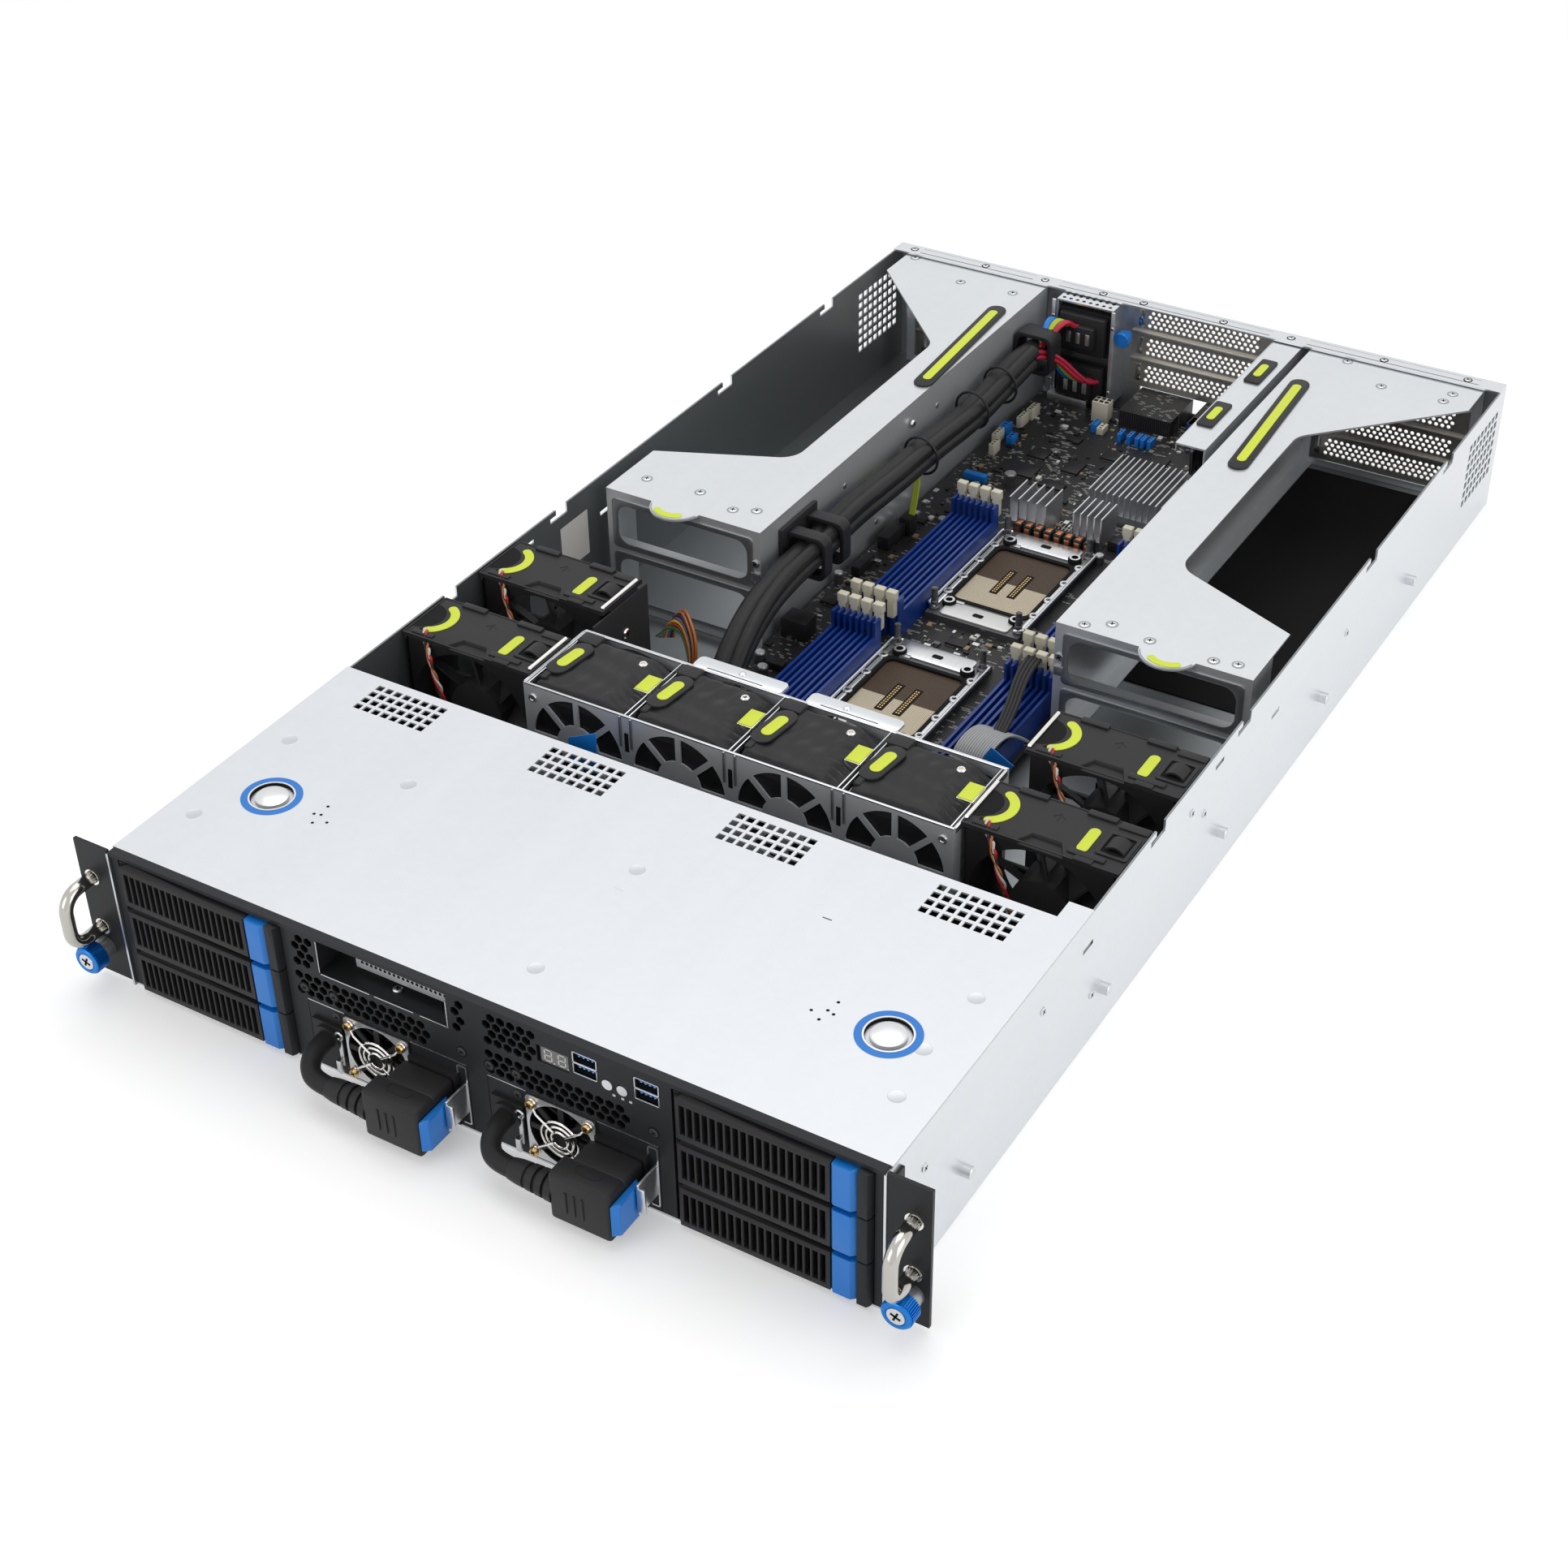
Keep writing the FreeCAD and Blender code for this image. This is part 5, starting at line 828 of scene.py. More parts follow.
@dataclass
class Studio:
    """The camera, the pale floor and the soft lights.

    Attributes:
        camera_place: Where the camera stands.
        camera_aim: A point on its line of sight.
        camera_up: The image's upward direction.
        lens: Focal length in millimetres on a 36 mm sensor.
        floor_level: Height of the floor.
        soft: Strength of the surround's light.
        floor_glow: How much the floor lights itself for the camera.
        lights: Name, place, size and power of each soft box.
    """

    camera_place: tuple[float, float, float] = (0.5834, -1.0762, 0.8516)
    camera_aim: tuple[float, float, float] = (-0.0202, -0.0928, 0.0)
    camera_up: tuple[float, float, float] = (-0.2962, 0.5148, 0.8044)
    lens: float = 58.535
    floor_level: float = -0.0005
    soft: float = 0.46
    floor_glow: float = 0.32
    lights: tuple = (("overhead", (-0.3, 0.4, 2.2), 2.2, 19.0), ("front_fill", (-0.8, -2.2, 1.1), 1.6, 9.0),
                     ("right_fill", (2.2, -0.3, 0.9), 1.6, 13.0))

    def camera(self) -> None:
        """Create the camera and make it the scene's own."""
        data = bpy.data.cameras.new("camera")
        data.lens = self.lens
        data.sensor_width = 36.0
        data.clip_start = 0.01
        camera = bpy.data.objects.new("camera", data)
        bpy.context.scene.collection.objects.link(camera)
        place = Vector(self.camera_place)
        back = (place - Vector(self.camera_aim)).normalized()
        right = Vector(self.camera_up).cross(back).normalized()
        up = back.cross(right)
        turn = Matrix((right, up, back)).transposed().to_4x4()
        camera.matrix_world = Matrix.Translation(place) @ turn
        bpy.context.scene.camera = camera

    def world(self) -> None:
        """Set a white surround that lights softly and reflects as white."""
        world = bpy.data.worlds.new("studio")
        bpy.context.scene.world = world
        world.use_nodes = True
        tree = world.node_tree
        tree.nodes.clear()
        out = tree.nodes.new("ShaderNodeOutputWorld")
        soft = tree.nodes.new("ShaderNodeBackground")
        soft.inputs["Strength"].default_value = self.soft
        shown = tree.nodes.new("ShaderNodeBackground")
        shown.inputs["Strength"].default_value = 1.0
        for node in (soft, shown):
            node.inputs["Color"].default_value = (1, 1, 1, 1)
        path = tree.nodes.new("ShaderNodeLightPath")
        seen = tree.nodes.new("ShaderNodeMath")
        seen.operation = "MAXIMUM"
        tree.links.new(path.outputs["Is Camera Ray"], seen.inputs[0])
        tree.links.new(path.outputs["Is Transmission Ray"], seen.inputs[1])
        plain = tree.nodes.new("ShaderNodeMath")
        plain.operation = "MAXIMUM"
        tree.links.new(seen.outputs[0], plain.inputs[0])
        tree.links.new(path.outputs["Is Glossy Ray"], plain.inputs[1])
        mix = tree.nodes.new("ShaderNodeMixShader")
        tree.links.new(plain.outputs[0], mix.inputs[0])
        tree.links.new(soft.outputs[0], mix.inputs[1])
        tree.links.new(shown.outputs[0], mix.inputs[2])
        tree.links.new(mix.outputs[0], out.inputs[0])

    def floor(self) -> None:
        """Lay a pale floor that shows white and keeps the soft shadow."""
        work = bmesh.new()
        bmesh.ops.create_grid(work, x_segments=1, y_segments=1, size=6.0,
                              matrix=Matrix.Translation((0, 0, self.floor_level)))
        data = bpy.data.meshes.new("floor")
        work.to_mesh(data)
        work.free()
        made = bpy.data.materials.new("pale_floor")
        made.use_nodes = True
        tree = made.node_tree
        shader = tree.nodes["Principled BSDF"]
        shader.inputs["Base Color"].default_value = (0.9, 0.9, 0.9, 1)
        shader.inputs["Roughness"].default_value = 0.9
        path = tree.nodes.new("ShaderNodeLightPath")
        glow = tree.nodes.new("ShaderNodeEmission")
        glow.inputs["Strength"].default_value = self.floor_glow
        none = tree.nodes.new("ShaderNodeEmission")
        none.inputs["Strength"].default_value = 0.0
        seen = tree.nodes.new("ShaderNodeMath")
        seen.operation = "MAXIMUM"
        tree.links.new(path.outputs["Is Camera Ray"], seen.inputs[0])
        tree.links.new(path.outputs["Is Glossy Ray"], seen.inputs[1])
        mix = tree.nodes.new("ShaderNodeMixShader")
        tree.links.new(seen.outputs[0], mix.inputs[0])
        tree.links.new(none.outputs[0], mix.inputs[1])
        tree.links.new(glow.outputs[0], mix.inputs[2])
        add = tree.nodes.new("ShaderNodeAddShader")
        tree.links.new(shader.outputs[0], add.inputs[0])
        tree.links.new(mix.outputs[0], add.inputs[1])
        tree.links.new(add.outputs[0], tree.nodes["Material Output"].inputs[0])
        data.materials.append(made)
        floor = bpy.data.objects.new("floor", data)
        bpy.context.scene.collection.objects.link(floor)

    def light(self, name: str, place: Point, size: float, power: float) -> None:
        """Add a square soft box aimed at the object's middle."""
        data = bpy.data.lights.new(name, "AREA")
        data.shape = "SQUARE"
        data.size = size
        data.energy = power
        lamp = bpy.data.objects.new(name, data)
        bpy.context.scene.collection.objects.link(lamp)
        lamp.location = place
        lamp.rotation_euler = (Vector(place) - Vector((0, 0, 0.04))).to_track_quat("Z", "Y").to_euler()

    def build(self) -> None:
        """Build the camera, surround, floor and lights."""
        bpy.context.scene.view_settings.view_transform = "Standard"
        self.camera()
        self.world()
        self.floor()
        for lamp in self.lights:
            self.light(*lamp)


# ------------------------------------------------------------------ cords


@dataclass
class Cords:
    """The two short supply leads in front and the sleeved harness inside.

    Attributes:
        pitch: Distance from the left supply to the right one.
        lead_radius: Radius of a lead.
        lead: Points from the gland to the plug's strain relief, in millimetres from the front plane.
        sleeve_radius: Radius of the harness.
        sleeve_length: Length of the harness in metres; not used.
        sleeve: Points of the harness from the rear, in millimetres from the front plane.
        side_shifts: Shifts of the side sleeves from the harness.
        clips: Front face and depth of each clip.
        ties: Places of the round ties along Y.
    """

    pitch: float = 106.8
    lead_radius: float = 5.0
    lead: tuple = ((-88, -4, 24), (-88, -12, 24), (-86, -20, 20.5), (-80, -24, 17), (-70, -24, 17))
    sleeve_radius: float = 7.5
    sleeve_length: float = 0.582
    sleeve: tuple = ((-84, 762, 60), (-87, 735, 62), (-88, 700, 58), (-87, 655, 55), (-88, 600, 58),
                     (-87, 550, 60), (-88, 498, 62), (-87, 455, 60), (-86, 415, 61), (-84, 384, 57),
                     (-81, 357, 47), (-78, 333, 30), (-76, 314, 15), (-73, 290, 10.4), (-71, 262, 10.0),
                     (-69, 228, 10.4), (-68, 194, 12))
    side_shifts: tuple = ((8.0, 2, 5.0), (9.5, -3, -1.5))
    clips: tuple = ((748.0, 16.0), (446.0, 9.0), (468.0, 9.0))
    ties: tuple = (590.0, 700.0, 660.0)

    def build(self) -> None:
        for number, side in enumerate(("left", "right")):
            points = [Vector(point) + Vector((number * self.pitch, 0, 0)) for point in self.lead]
            wire(f"supply_lead_{side}", [points], self.lead_radius, RUBBER, slot="cord_jacket",
                 replaces=[f"cord_{side}"])
        harness = wire("supply_harness", [self.sleeve], self.sleeve_radius, SLEEVE, slot="cable_sleeve",
                       replaces=["power_cables"])
        fittings = self.fittings()

    def fittings(self) -> list[bpy.types.Object]:
        """Make the harness's side sleeves, clips, ties and the coloured wires at its rear end.

        Returns:
            The pieces.
        """
        main = [Vector(point) for point in self.sleeve]
        routes = [[point + Vector(shift) for point in main[1:-1]] for shift in self.side_shifts]
        made = [wire("harness_side_sleeves", routes, 4.6, SLEEVE, slot="cable_sleeve")]
        clips = Builder("harness_clips", [BLACK_PLASTIC, STEEL], slot="black_plastic")
        for y, deep in self.clips:
            clips.pierced(rounded((-99.5, -71.0), (44.0, 73.0), 6.0),
                          rounded((-96.5, -74.0), (47.5, 70.0), 5.0), y, deep, BLACK_PLASTIC, "y", 0.6)
        clips.block((-99.5, -97.0), (440.0, 482.0), (36.0, 76.0), BLACK_PLASTIC, 1.0)
        for y in self.ties:
            clips.torus((-84.5, y, 57.5), (0.1, 1, 0), 12.6, 0.9, BLACK_PLASTIC)
        clips.screw((-98.8, 604.0, 70.0), (1, 0, 0), 2.6, 1.6, STEEL, BLACK_PLASTIC)
        made.append(clips.make())
        for name, finish, shifts in (("blue", BLUE, (0.0, 5.0)), ("yellow", YELLOW_GREEN, (1.7, 6.7)),
                                     ("red", CRIMSON, (3.4, 8.4))):
            ends = []
            for row, (shift, height) in enumerate(zip(shifts, (68.0, 30.0))):
                for step in (0.0, 2.9):
                    x = -81.0 + shift * 3.2 + step * 0.7
                    ends.append([(-84 + shift * 0.5, 742 + step, 60 + step),
                                 (-82 + shift, 756, 64 - row * 6 + step),
                                 (x - 3, 767 + step, height + 10 - row * 4), (x, 777, height + 5 - step),
                                 (x + 2, 784, height - 2 + step)])
            made.append(wire(f"inlet_wires_{name}", ends, 1.55, finish, slot="cord_jacket"))
        return made


# ------------------------------------------------------------------ cover and front


@dataclass
class CoverTrim:
    """Release buttons, their rings, spot welds and punched marks of the front cover.

    Attributes:
        button: Place of the right release button; the left one mirrors it.
        top: Height of the cover.
        welds: Places of the spot welds.
        dots: Places of the right punched dots; the left ones mirror them.
        sunk: How far a button starts under the cover.
        lining: How far under the cover the painted shade in a button's cup starts.
        radii: Radii of the blue ring, the bright rim and the opening.
        dome: Radius and rise of each step of a button.
    """

    button: Span = (178.0, 75.0)
    top: float = 86.0
    welds: tuple = ((-201.9, 117.6), (-124.1, 117.3), (-202.2, 44.0), (15.2, 117.3), (15.0, 33.0),
                    (200.5, 116.2), (200.4, 41.8), (196.1, 74.1))
    dots: tuple = ((147.8, 82.4), (146.4, 75.3), (146.0, 68.0), (150.0, 74.2), (139.8, 71.7))
    sunk: float = 1.6
    lining: float = 2.75
    radii: tuple = (15.8, 12.1, 11.2)
    dome: tuple = ((0, 0.1), (8.6, 0.1), (8.65, 1.7), (8.3, 2.0), (7.6, 2.15), (6.9, 2.4), (5.6, 2.75),
                   (4.0, 3.05), (2.0, 3.2), (0, 3.25))

    def buttons(self) -> None:
        """Make the domed release buttons and the rings round them."""
        x, y = self.button
        rings = Builder("release_button_rings", [BLUE, CHROME, VOID], slot="blue_plastic")
        for side, name in ((-1, "left"), (1, "right")):
            rings.ring((side * x, y, self.top), UP, self.radii[0], self.radii[1], 0.15, BLUE, 56)
            rings.ring((side * x, y, self.top), UP, self.radii[1], self.radii[2], 0.3, CHROME, 56)
            # painted shade: near-black rings on the floor and the wall of each button's cup
            rings.ring((side * x, y, self.top - self.lining), UP, 11.15, 9.0, 0.08, VOID, 48)
            rings.ring((side * x, y, self.top - self.lining), UP, 11.19, 10.9, 2.7, VOID, 48)
            dome = Builder(f"release_button_{name}", [DOMED], f"cover_button_{name}", "satin_aluminium")
            dome.lathe((side * x, y, self.top - self.sunk), UP, self.dome, DOMED, 48)
            dome.make([f"cover_button_{name}"])
        rings.make()

    def marks(self) -> None:
        """Make the spot welds, punched dots and slits."""
        marks = Builder("cover_marks", [WELD, VOID], slot="galvanised_steel")
        for u, v in self.welds:
            marks.lathe((u, v, self.top), UP, [(0, 0.05), (3.6, 0.05), (4.0, 0.12), (4.2, 0.0)], WELD, 32)
        for side in (-1, 1):
            for u, v in self.dots:
                marks.rod((side * u, v, self.top), (side * u, v, self.top + 0.05), 0.85, VOID, 12)
        marks.block((111.0, 116.0), (131.0, 131.6), (self.top, self.top + 0.05), VOID)
        marks.block((12.5, 18.5), (100.4, 100.7), (self.top, self.top + 0.04), WELD)
        marks.make()

    def build(self) -> None:
        """Build the cover's pieces."""
        self.buttons()
        self.marks()


@dataclass
class FrontPanel:
    """The middle of the front: display, ports, card slot recess and small screws.

    Attributes:
        display: Span of the two-digit display.
        ports: Middles of the stacked ports.
        recess: Span of the card slot recess.
        digit_middles: Middles of the two digits.
        digit_height: Height of the digits' middle.
        screw_places: Places of the panel screws in X and Z.
    """

    display: Span = (39.7, 55.1)
    ports: Span = (64.4, 97.6)
    recess: Span = (-89.5, -13.0)
    digit_middles: Span = (43.6, 51.2)
    digit_height: float = 70.3
    screw_places: tuple = ((-82.4, 50.5), (-6.7, 50.3), (-100.5, 49.0), (24.6, 50.5), (100.1, 50.3),
                           (9.0, 49.0))

    def digits(self) -> None:
        """Make the display with every segment of its two digits."""
        made = Builder("digit_display", [DISPLAY, DIGIT], slot="black_plastic")
        made.block(self.display, (0.7, 1.3), (65.5, 75.1))
        for middle in self.digit_middles:
            for rise in (-3.2, 0.0, 3.2):
                made.bar((middle, 0.65, self.digit_height + rise), (2.9, 0.2, 0.7), DIGIT)
            for side in (-1, 1):
                for rise in (-1.6, 1.6):
                    made.bar((middle + side * 1.9, 0.65, self.digit_height + rise), (0.7, 0.2, 2.5), DIGIT)
            made.rod((middle + 3.3, 0.7, 66.8), (middle + 3.3, 0.55, 66.8), 0.5, DIGIT, 10)
        made.make()

    def usb(self) -> None:
        """Make the bright port rims and their blue tongues."""
        made = Builder("port_fronts", [STEEL, BLUE, VOID], slot="nickel_steel")
        for x in self.ports:
            for side in (-1, 1):
                made.bar((x + side * 6.35, 0.4, 73.9), (0.5, 1.5, 13.0), STEEL, 0.1)
            for level, thick in ((67.65, 0.5), (73.9, 1.0), (80.15, 0.5)):
                made.bar((x, 0.4, level), (13.2, 1.5, thick), STEEL, 0.1)
            for level in (71.9, 78.4):
                made.block((x - 5.0, x + 5.0), (1.2, 11.0), (level - 0.9, level + 0.7), BLUE, 0.2)
                for pin in range(4):
                    made.bar((x - 3.6 + 2.4 * pin, 4.5, level - 1.0), (1.0, 7.0, 0.25), STEEL)
        made.make()

    def slot_recess(self) -> None:
        """Make the perforated bracket, the bright edges and the screw of the card slot."""
        made = Builder("card_slot_front", [NICKEL, VOID, STEEL], slot="nickel_steel")
        left, right = self.recess
        made.block((left + 9.0, right - 1.5), (18.1, 18.9), (68.5, 82.3), NICKEL, 0.2)
        for row in range(3):
            for column in range(17):
                x = left + 14.0 + column * 3.45 + (row % 2) * 1.7
                made.rod((x, 18.1, 72.0 + row * 3.4), (x, 18.02, 72.0 + row * 3.4), 0.95, VOID, 8)
        made.screw((left + 40.0, 9.0, 62.8), UP, 2.5, 1.0, STEEL, VOID)
        for low, high in ((left + 1, left + 30), (left + 33, left + 56), (left + 60, right - 1)):
            made.block((low, high), (-0.12, 0.4), (62.0, 62.5), STEEL)
        made.block((right - 0.6, right - 0.1), (-0.12, 0.4), (62.0, 78.0), STEEL)
        made.block((left + 0.1, left + 0.5), (-0.12, 0.4), (63.0, 82.0), STEEL)
        made.make()

    def screws(self) -> None:
        """Make the dark panel screws and the pale port marks' bare plates."""
        made = Builder("panel_screws", [DARK_PLASTIC, VOID, WHITE], slot="black_steel")
        for x, z in self.screw_places:
            made.ring((x, 0, z), OUT, 3.1, 2.5, 0.25, VOID, 24)
            made.screw((x, 0, z), OUT, 2.4, 0.6, DARK_PLASTIC, VOID)
        for x in (79.5, 84.2, 88.5):
            made.bar((x, -0.05, 63.4), (1.5, 0.15, 1.2), WHITE)
        made.make()

    def build(self) -> None:
        """Build the panel's pieces."""
        self.digits()
        self.usb()
        self.slot_recess()
        self.screws()


@dataclass
class SupplyFronts:
    """The fan plates, wire guards, clips, plugs and reliefs of the two supplies.

    Attributes:
        pitch: Distance from the left supply to the right one.
        fan: Middle of the left supply's fan in X and Z.
        plug_right: Right face of the left plug.
        guard: Radii of the guard's rings.
        guard_wire: Radius of the guard's wire.
        relief: Start and radius of each rib of the strain relief.
    """

    pitch: float = 106.8
    fan: Span = (-57.8, 23.3)
    plug_right: float = -11.5
    guard: tuple = (4.6, 7.6, 10.4)
    guard_wire: float = 0.62
    relief: tuple = ((4.0, 7.0), (9.5, 6.7), (15.0, 6.3))

    def fan_plate(self, made: Builder, shift: float) -> None:
        """Add a fan plate with its wire guard and screws."""
        x, z = self.fan[0] + shift, self.fan[1]
        made.pierced(rounded((x - 19.5, x + 19.5), (3.8, 42.3), 2.5), round_hole(x, z, 18.2), -1.6, 0.55,
                     STEEL, "y")
        for radius in self.guard:
            made.torus((x, -3.6 + radius * 0.06, z), OUT, radius, self.guard_wire, CHROME)
        for u, v in ((-1, 1), (1, 1), (-1, -1), (1, -1)):
            near = Vector((x + u * 3.3, -3.5, z + v * 3.3))
            knee = Vector((x + u * 12.6, -3.4, z + v * 10.2))
            foot = Vector((x + u * 15.8, -2.3, z + v * 15.0))
            made.rod(near, knee, self.guard_wire, CHROME, 8)
            made.rod(knee, foot, self.guard_wire, CHROME, 8)
            made.torus(foot, OUT, 2.2, 0.6, CHROME, 20)
            made.screw(foot, OUT, 2.6, 2.2, BRASS, VOID)

    def fittings(self, made: Builder, shift: float) -> None:
        """Add a supply's bright edges, clip, small lever and frame."""
        left, right = -99.6 + shift, -4.6 + shift
        made.block((left, right), (-0.15, 0.1), (42.1, 42.6), STEEL)
        made.pierced(rounded((right - 6.2, right - 0.3), (4.0, 41.0), 1.6),
                     rounded((right - 5.4, right - 1.1), (4.8, 40.2), 1.0), -0.45, 0.35, STEEL, "y")
        made.block((right - 2.2, right - 0.85), (-16.15, 0.0), (12.8, 31.2), STEEL, 0.3)
        made.block((right - 2.2, right + 2.2), (-16.2, -14.8), (14.8, 29.2), STEEL, 0.3)
        x = self.fan[0] + shift
        made.block((x - 24.2, x - 21.8), (-2.4, -0.2), (9.0, 27.0), STEEL, 0.4)
        made.block((x - 25.4, x - 22.6), (-4.6, -1.6), (5.0, 13.0), STEEL, 0.4)
        made.torus((x - 22.6, -3.0, 28.6), OUT, 2.1, 0.6, STEEL, 20)
        made.screw((x - 24.6, 0.0, 38.0), OUT, 2.4, 0.8, DARK_PLASTIC, VOID)

    def plug(self, made: Builder, shift: float) -> None:
        """Add a rounded angled plug with its grip ribs and slotted strain relief."""
        right = self.plug_right + shift
        made.block((right - 28.5, right), (-19.0, -3.0), (4.6, 33.3), PLUG, 1.6, 3)
        made.block((right - 33.5, right), (-31.0, -17.0), (4.6, 33.3), PLUG, 2.0, 3)
        for step in (-1, 0, 1):
            made.bar((right - 19.5 + step * 4.6, -31.1, 18.5), (1.3, 1.0, 13.0), PLUG, 0.4)
        made.pierced(stadium(right - 17.0, -22.0, 15.0, 6.0, 0), stadium(right - 17.0, -22.0, 13.6, 4.6, 0),
                     33.2, 0.4)
        profile = [(0, 0), (7.4, 0), (7.2, 4.0)]
        for start, radius in self.relief:
            profile += [(5.4, start + 0.2), (5.4, start + 1.6), (radius, start + 1.8),
                        (radius - 0.15, start + 5.3)]
        profile += [(5.9, 22.5), (5.3, 26.0), (0, 26.0)]
        made.lathe((right - 33.0, -24.0, 17.0), (-1, 0, 0), profile, PLUG, 32)

    def build(self) -> None:
        """Build the fronts, plugs and tabs."""
        made = Builder("supply_fronts", [STEEL, CHROME, BRASS, VOID, DARK_PLASTIC], slot="nickel_steel")
        plugs = Builder("supply_plugs", [PLUG], slot="plug_rubber")
        for shift in (0.0, self.pitch):
            self.fan_plate(made, shift)
            self.fittings(made, shift)
            self.plug(plugs, shift)
        made.make()
        plugs.make(["power_plugs"])
        for side in ("left", "right"):
            eased_copy(f"plug_tab_{side}", [BLUE], f"release_tab_{side}", 0.9)


@dataclass
class RackEars:
    """Smooth handles and knurled thumbscrews of the rack ears.

    Attributes:
        screw: Place of the right thumbscrew in X and Z; the left one mirrors it.
        face: Front face of the thumbscrews' heads.
        ridges: Ridges round a thumbscrew.
    """

    screw: Span = (233.0, 20.5)
    face: float = -16.6
    ridges: int = 40

    def thumbscrew(self, side: int, name: str) -> None:
        """Make one thumbscrew with its ridged head, bright centre and shank."""
        x, z = side * self.screw[0], self.screw[1]
        made = Builder(f"thumbscrew_{name}", [BLUE_METAL, STEEL, VOID], f"rack_screw_{name}",
                       "blue_anodised")
        star = [point for step in range(self.ridges)
                for point in (arc(x, z, 8.0, step * 9, step * 9 + 3.5, 1)
                              + arc(x, z, 7.35, step * 9 + 4.8, step * 9 + 7.7, 1))]
        made.plate(star, self.face + 1.2, 7.0, BLUE_METAL, 0.0, "y")
        made.lathe((x, self.face + 1.4, z), OUT,
                   [(0, 0), (7.5, 0), (7.5, 0.9), (6.9, 1.4), (5.2, 1.4), (5.0, 0.9), (0, 0.9)], BLUE_METAL,
                   40)
        made.lathe((x, self.face + 0.6, z), OUT, [(0, 0), (4.7, 0), (4.5, 0.7), (0, 0.9)], STEEL, 32)
        for angle in (0.4, 0.4 + math.pi / 2):
            made.bar((x, self.face - 0.3, z), (5.4, 0.15, 1.1), VOID, turn=Matrix.Rotation(angle, 4, "Y"))
        made.rod((x, self.face + 8.0, z), (x, 10.0, z), 2.3, STEEL, 20)
        made.rod((x, 10.0, z), (x, 11.4, z), 2.3, STEEL, 20, 1.2)
        made.make([f"rack_screw_{name}"])

    def build(self) -> None:
        """Build the handles, ferrules and thumbscrews."""
        eased_copy("ear_handles", [ROD_STEEL], "bent_rod_handles", 0.0)
        sleeves = Builder("thumbscrew_sleeves", [SHADED_ZINC, CHROME], slot="nickel_steel")
        for side, name in ((-1, "left"), (1, "right")):
            x = side * self.screw[0]
            # painted shade: the ferrules take the darker zinc
            sleeves.ring((x, -1.1, self.screw[1]), OUT, 5.9, 3.0, 6.2, SHADED_ZINC, 32)
            for height in (33.2, 64.7):
                sleeves.ring((x, -1.05, height), OUT, 4.6, 3.6, 0.5, CHROME, 28)
            self.thumbscrew(side, name)
        sleeves.make()


@dataclass
class DriveTrays:
    """Eased trays, levers and keys of the two drive bays.

    Attributes:
        count: Number of trays.
    """

    count: int = 6

    def build(self) -> None:
        """Build the dressed trays."""
        for number in range(1, self.count + 1):
            eased_copy(f"drive_tray_{number}", [BLACK_COAT], f"tray_shell_{number}", 0.25)
            eased_copy(f"tray_lever_{number}", [BLACK_PLASTIC], f"tray_grille_{number}", 0.25)
            eased_copy(f"tray_key_{number}", [BLUE], f"tray_latch_{number}", 0.35)


# ------------------------------------------------------------------ fans


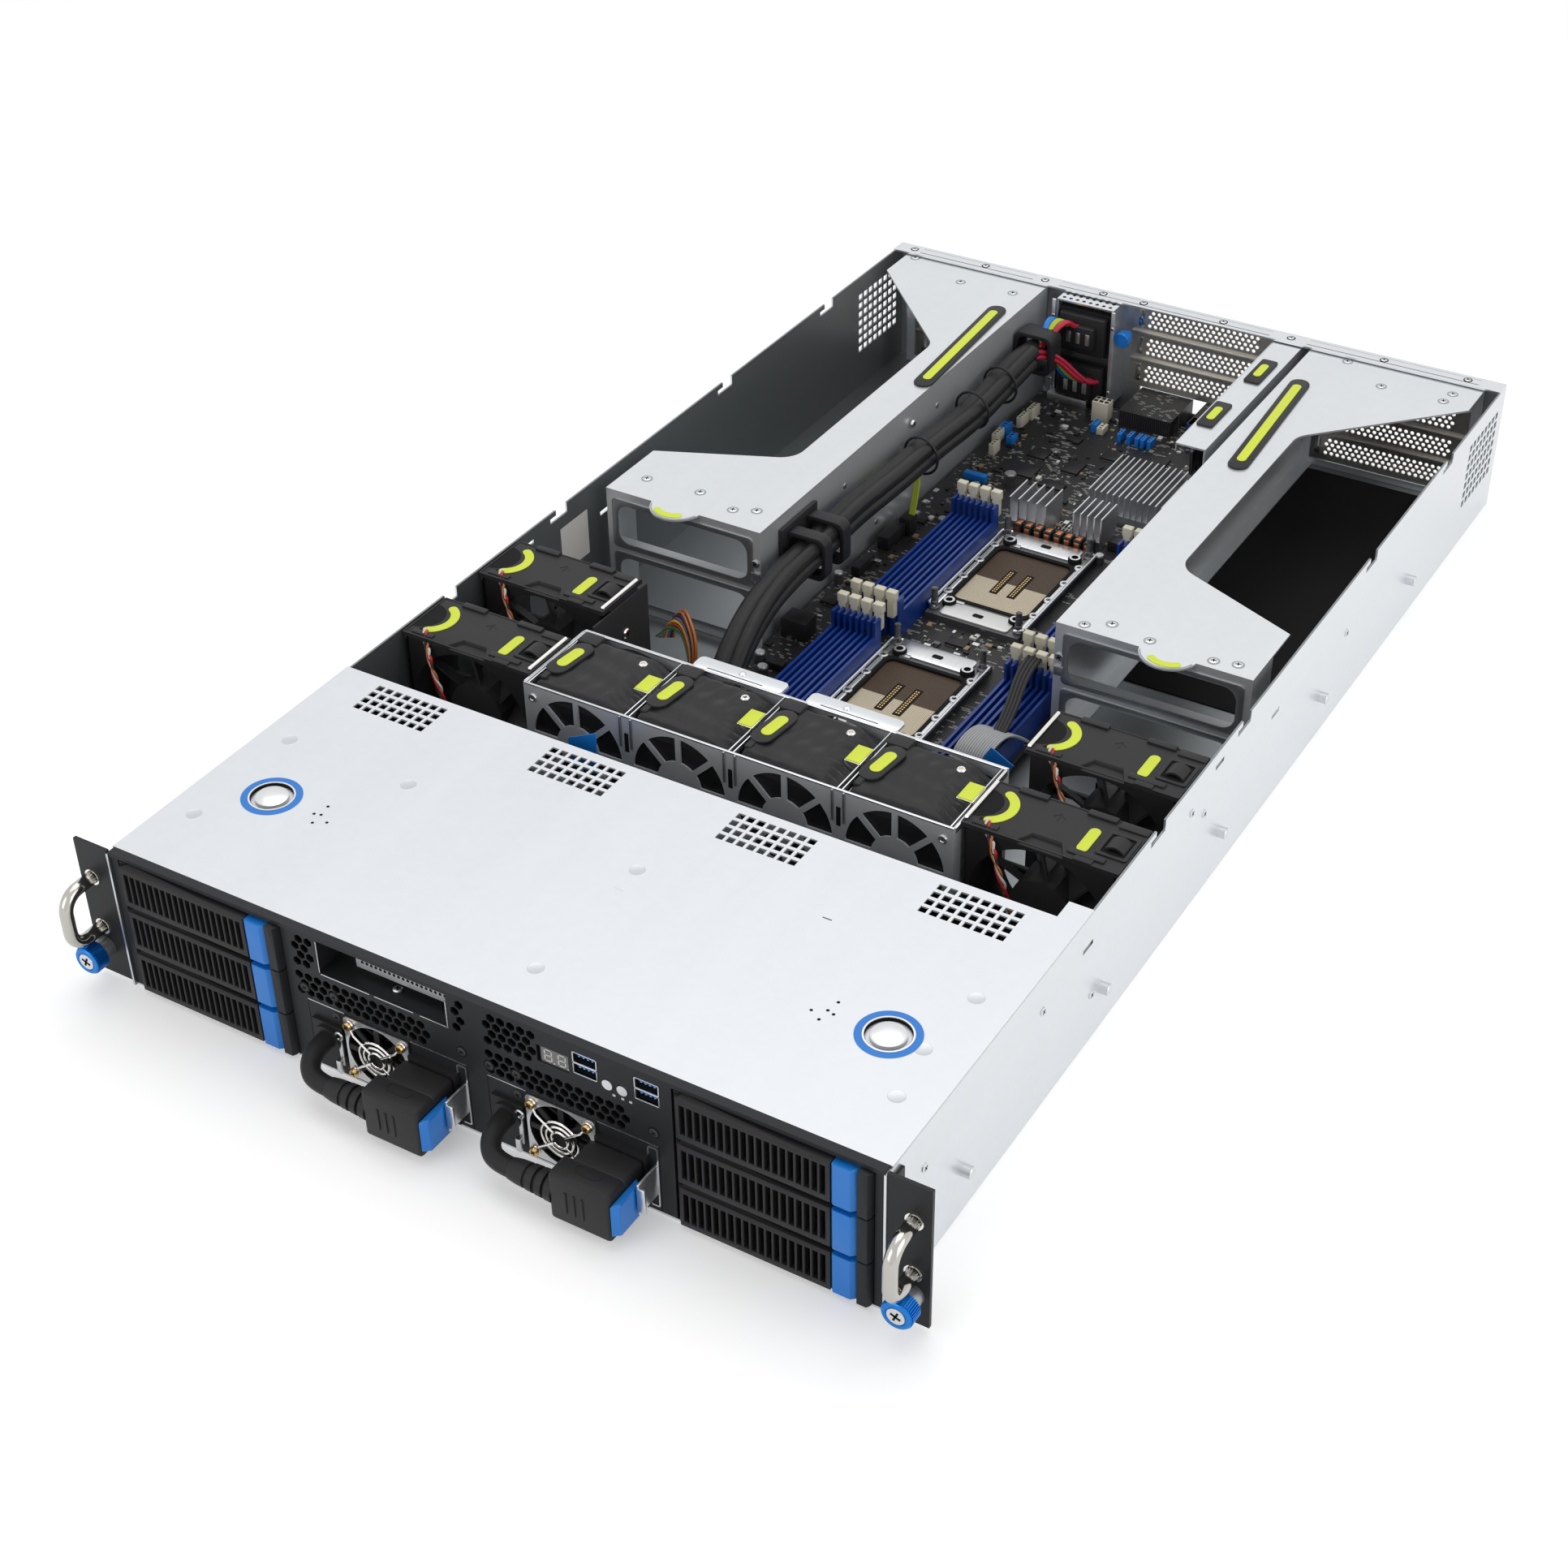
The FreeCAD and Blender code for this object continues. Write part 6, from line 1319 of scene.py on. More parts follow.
@dataclass
class MiddleFans:
    """The wrapped middle fans, their handle tabs, spring tabs and the bright edges of their wall.

    Attributes:
        pitch: Distance between fans.
        front: Front face of the wall.
        rear: Rear face of the wall.
        top: Height of the wall.
        lips: Ends and rivet of each rear lip.
        rivets: X of the front rivets.
        cells: Cells of a wrap's sheet across and along.
        skirt: Height of a wrap's lower rim.
        case_tops: Height above which a case is lowered, and its height then.
    """

    pitch: float = 64.9
    front: float = 226.0
    rear: float = 284.8
    top: float = 82.4
    lips: tuple = ((-61.0, -5.0, -32.0), (10.0, 66.0, 33.0))
    rivets: Span = (-125.1, 125.1)
    cells: tuple = (56, 64)
    skirt: float = 44.0
    case_tops: Span = (80.5, 74.0)

    def centres(self) -> list[float]:
        """Return the middles of the four fans."""
        return [(number - 1.5) * self.pitch for number in range(4)]

    def wrap(self, made: Builder, middle: float, seed: int) -> None:
        """Add a fan's wrapped top: a sheet drawn down at its edges and pleated at its right end."""
        before = set(made.mesh.faces)
        grid = bmesh.ops.create_grid(made.mesh, x_segments=self.cells[0], y_segments=self.cells[1],
                                     size=1.0)["verts"]
        reach = max(vert.co.x for vert in grid)
        dice = random.Random(seed)
        phase = [dice.uniform(0, math.tau) for _ in range(4)]
        half_wide, half_deep = self.pitch / 2 - 2.6, (self.rear - self.front) / 2 - 1.8
        for vert in grid:
            u, v = vert.co.x / reach, vert.co.y / reach
            slope = min(max((u - 0.42) / 0.5, 0.0), 1.0)
            rise = -5.0 * max(0.0, (abs(v) - 0.8) / 0.2) ** 2 - 4.0 * max(0.0, (-u - 0.86) / 0.14) ** 2
            rise -= 5.5 * slope ** 1.6
            rise += 0.55 * slope * math.sin(v * 30 + 2.2 * math.sin(u * 6 + phase[0]))
            rise += 0.22 * math.sin(v * 11 + phase[1] + 2.5 * u) * (1 - slope)
            rise += 0.16 * math.sin(u * 17 + phase[2] + 3 * math.sin(v * 3 + phase[3]))
            edge = max(0.0, -u - 0.55) / 0.45
            rise += 0.35 * edge * math.sin(v * 26 + phase[3])
            vert.co = (middle + u * half_wide, (self.front + self.rear) / 2 + v * half_deep, self.top + 0.6
                       + rise)
        rim = [edge for vert in grid for edge in vert.link_edges if edge.is_boundary]
        made_rim = bmesh.ops.extrude_edge_only(made.mesh, edges=list(set(rim)))
        lower = [item for item in made_rim["geom"] if isinstance(item, bmesh.types.BMVert)]
        for vert in lower:
            vert.co.z = self.skirt
        made.close_off(before, FOAM, True)

    def tabs(self, made: Builder, middle: float) -> None:
        """Add a fan's handle tab, spring tab, screw and corner block."""
        x, y = middle - 23.6, 256.0
        made.plate(stadium(x, y, 33.0, 13.0, 84), 83.0, 1.6, LID, 0.5)
        made.plate(stadium(x + 0.4, y, 19.5, 6.8, 84), 84.6, 0.5, NEON, 0.15)
        made.block((x - 7.5, x + 5.5), (273.0, 283.0), (76.0, 84.4), LID, 1.2)
        made.block((x - 5.0, x - 1.0), (234.0, 243.0), (78.0, 84.0), LID, 0.6)
        x = middle + 27.4
        made.block((x - 4.7, x + 4.7), (248.6, 249.4), (73.0, 84.0), CHROME, 0.2)
        made.block((x + 3.9, x + 4.7), (248.6, 263.6), (77.0, 84.0), CHROME, 0.2)
        made.block((x - 4.7, x + 4.7), (248.6, 263.8), (83.4, 84.1), CHROME, 0.2)
        made.block((x - 4.3, x + 4.3), (249.0, 263.2), (84.1, 84.8), NEON, 0.25)
        made.lathe((middle + 13.5, 272.0, 81.3), UP,
                   [(0, 0), (2.5, 0), (2.5, 2.0), (2.0, 2.6), (1.1, 2.6), (0.9, 1.6), (0, 1.6)], CHROME, 20)

    def edges(self, made: Builder) -> None:
        """Add the folded bright edges, slots, rivets and rear lips of the wall."""
        left, right = -2 * self.pitch - 1.2, 2 * self.pitch + 1.2
        for y in (self.front - 0.1, self.rear - 1.3):
            made.block((left, right), (y, y + 1.5), (self.top - 0.4, self.top + 0.6), STEEL, 0.25)
        for number in range(-2, 3):
            x = number * self.pitch
            for step in (-1.7, 1.1):
                made.block((x + step, x + step + 0.7), (self.front + 1.4, self.rear - 1.2),
                           (self.top - 3.0, self.top + 0.5), STEEL, 0.15)
            if abs(number) < 2:
                # painted shade: darker zinc folds either side of each slot
                made.block((x - 4.0, x - 2.8), (self.front - 1.2, self.front), (63.0, self.top), SHADED_ZINC,
                           0.3)
                made.block((x + 2.8, x + 4.0), (self.front - 1.2, self.front), (63.0, self.top), SHADED_ZINC,
                           0.3)
                made.block((x - 1.3, x + 1.3), (self.front - 0.12, self.front + 0.1), (60.0, 72.0), VOID)
        for x in self.rivets:
            made.lathe((x, self.front, 74.5), OUT,
                       [(0, 0.8), (1.0, 0.8), (1.3, 1.2), (2.3, 1.0), (2.6, 0), (0, 0)], STEEL, 24)
        for low, high, rivet in self.lips:
            made.plate(rounded((low, high), (284.6, 295.6), 3.0), self.top, 0.5, ZINC, 0.1)
            made.dome((rivet, 290.6, self.top + 0.5), UP, 2.2, 1.3, STEEL, 20)
            made.block((low + 9.0, high - 12.0), (286.2, 286.9), (self.top + 0.5, self.top + 0.55), VOID)

    def build(self) -> None:
        """Build the fan row's pieces."""
        for number, middle in enumerate(self.centres(), 1):
            made = Builder(f"fan_wrap_{number}", [FOAM, LID, NEON, CHROME], slot="black_plastic")
            self.wrap(made, middle, 40 + number)
            self.tabs(made, middle)
            made.make()
        made = Builder("fan_wall_edges", [STEEL, SHADED_ZINC, VOID, ZINC], slot="galvanised_steel")
        self.edges(made)
        made.make()
        wide = 2 * self.pitch + 1

        def sink(work: bmesh.types.BMesh) -> None:
            """Lower the tops of the middle cases under their wraps."""
            for vert in work.verts:
                if abs(vert.co.x) < wide * MM and vert.co.z > self.case_tops[0] * MM:
                    vert.co.z = self.case_tops[1] * MM

        eased_copy("fan_frames", [LID], "fan_cases", 0.3, sink)


@dataclass
class SideFans:
    """Lid fittings and twisted leads of the four flat side fans.

    Attributes:
        middles: X of the left and right fans.
        rows: Front faces of the two rows.
        lid: Height of the lids.
        stops: Ends of the stops at a lid's rear edge.
        rods: Front ends of the retaining rods.
        loops: Places of the wall loops along Y.
        steps: Steps along a twisted lead.
    """

    middles: Span = (-174.5, 174.5)
    rows: Span = (233.0, 304.0)
    lid: float = 83.9
    stops: tuple = ((-29.0, -13.0), (9.0, 25.0))
    rods: tuple = ((-133.5, 236.0), (-133.5, 306.0), (132.6, 236.0), (132.6, 306.0))
    loops: tuple = (233.0, 262.0, 304.0, 333.0)
    steps: int = 26

    def fittings(self, made: Builder, x: float, y: float) -> None:
        """Add one lid's neon marks, latch, ribs, finger notch and arrow."""
        top = self.lid
        made.plate(banana(x - 38.0, y + 19.0, 13.5, 5.2, -62, 62), top, 0.5, NEON, 0.12)
        made.plate(arc(x - 42.6, y + 19.0, 12.4, -90, 90, 16), top - 0.04, 0.1, VOID)
        made.plate(stadium(x + 18.5, y + 17.0, 20.5, 6.0, 90), top, 0.5, NEON, 0.12)
        made.pierced(rounded((x + 25.0, x + 42.0), (y + 9.0, y + 29.0), 1.5),
                     rounded((x + 27.0, x + 40.0), (y + 11.0, y + 27.0), 1.0), top - 0.1, 1.0, LID, "z",
                     0.2)
        made.block((x + 27.0, x + 40.0), (y + 11.0, y + 27.0), (top - 0.1, top + 0.08), VOID)
        made.plate(banana(x + 33.5, top - 3.4, 6.0, 1.2, 35, 145), y + 14.0, 10.0, LID, 0.0, "y", True)
        for low, high in self.stops:
            made.block((x + low, x + high), (y + 35.2, y + 39.4), (top - 0.4, top + 1.5), LID, 0.5)
        made.block((x + 27.0, x + 43.0), (y + 33.0, y + 38.6), (top - 0.4, top + 1.0), LID, 0.4)
        made.block((x + 13.0, x + 33.0), (y + 3.0, y + 7.0), (top - 0.2, top + 1.1), LID, 0.4)
        made.block((x + 18.0, x + 28.0), (y - 0.8, y + 3.2), (top - 0.2, top + 0.9), LID, 0.4)
        made.block((x - 38.0, x - 24.0), (y + 1.0, y + 4.6), (top - 0.2, top + 0.9), LID, 0.4)
        made.block((x - 36.0, x - 29.0), (y + 4.6, y + 7.6), (top - 0.02, top + 0.08), VOID)
        for angle, du, dv in ((45, -1.6, 1.2), (-45, 1.6, 1.2), (90, 0.0, -1.0)):
            made.bar((x - 2.0 + du, y + 27.0 + dv, top), (4.6, 0.45, 0.4), LID,
                     turn=Matrix.Rotation(math.radians(angle), 4, "Z"))
        made.pierced(rounded((x - 43.0, x + 43.0), (y - 1.0, y + 39.0), 1.0),
                     rounded((x - 42.0, x + 42.0), (y + 0.0, y + 38.0), 0.6), top - 0.2, 0.5, LID)

    def leads(self) -> None:
        """Make the twisted leads that drop from each lid's front left corner."""
        for number, (name, finish) in enumerate((("red", RED), ("white", WHITE), ("orange", ORANGE),
                                                 ("black", BLACK_PLASTIC))):
            routes = []
            for x in self.middles:
                for y in self.rows:
                    start, knee, end = (Vector(point) for point in ((x - 31.0, y + 5.0, 85.0),
                                        (x - 22.0, y - 9.0, 80.0), (x - 11.0, y - 7.0, 44.0)))
                    route = []
                    for step in range(self.steps + 1):
                        share = step / self.steps
                        place = start.lerp(knee, share).lerp(knee.lerp(end, share), share)
                        angle = share * 15 + number * math.pi / 2
                        spread = 1.15 + 0.8 * (number % 2) * math.sin(share * 9)
                        route.append(place + Vector((math.cos(angle), 0.4 * math.sin(angle),
                                                     math.sin(angle))) * spread)
                    routes.append(route)
            wire(f"fan_leads_{name}", routes, 0.75, finish, slot="cord_jacket")

    def rails(self, made: Builder) -> None:
        """Add the bright retaining rods, wall loops and the black bracket beside the fans."""
        for x, y in self.rods:
            made.rod((x, y, 84.6), (x, y + 34.0, 84.6), 1.3, CHROME, 12)
            made.dome((x, y, 84.6), OUT, 1.3, 1.2, CHROME, 12)
        for side in (-1, 1):
            for y in self.loops:
                made.rod((side * 216.6, y, 80.0), (side * 216.6, y + 9.0, 80.0), 1.0, CHROME, 10)
        made.block((-131.4, -130.2), (292.0, 346.0), (6.0, 80.5), LID, 0.3)
        made.screw((-130.2, 322.0, 60.0), (1, 0, 0), 3.2, 1.4, CHROME, VOID)

    def build(self) -> None:
        """Build the side fans' pieces."""
        made = Builder("side_fan_fittings", [LID, NEON, VOID, CHROME], slot="black_plastic")
        for x in self.middles:
            for y in self.rows:
                self.fittings(made, x, y)
        self.rails(made)
        made.make()
        self.leads()


@dataclass
class CardBracket:
    """Pierced bracket that closes the card opening of the front panel.

    Attributes:
        face: Distance of its face behind the front plane.
        span: Its ends along X.
        rows: Heights of its rows of holes.
        pitch: Distance between holes.
    """

    face: float = 9.5
    span: Span = (-74.0, -14.0)
    rows: Span = (70.6, 73.4)
    pitch: float = 2.7

    def build(self) -> None:
        """Build the bracket."""
        made = Builder("card_bracket_plate", [COVER_ZINC, VOID], slot="nickel_steel")
        made.block(self.span, (self.face, self.face + 0.6), (66.5, 80.0), COVER_ZINC, 0.2)
        for row, height in enumerate(self.rows):
            for column in range(20):
                u = self.span[0] + 4.0 + (column + row / 2) * self.pitch
                made.plate(round_hole(u, height, 0.9, 2), self.face - 0.05, 0.05, VOID, 0.0, "y")
        made.make()


# ------------------------------------------------------------------ cages, walls and rear


def fillet(corner: Span, first: Span, second: Span, radius: float) -> Outline:
    """Return the outline that fills a corner with a round.

    Args:
        corner: The corner.
        first: A point on one of its edges.
        second: A point on its other edge.
        radius: The round's radius.

    Returns:
        The outline, from the corner along the first edge and round to the second.
    """
    root, one, two = (Vector((*point, 0)) for point in (corner, first, second))
    along, across = (one - root).normalized(), (two - root).normalized()
    half = along.angle(across) / 2
    near = root + along * radius / math.tan(half)
    far = root + across * radius / math.tan(half)
    middle = root + (along + across).normalized() * radius / math.sin(half)
    points = [(root.x, root.y)]
    for step in range(9):
        spoke = (near - middle).lerp(far - middle, step / 8).normalized() * radius
        points.append(((middle + spoke).x, (middle + spoke).y))
    return points


@dataclass
class CardCages:
    """Neon marks, bar holders, screws and rounded openings of the two card cages.

    Attributes:
        top: Height of the roofs.
        front: Front face of the cages.
        outer: Distance from the middle to their outer sides.
        strip: Distance from the middle to the outer edge of the narrow strip.
        inners: Distances from the middle to the left and right inner walls.
        bars: Distances from the middle to the left and right bar holders.
        lean: Angle of the bar holders in degrees.
        openings: Bottom and top of each front opening.
        rivets: Places of the inner wall's rivets in Y and Z.
    """

    top: float = 84.0
    front: float = 420.0
    outer: float = 208.8
    strip: float = 128.0
    inners: Span = (100.0, 92.0)
    left_screws: tuple = ((-193, 441), (-156, 443), (-128, 435), (-115, 441), (-201, 795), (-155, 776),
                          (-116, 778))
    right_screws: tuple = ((107, 425), (120, 433), (145, 428), (183, 427), (196, 430), (119, 794),
                           (150, 772), (191, 772), (193, 784))
    bars: Span = (109.5, 107.5)
    lean: float = 93.2
    openings: tuple = ((8.0, 40.0), (47.0, 76.8))
    rivets: tuple = ((452.0, 30.0), (520.0, 66.0), (560.0, 20.0), (640.0, 66.0), (700.0, 24.0),
                     (760.0, 30.0))

    def roof(self, made: Builder, side: int) -> None:
        """Add one roof's neon marks, bar holder and rounded window corners."""
        top, front = self.top, self.front
        made.plate(banana(side * 160.0, front + 3.0, 12.4, 4.4, -128, -52), top, 0.5, NEON, 0.12)
        # painted shade: a thin darker zinc arc round the neon mark
        made.plate(banana(side * 159.0, front + 3.0, 16.2, 0.8, -160, -20), top, 0.25, SHADED_ZINC)
        bar = side * self.bars[side > 0]
        made.plate(stadium(bar, 690.0, 128.0, 13.0, self.lean), top, 1.5, LID, 0.6)
        made.plate(stadium(bar, 690.0, 110.0, 5.8, self.lean), top + 1.5, 0.45, NEON, 0.12)
        corners = (((self.strip, 507.0), (self.outer, 472.0), (self.strip, 684.0)),
                   ((self.strip, 684.0), (self.strip, 507.0), (self.outer, 768.0)))
        for points in corners:
            made.plate(fillet(*((side * u, v) for u, v in points), 16.0), top - 1.2, 1.2, CAGE_ZINC)

    def windows(self, made: Builder, side: int, inner: float) -> None:
        """Add the rounded borders of one cage's front openings."""
        low, high = sorted((side * (inner + 7.0), side * (self.outer - 6.0)))
        # painted shade: the borders of the front openings take the darker zinc
        for bottom, rise in self.openings:
            made.pierced(rounded((low - 2.0, high + 2.0), (bottom - 2.0, rise + 2.0), 3.0),
                         rounded((low + 2.0, high - 2.0), (bottom + 1.6, rise - 1.6), 8.0),
                         self.front - 0.8, 0.8, SHADED_ZINC, "y", 0.3)
        x = side * (inner + 3.5)
        # painted shade: the screw and its block take the darker zinc
        made.screw((x, self.front, 62.0), OUT, 2.8, 1.2, SHADED_ZINC, VOID)
        made.block((x - 3.0, x + 3.0), (self.front - 1.4, self.front), (50.0, 56.0), SHADED_ZINC, 0.5)

    def build(self) -> None:
        """Build both cages' fittings."""
        for side, name, inner, screws in ((-1, "left", self.inners[0], self.left_screws),
                                          (1, "right", self.inners[1], self.right_screws)):
            made = Builder(f"cage_fittings_{name}", [CAGE_ZINC, NEON, LID, SHADED_ZINC, VOID, STEEL],
                           slot="galvanised_steel")
            self.roof(made, side)
            self.windows(made, side, inner)
            # painted shade: a darker zinc ring round each roof screw
            for u, v in screws:
                made.ring((u, v, self.top), UP, 3.6, 2.7, 0.12, SHADED_ZINC, 24)
                made.screw((u, v, self.top), UP, 2.5, 0.5, STEEL, VOID, spin=0.3)
            # painted shade: the inner wall's rivets take the darker zinc
            for y, z in self.rivets:
                made.dome((side * inner, y, z), (-side, 0, 0), 2.0, 0.7, SHADED_ZINC, 16)
            made.make()


@dataclass
class WallsAndRear:
    """Pierced side walls, rear covers, inlet bracket, riser tabs and rear lip.

    Attributes:
        wall: Outer face of a side wall.
        lip: Height of the rear lip.
        vents: Columns and rows of a wall's vent field.
        slots: Places of a wall's long slots in Y and Z.
        screws: Places of a wall's screws in Y and Z.
        studs: Places of the rail studs along Y.
        inside: Distance from the middle within which inward and upward faces get painted shade.
        cover_pitch: Distance between the holes of a slot cover.
        tabs: Middles of the riser's touch tabs.
        seams: Ends of the rear lip's seams.
        lip_screws: X of the rear lip's screws.
    """

    wall: float = 219.5
    lip: float = 86.0
    vents: tuple = (8, 7)
    slots: tuple = ((196.0, 66.0), (352.0, 76.0), (431.0, 60.0))
    screws: tuple = ((33.0, 60.0), (148.0, 62.0), (204.0, 30.0), (318.0, 66.0), (336.0, 54.0),
                     (540.0, 50.0))
    studs: tuple = (71.2, 216.0, 361.0, 506.0, 651.0)
    inside: float = 219.2
    cover_pitch: float = 4.2
    tabs: tuple = ((73.0, 684.0), (76.0, 752.0))
    seams: tuple = ((-200.0, -112.0), (-92.0, 62.0), (88.0, 204.0))
    lip_screws: tuple = (-206.0, -150.0, -104.0, -60.0, -30.0, 28.0, 76.0, 140.0, 196.0)

    def walls(self) -> None:
        """Stand a pierced copy in for the chassis tray with painted shade on its inner faces, and add the
        small wall parts.
        """
        finishes = [ZINC, WALL_SHADE_ZINC]
        shell = eased_copy("chassis_tray", finishes, "chassis_shell", 0.0)
        holes = Builder("wall_vents", [VOID])
        for side in (-1, 1):
            for column in range(self.vents[0]):
                for row in range(self.vents[1]):
                    holes.bar((side * self.wall, 748.0 + column * 7.0, 30.0 + row * 6.6), (6.0, 4.6, 4.4))
            for y, z in self.slots:
                holes.bar((side * self.wall, y, z), (6.0, 11.0, 2.6))
        carve(shell, holes)
        # painted shade: inward wall faces and upward faces inside the chassis take the darker zinc
        for face in shell.data.polygons:
            inward = face.normal.x * face.center.x < 0 and abs(face.normal.x) > 0.9
            if (inward or face.normal.z > 0.9) and abs(face.center.x) < self.inside * MM:
                face.material_index = finishes.index(WALL_SHADE_ZINC)
        made = Builder("wall_screws", [STEEL, VOID, WHITE], slot="nickel_steel")
        for side in (-1, 1):
            for y, z in self.screws:
                made.screw((side * self.wall, y, z), (side, 0, 0), 2.4, 0.7, STEEL, VOID)
            for y in self.studs:
                made.lathe((side * (self.wall + 4.0), y, 26.0), (side, 0, 0),
                           [(0, 0), (3.3, 0), (3.3, 0.5), (2.8, 0.9), (0, 0.9)], STEEL, 24)
        made.block((-218.4, -218.1), (384.0, 412.0), (40.0, 70.0), WHITE)
        # painted shade: a near-black sheet on the chassis floor inside the right card cage
        made.block((101.0, 207.0), (500.0, 792.0), (1.0, 2.0), VOID, 0.2)
        made.make()

    def covers(self) -> None:
        """Perforate the slot covers and fold the strips between them."""
        sheets = eased_copy("slot_covers", [NICKEL], "slot_cover_sheets", 0.0)
        holes = Builder("cover_holes", [NICKEL])
        made = Builder("slot_cover_folds", [NICKEL, CHROME], slot="nickel_steel")
        for x, y, z in islands("slot_covers"):
            if y[0] < 400:
                continue
            for row in range(4):
                for column in range(int((x[1] - x[0] - 22) / self.cover_pitch)):
                    u, v = x[0] + 12 + (column + (row % 2) / 2) * self.cover_pitch, z[0] + 4.4 + row * 3.2
                    holes.rod((u, y[0] - 1, v), (u, y[1] + 1, v), 1.35, NICKEL, 8)
            made.block((x[0], x[1]), (y[0] - 2.2, y[0]), (z[1] - 0.5, z[1] + 2.1), NICKEL, 0.4)
            made.block((x[0] + 4, x[0] + 8), (y[0] - 0.3, y[0]), (z[0] + 3, z[1] - 3), CHROME, 0.1)
        carve(sheets, holes)
        made.make()

    def inlets(self) -> None:
        """Make the inlet bracket's pierced top and flanges, the blue knob and the inlets' fronts."""
        made = Builder("inlet_bracket", [ZINC, VOID, BLACK_PLASTIC, BLUE, STEEL, NEON, LID],
                       slot="galvanised_steel")
        for column in range(8):
            for row in range(3):
                made.rod((-82.5 + column * 4.9, 790.0 + row * 5.5, 84.0),
                         (-82.5 + column * 4.9, 790.0 + row * 5.5, 84.05), 1.3, VOID, 10)
        for x in (-88.6, -44.4):
            made.block((x, x + 2.6), (783.6, 785.0), (12.0, 84.0), ZINC, 0.3)
            for z in (24.0, 72.0):
                made.screw((x + 1.3, 783.6, z), OUT, 1.3, 0.5, STEEL, VOID)
        for low in (12.6, 49.1):
            made.block((-82.0, -48.0), (781.5, 788.0), (low, low + 28.0), BLACK_PLASTIC, 1.2)
            made.block((-76.0, -54.0), (777.0, 782.0), (low + 6, low + 22), BLACK_PLASTIC, 1.0)
            for step in range(3):
                made.bar((-72.0 + step * 7.0, 777.0, low + 14), (3.2, 1.6, 8.0), STEEL, 0.2)
        made.lathe((-38.5, 801.0, 62.0), OUT, [(0, 0), (3.0, 0), (3.0, 5.0), (5.4, 5.6), (5.4, 11.0),
                                               (4.8, 12.0), (0, 12.0)], BLUE, 28)
        for x, y in self.tabs:
            made.plate(rounded((x - 5.5, x + 5.5), (y - 17.0, y + 17.0), 2.0), 84.0, 1.4, LID, 0.5)
            made.plate(stadium(x, y, 18.0, 5.2, 90), 85.4, 0.45, NEON, 0.1)
        made.block((66.0, 67.0), (640.0, 806.0), (78.0, 84.0), ZINC, 0.2)
        made.make()

    def rear_lip(self) -> None:
        """Make the seams and screws of the rear lip."""
        made = Builder("rear_lip_marks", [VOID, STEEL, SHADED_ZINC], slot="galvanised_steel")
        for low, high in self.seams:
            made.block((low, high), (800.2, 800.7), (self.lip, self.lip + 0.05), VOID)
            # painted shade: a darker zinc strip along the far edge of each seam
            made.block((low, high), (806.6, 807.0), (self.lip, self.lip + 0.05), SHADED_ZINC)
        for x in self.lip_screws:
            made.ring((x, 803.6, self.lip), UP, 2.9, 2.2, 0.1, VOID, 20)
            made.screw((x, 803.6, self.lip), UP, 2.1, 0.5, STEEL, VOID)
        made.make()

    def build(self) -> None:
        """Build the walls and the rear."""
        self.walls()
        self.covers()
        self.inlets()
        self.rear_lip()


# ------------------------------------------------------------------ board


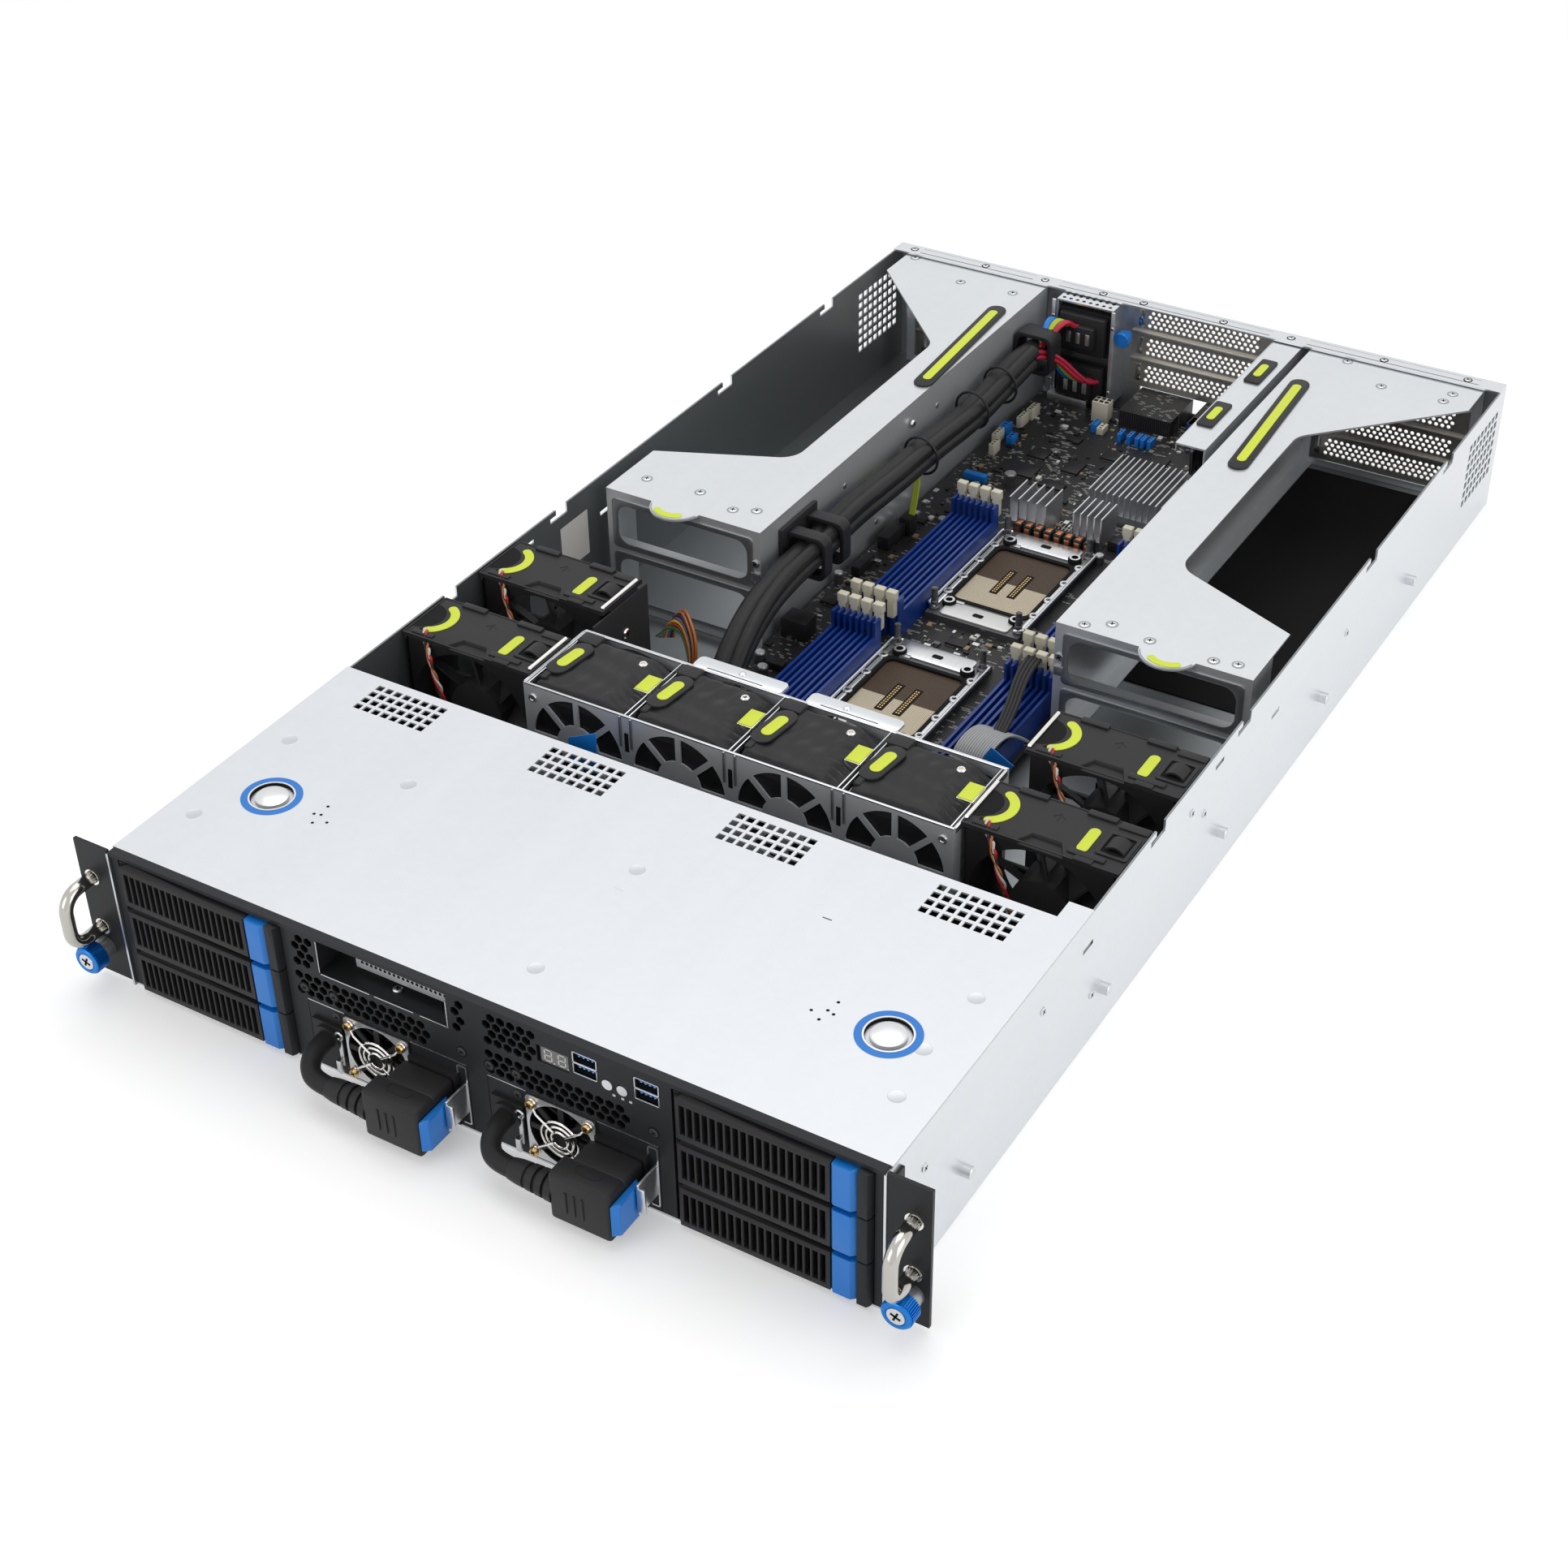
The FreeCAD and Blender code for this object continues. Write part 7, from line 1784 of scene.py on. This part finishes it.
@dataclass
class Sockets:
    """Contact fields, brackets, levers, studs and screws of the two processor sockets.

    Attributes:
        middle: X of the sockets' middle.
        rows: Middles of the two sockets along Y.
        board: Height of the board's top.
        collars: Places of the side screws along a socket.
        collar: Radius and rise of each step of a side screw.
        nut: Radius and rise of each step of a corner nut.
        stud: Radius and rise of each step of a stud.
        pins: Pins in each lane of a centre slot.
    """

    middle: float = 4.3
    rows: Span = (402.0, 546.5)
    board: float = 9.8
    collars: tuple = (-30.0, -10.0, 12.0, 33.0)
    collar: tuple = ((0, 0), (3.0, 0), (3.0, 1.6), (2.4, 2.2), (1.5, 2.2), (1.2, 1.2), (0, 1.2))
    nut: tuple = ((0, 0), (4.4, 0), (4.4, 2.2), (3.8, 3.0), (2.2, 3.0), (1.8, 1.8), (0, 1.8))
    stud: tuple = ((0, 0), (3.4, 0), (3.4, 1.2), (2.4, 2.0), (2.4, 5.0), (2.05, 5.4), (2.05, 11.5),
                   (1.5, 12.2), (1.5, 14.2), (0, 14.2))
    pins: int = 12

    def field(self, made: Builder, y: float) -> None:
        """Add a contact field with its two halves and its pinned centre slots."""
        x, top = self.middle, self.board + 2.65
        made.pierced(rounded((x - 27.5, x + 27.5), (y - 36.0, y + 36.0), 4.0),
                     rounded((x - 25.0, x + 25.0), (y - 33.0, y + 33.0), 5.0), top, 2.2, VOID, "z", 0.4)
        made.plate(rounded((x - 25.6, x + 25.6), (y - 33.6, y + 1.0), 2.5), top, 0.25, PIN_GOLD)
        made.plate(rounded((x - 25.6, x + 25.6), (y - 1.0, y + 33.6), 2.5), top, 0.45, PIN_BROWN)
        for side in (-1, 1):
            u = x + side * 6.0
            made.block((u - 2.6, u + 2.6), (y - 15.5, y + 13.5), (top, top + 0.55), VOID)
            for pin in range(self.pins):
                for lane in (-0.8, 0.8):
                    made.bar((u + lane, y - 13.5 + pin * 2.2, top + 0.6), (0.9, 1.2, 0.5), BRASS)

    def frame(self, made: Builder, y: float) -> None:
        """Add the bright brackets, wire levers, screws and studs round a field."""
        x, low = self.middle, self.board + 4.2
        for end in (-1, 1):
            v = y + end * 46.5
            made.plate(rounded((x - 23.0, x + 23.0), (v - 7.5, v + 7.5), 2.5), low, 1.1, WHITE_METAL
                       if end < 0 else STEEL, 0.3)
            made.plate(rounded((x - 3.4, x + 3.4), (v - 1.9, v + 1.9), 1.2), low + 1.1, 0.08, VOID)
            made.block((x - 23.0, x - 14.0), (v - end * 9.5, v - end * 6.5), (low, low + 1.1), WHITE_METAL
                       if end < 0 else STEEL)
        for side in (-1, 1):
            u = x + side * 29.6
            made.block((u - 1.6, u + 1.6), (y - 50.0, y + 50.0), (low, low + 0.9), STEEL, 0.2)
            made.rod((u + side * 2.8, y - 49.0, low + 2.6), (u + side * 2.8, y + 50.0, low + 2.0), 1.15,
                     STEEL, 12)
            made.rod((u + side * 2.8, y - 49.0, low + 2.6), (u - side * 3.0, y - 51.5, low + 1.6), 1.15,
                     STEEL, 12)
            made.rod((u + side * 2.8, y + 50.0, low + 2.0), (u - side * 3.4, y + 52.0, low + 1.4), 1.15,
                     STEEL, 12)
            for step in self.collars:
                made.lathe((u - side * 0.4, y + step, low), UP, self.collar, STEEL, 20)
                made.lathe((u - side * 0.4, y + step, low + 1.25), UP,
                           [(0, 0), (1.4, 0), (1.4, 0.2), (0, 0.2)], VOID, 12)
            for end in (-1, 1):
                place = Vector((x + side * 22.6, y + end * 41.0, low))
                made.lathe(place, UP, self.nut, VOID, 24)
                made.ring(place + UP * 3.0, UP, 3.5, 2.2, 0.25, STEEL, 24)
                stud = Vector((x + side * 28.5, y + end * 49.0, low))
                made.lathe(stud, UP, self.stud, SOCKET_FRAME, 20)

    def build(self) -> None:
        """Build both sockets."""
        made = Builder("socket_fittings", [PIN_GOLD, PIN_BROWN, VOID, BRASS, WHITE_METAL, STEEL,
                                           SOCKET_FRAME], slot="socket_steel")
        for y in self.rows:
            self.field(made, y)
            self.frame(made, y)
        made.make()


@dataclass
class BoardParts:
    """Connectors, chips, chokes, capacitors and scattered components of the board.

    Attributes:
        board: Height of the board's top.
        connectors: Each connector's middle, size and finish.
        chips: Each chip's middle, width and depth.
        capacitors: Each can's place, radius and height.
        zones: Spans of each zone of small parts and their number.
        small_sizes: Footprints of the small parts.
        chokes: Chokes in the row behind the rear socket.
        seed: Seed of the small parts' places.
    """

    board: float = 9.8
    connectors: tuple = (((-41, 771), (12, 9, 15), IVORY), ((-24, 774), (9, 6, 7), WHITE),
                         ((-38, 755), (4, 8, 7), BLUE), ((-33, 755), (5, 9, 5), IVORY),
                         ((-17, 751), (3, 9, 7), BLUE), ((-10, 751), (3, 9, 7), BLUE),
                         ((-4, 751), (3, 9, 7), BLUE), ((0, 751), (3, 9, 7), BLUE),
                         ((5, 751), (3, 9, 7), BLUE), ((-84, 752), (5, 12, 8), IVORY),
                         ((-85, 738), (4, 12, 8), IVORY), ((-90, 722), (6, 10, 7), BLUE),
                         ((-89, 709), (4, 12, 8), IVORY), ((-80, 712), (5, 9, 6), BLUE),
                         ((-78, 655), (16, 5, 5), BLUE), ((-84, 694), (4, 10, 8), IVORY),
                         ((-84, 436), (17, 14, 13), BLACK_PLASTIC), ((-88, 560), (8, 26, 9), BLACK_PLASTIC),
                         ((-87, 520), (6, 20, 7), BLACK_PLASTIC), ((-30, 640), (16, 9, 6), BLACK_PLASTIC),
                         ((36, 779), (31, 11, 12), SLOT_BLUE), ((58, 628), (10, 14, 8), BLACK_PLASTIC),
                         ((40, 620), (8, 8, 7), BLACK_PLASTIC), ((-72, 783), (30, 8, 6), STEEL),
                         ((68, 728), (6, 30, 6), WHITE), ((-67, 625), (9, 7, 5), WHITE),
                         ((-77, 398), (12, 6, 5), BLACK_PLASTIC))
    chips: tuple = ((-56, 706, 13, 13), (-58, 681, 24, 17), (-12, 727, 13, 13), (12, 728, 25, 25),
                    (-28, 700, 12, 16), (-30, 672, 17, 9), (-36, 655, 9, 9), (-70, 672, 7, 5),
                    (-44, 735, 10, 7), (44, 760, 9, 9), (-86, 478, 10, 10), (-84, 590, 8, 8),
                    (4, 474, 13, 8), (-72, 610, 7, 7))
    capacitors: tuple = ((-55, 660, 4.2, 9), (-70, 640, 3.2, 7), (-68, 590, 3.2, 7), (-88, 398, 3.6, 8),
                         (-79, 386, 3.6, 8), (56, 612, 3.4, 7), (-93, 500, 3.2, 7), (38, 600, 3.2, 6))
    zones: tuple = (((-92, 60), (642, 786), 330), ((-94, -76), (332, 636), 90), ((-20, 30), (462, 488), 40),
                    ((-24, 34), (590, 646), 40), ((-25, 85), (300, 306), 14))
    small_sizes: tuple = ((1.0, 0.6), (1.6, 0.8), (2.2, 1.2), (3.0, 1.8), (4.2, 3.0))
    chokes: int = 8
    seed: int = 7

    def parts(self) -> None:
        """Make the connectors, chips, chokes and capacitors."""
        made = Builder("board_connectors", [IVORY, WHITE, BLUE, BLACK_PLASTIC, SLOT_BLUE, STEEL],
                       slot="ivory_plastic")
        for (x, y), (wide, deep, high), finish in self.connectors:
            made.bar((x, y, self.board + high / 2), (wide, deep, high), finish, 0.4)
            count = max(1, int(deep / 2.6))
            for step in range(count if finish in (IVORY, BLUE) and deep > wide else 0):
                made.bar((x, y - deep / 2 + (step + 0.5) * deep / count, self.board + high),
                         (wide * 0.4, 1.1, 0.3), BLACK_PLASTIC)
        for column in range(3):
            for row in range(2):
                made.bar((-45.0 + column * 4.0, 769.0 + row * 4.2, self.board + 15.0), (2.8, 2.8, 0.3),
                         BLACK_PLASTIC)
        made.make()
        made = Builder("board_chips", [CHIP, TAN, STEEL, COPPER, SOCKET_FRAME, WHITE], slot="circuit_board")
        for x, y, wide, deep in self.chips:
            made.bar((x, y, self.board + 0.9), (wide, deep, 1.8), CHIP, 0.25)
            for side in (-1, 1):
                made.bar((x, y + side * (deep / 2 + 0.6), self.board + 0.3), (wide * 0.85, 1.0, 0.3),
                         SOCKET_FRAME)
        for number in range(self.chokes):
            x = -21.5 + number * 7.0
            made.bar((x, 607.0, self.board + 4.5), (5.4, 8.0, 9.0), CHIP, 0.5)
            made.bar((x, 607.0, self.board + 9.0), (3.4, 5.0, 0.5), COPPER, 0.2)
            made.bar((x, 602.9, self.board + 5.5), (3.2, 0.3, 4.5), COPPER)
        for number in range(7):
            x = -5.0 + number * 2.4
            made.bar((x, 629.0, self.board + 0.2), (0.5, 9.0, 0.15), WHITE)
            made.bar((x + 0.7, 634.0, self.board + 0.2), (1.6, 0.5, 0.15), WHITE)
        for x, y, radius, high in self.capacitors:
            made.lathe((x, y, self.board), UP, [(0, 0), (radius, 0), (radius, high - 0.6),
                                                (radius - 0.5, high), (0, high)], SOCKET_FRAME, 24)
            made.lathe((x, y, self.board + high), UP,
                       [(0, 0), (radius - 0.6, 0), (radius - 0.7, 0.15), (0, 0.15)], STEEL, 24)
        self.scatter(made)
        made.make()

    def scatter(self, made: Builder) -> None:
        """Add the small surface parts, in rows between the larger ones."""
        dice = random.Random(self.seed)
        for x, y, count in self.zones:
            for _ in range(count):
                place = (dice.uniform(*x), dice.uniform(*y))
                long, wide = dice.choice(self.small_sizes)
                if dice.random() < 0.5:
                    long, wide = wide, long
                finish = dice.choice((CHIP, CHIP, TAN, STEEL, STEEL, SOCKET_FRAME, WHITE))
                high = 0.5 + 0.3 * min(long, wide)
                made.bar((*place, self.board + high / 2), (long, wide, high), finish)

    def wires(self) -> None:
        """Make the loose wire loom, the ribbon and the small loops over the board."""
        loom = ((GREEN, 0.0), (RED, 1.6), (YELLOW, 3.0), (VIOLET, 4.4), (BLACK_PLASTIC, 5.6), (ORANGE, 7.0))
        for number, (finish, shift) in enumerate(loom):
            routes = []
            for step in (0.0, 2.2):
                x, y, rise = shift + step, 0.6 * shift, 30 + shift * 1.6 + step
                routes.append([(-152 + x, 384 + y, 16), (-146 + x, 378 + y, rise - 8),
                               (-134 + x, 370 + y, rise + 6), (-122 + x, 366 - y, rise + 10),
                               (-112 + x, 358 - y, rise), (-108 + x * 0.6, 352 - y, 20),
                               (-106 + x * 0.5, 350, 11)])
            wire(f"loom_wires_{number + 1}", routes, 0.85, finish, slot="cord_jacket")
        ribbon = [[(68 + step * 1.5, 332 + step * 0.4, 14), (70 + step * 1.5, 340, 36),
                   (72 + step * 1.5, 356, 43), (74 + step * 1.5, 372, 38), (76 + step * 1.5, 384, 26)]
                  for step in range(14)]
        wire("grey_ribbon_cable", ribbon, 0.8, GREY, slot="cord_jacket")
        flat = [[(64 + step * 2.4, 470, 22), (66 + step * 2.4, 452, 40), (70 + step * 2.2, 420, 44),
                 (80 + step * 2.0, 385, 40), (86 + step * 1.6, 350, 38), (90 + step * 1.4, 322, 20)]
                for step in range(4)]
        wire("flat_black_cable", flat, 1.3, BLACK_PLASTIC, slot="cord_jacket")
        loops = [[(-96 + step * 1.4, 598, 52), (-92 + step, 594, 50 - step), (-86 + step, 586, 44),
                  (-84 + step, 578, 28), (-85 + step, 574, 14)] for step in range(4)]
        wire("yellow_green_loops", loops, 0.7, YELLOW_GREEN, slot="cord_jacket")
        made = Builder("cable_ends", [BLUE, IVORY, BLACK_PLASTIC], slot="blue_plastic")
        made.bar((96.0, 344.0, 36.0), (16.0, 0.8, 14.0), BLUE, 0.2, turn=Matrix.Rotation(0.5, 4, "Y"))
        made.bar((-104.0, 350.0, 17.0), (5.0, 9.0, 14.0), IVORY, 0.4)
        made.bar((-84.5, 574.0, 16.0), (8.0, 10.0, 12.0), BLACK_PLASTIC, 0.6)
        made.plate([(-86, 58), (-68, 58), (-68, 85), (-86, 76)], 203.0, 0.5, BLUE, 0.1, "y")
        made.make()

    def build(self) -> None:
        """Build the board's parts."""
        self.parts()
        self.wires()
        for number in range(1, 5):
            eased_copy(f"dimm_latches_{number}", [IVORY], f"slot_levers_{number}", 0.5)


# ------------------------------------------------------------------ plain dress of the CAD nodes


PLAIN: dict[str, Finish] = {"chassis_tray": ZINC, "front_cover": COVER_ZINC, "front_frame": BLACK_COAT,
                            "ear_handles": CHROME, "fan_wall": COVER_ZINC, "fan_frames": BLACK_PLASTIC,
                            "gpu_cage_left": CAGE_ZINC, "gpu_cage_right": CAGE_ZINC, "rear_panel": ZINC,
                            "slot_covers": NICKEL, "power_inlets": BLACK_PLASTIC, "motherboard": BOARD,
                            "cpu_sockets": SOCKET_FRAME, "dimm_slots": SLOT_BLUE, "heatsinks": ALUMINIUM,
                            "psu_housings": BLACK_COAT, "power_plugs": PLUG, "power_cables": SLEEVE,
                            "cover_button_left": DOMED, "cover_button_right": DOMED,
                            "rack_screw_left": BLUE_METAL, "rack_screw_right": BLUE_METAL,
                            "power_button": DOMED, "identify_button": DOMED, "plug_tab_left": BLUE,
                            "plug_tab_right": BLUE, }
PLAIN_FAMILIES: dict[str, Finish] = {
    "drive_tray": BLACK_COAT, "tray_lever": BLACK_PLASTIC, "tray_key": BLUE, "dimm_latches": IVORY,
    "mid_fan_rotor": ROTOR, "side_fan_rotor": ROTOR, "psu_fan_rotor": ROTOR,
}


def dress_plain() -> None:
    """Give every CAD node that keeps its shape a finish."""
    for node in frame["nodes"]:
        family = next((finish for prefix, finish in PLAIN_FAMILIES.items() if node.startswith(prefix)),
                      None)
        paint(node, PLAIN.get(node) or family or BLACK_PLASTIC)


def main() -> None:
    """Build the whole scene in order."""
    logging.basicConfig(level=logging.INFO, format="%(message)s")
    Studio().build()
    Cords().build()
    dress_plain()
    for assembly in (CoverTrim(), FrontPanel(), SupplyFronts(), RackEars(), DriveTrays(), MiddleFans(),
                     SideFans(), CardBracket(), CardCages(), WallsAndRear(), Sockets(), BoardParts()):
        assembly.build()
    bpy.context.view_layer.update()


if __name__ == "__main__":
    main()
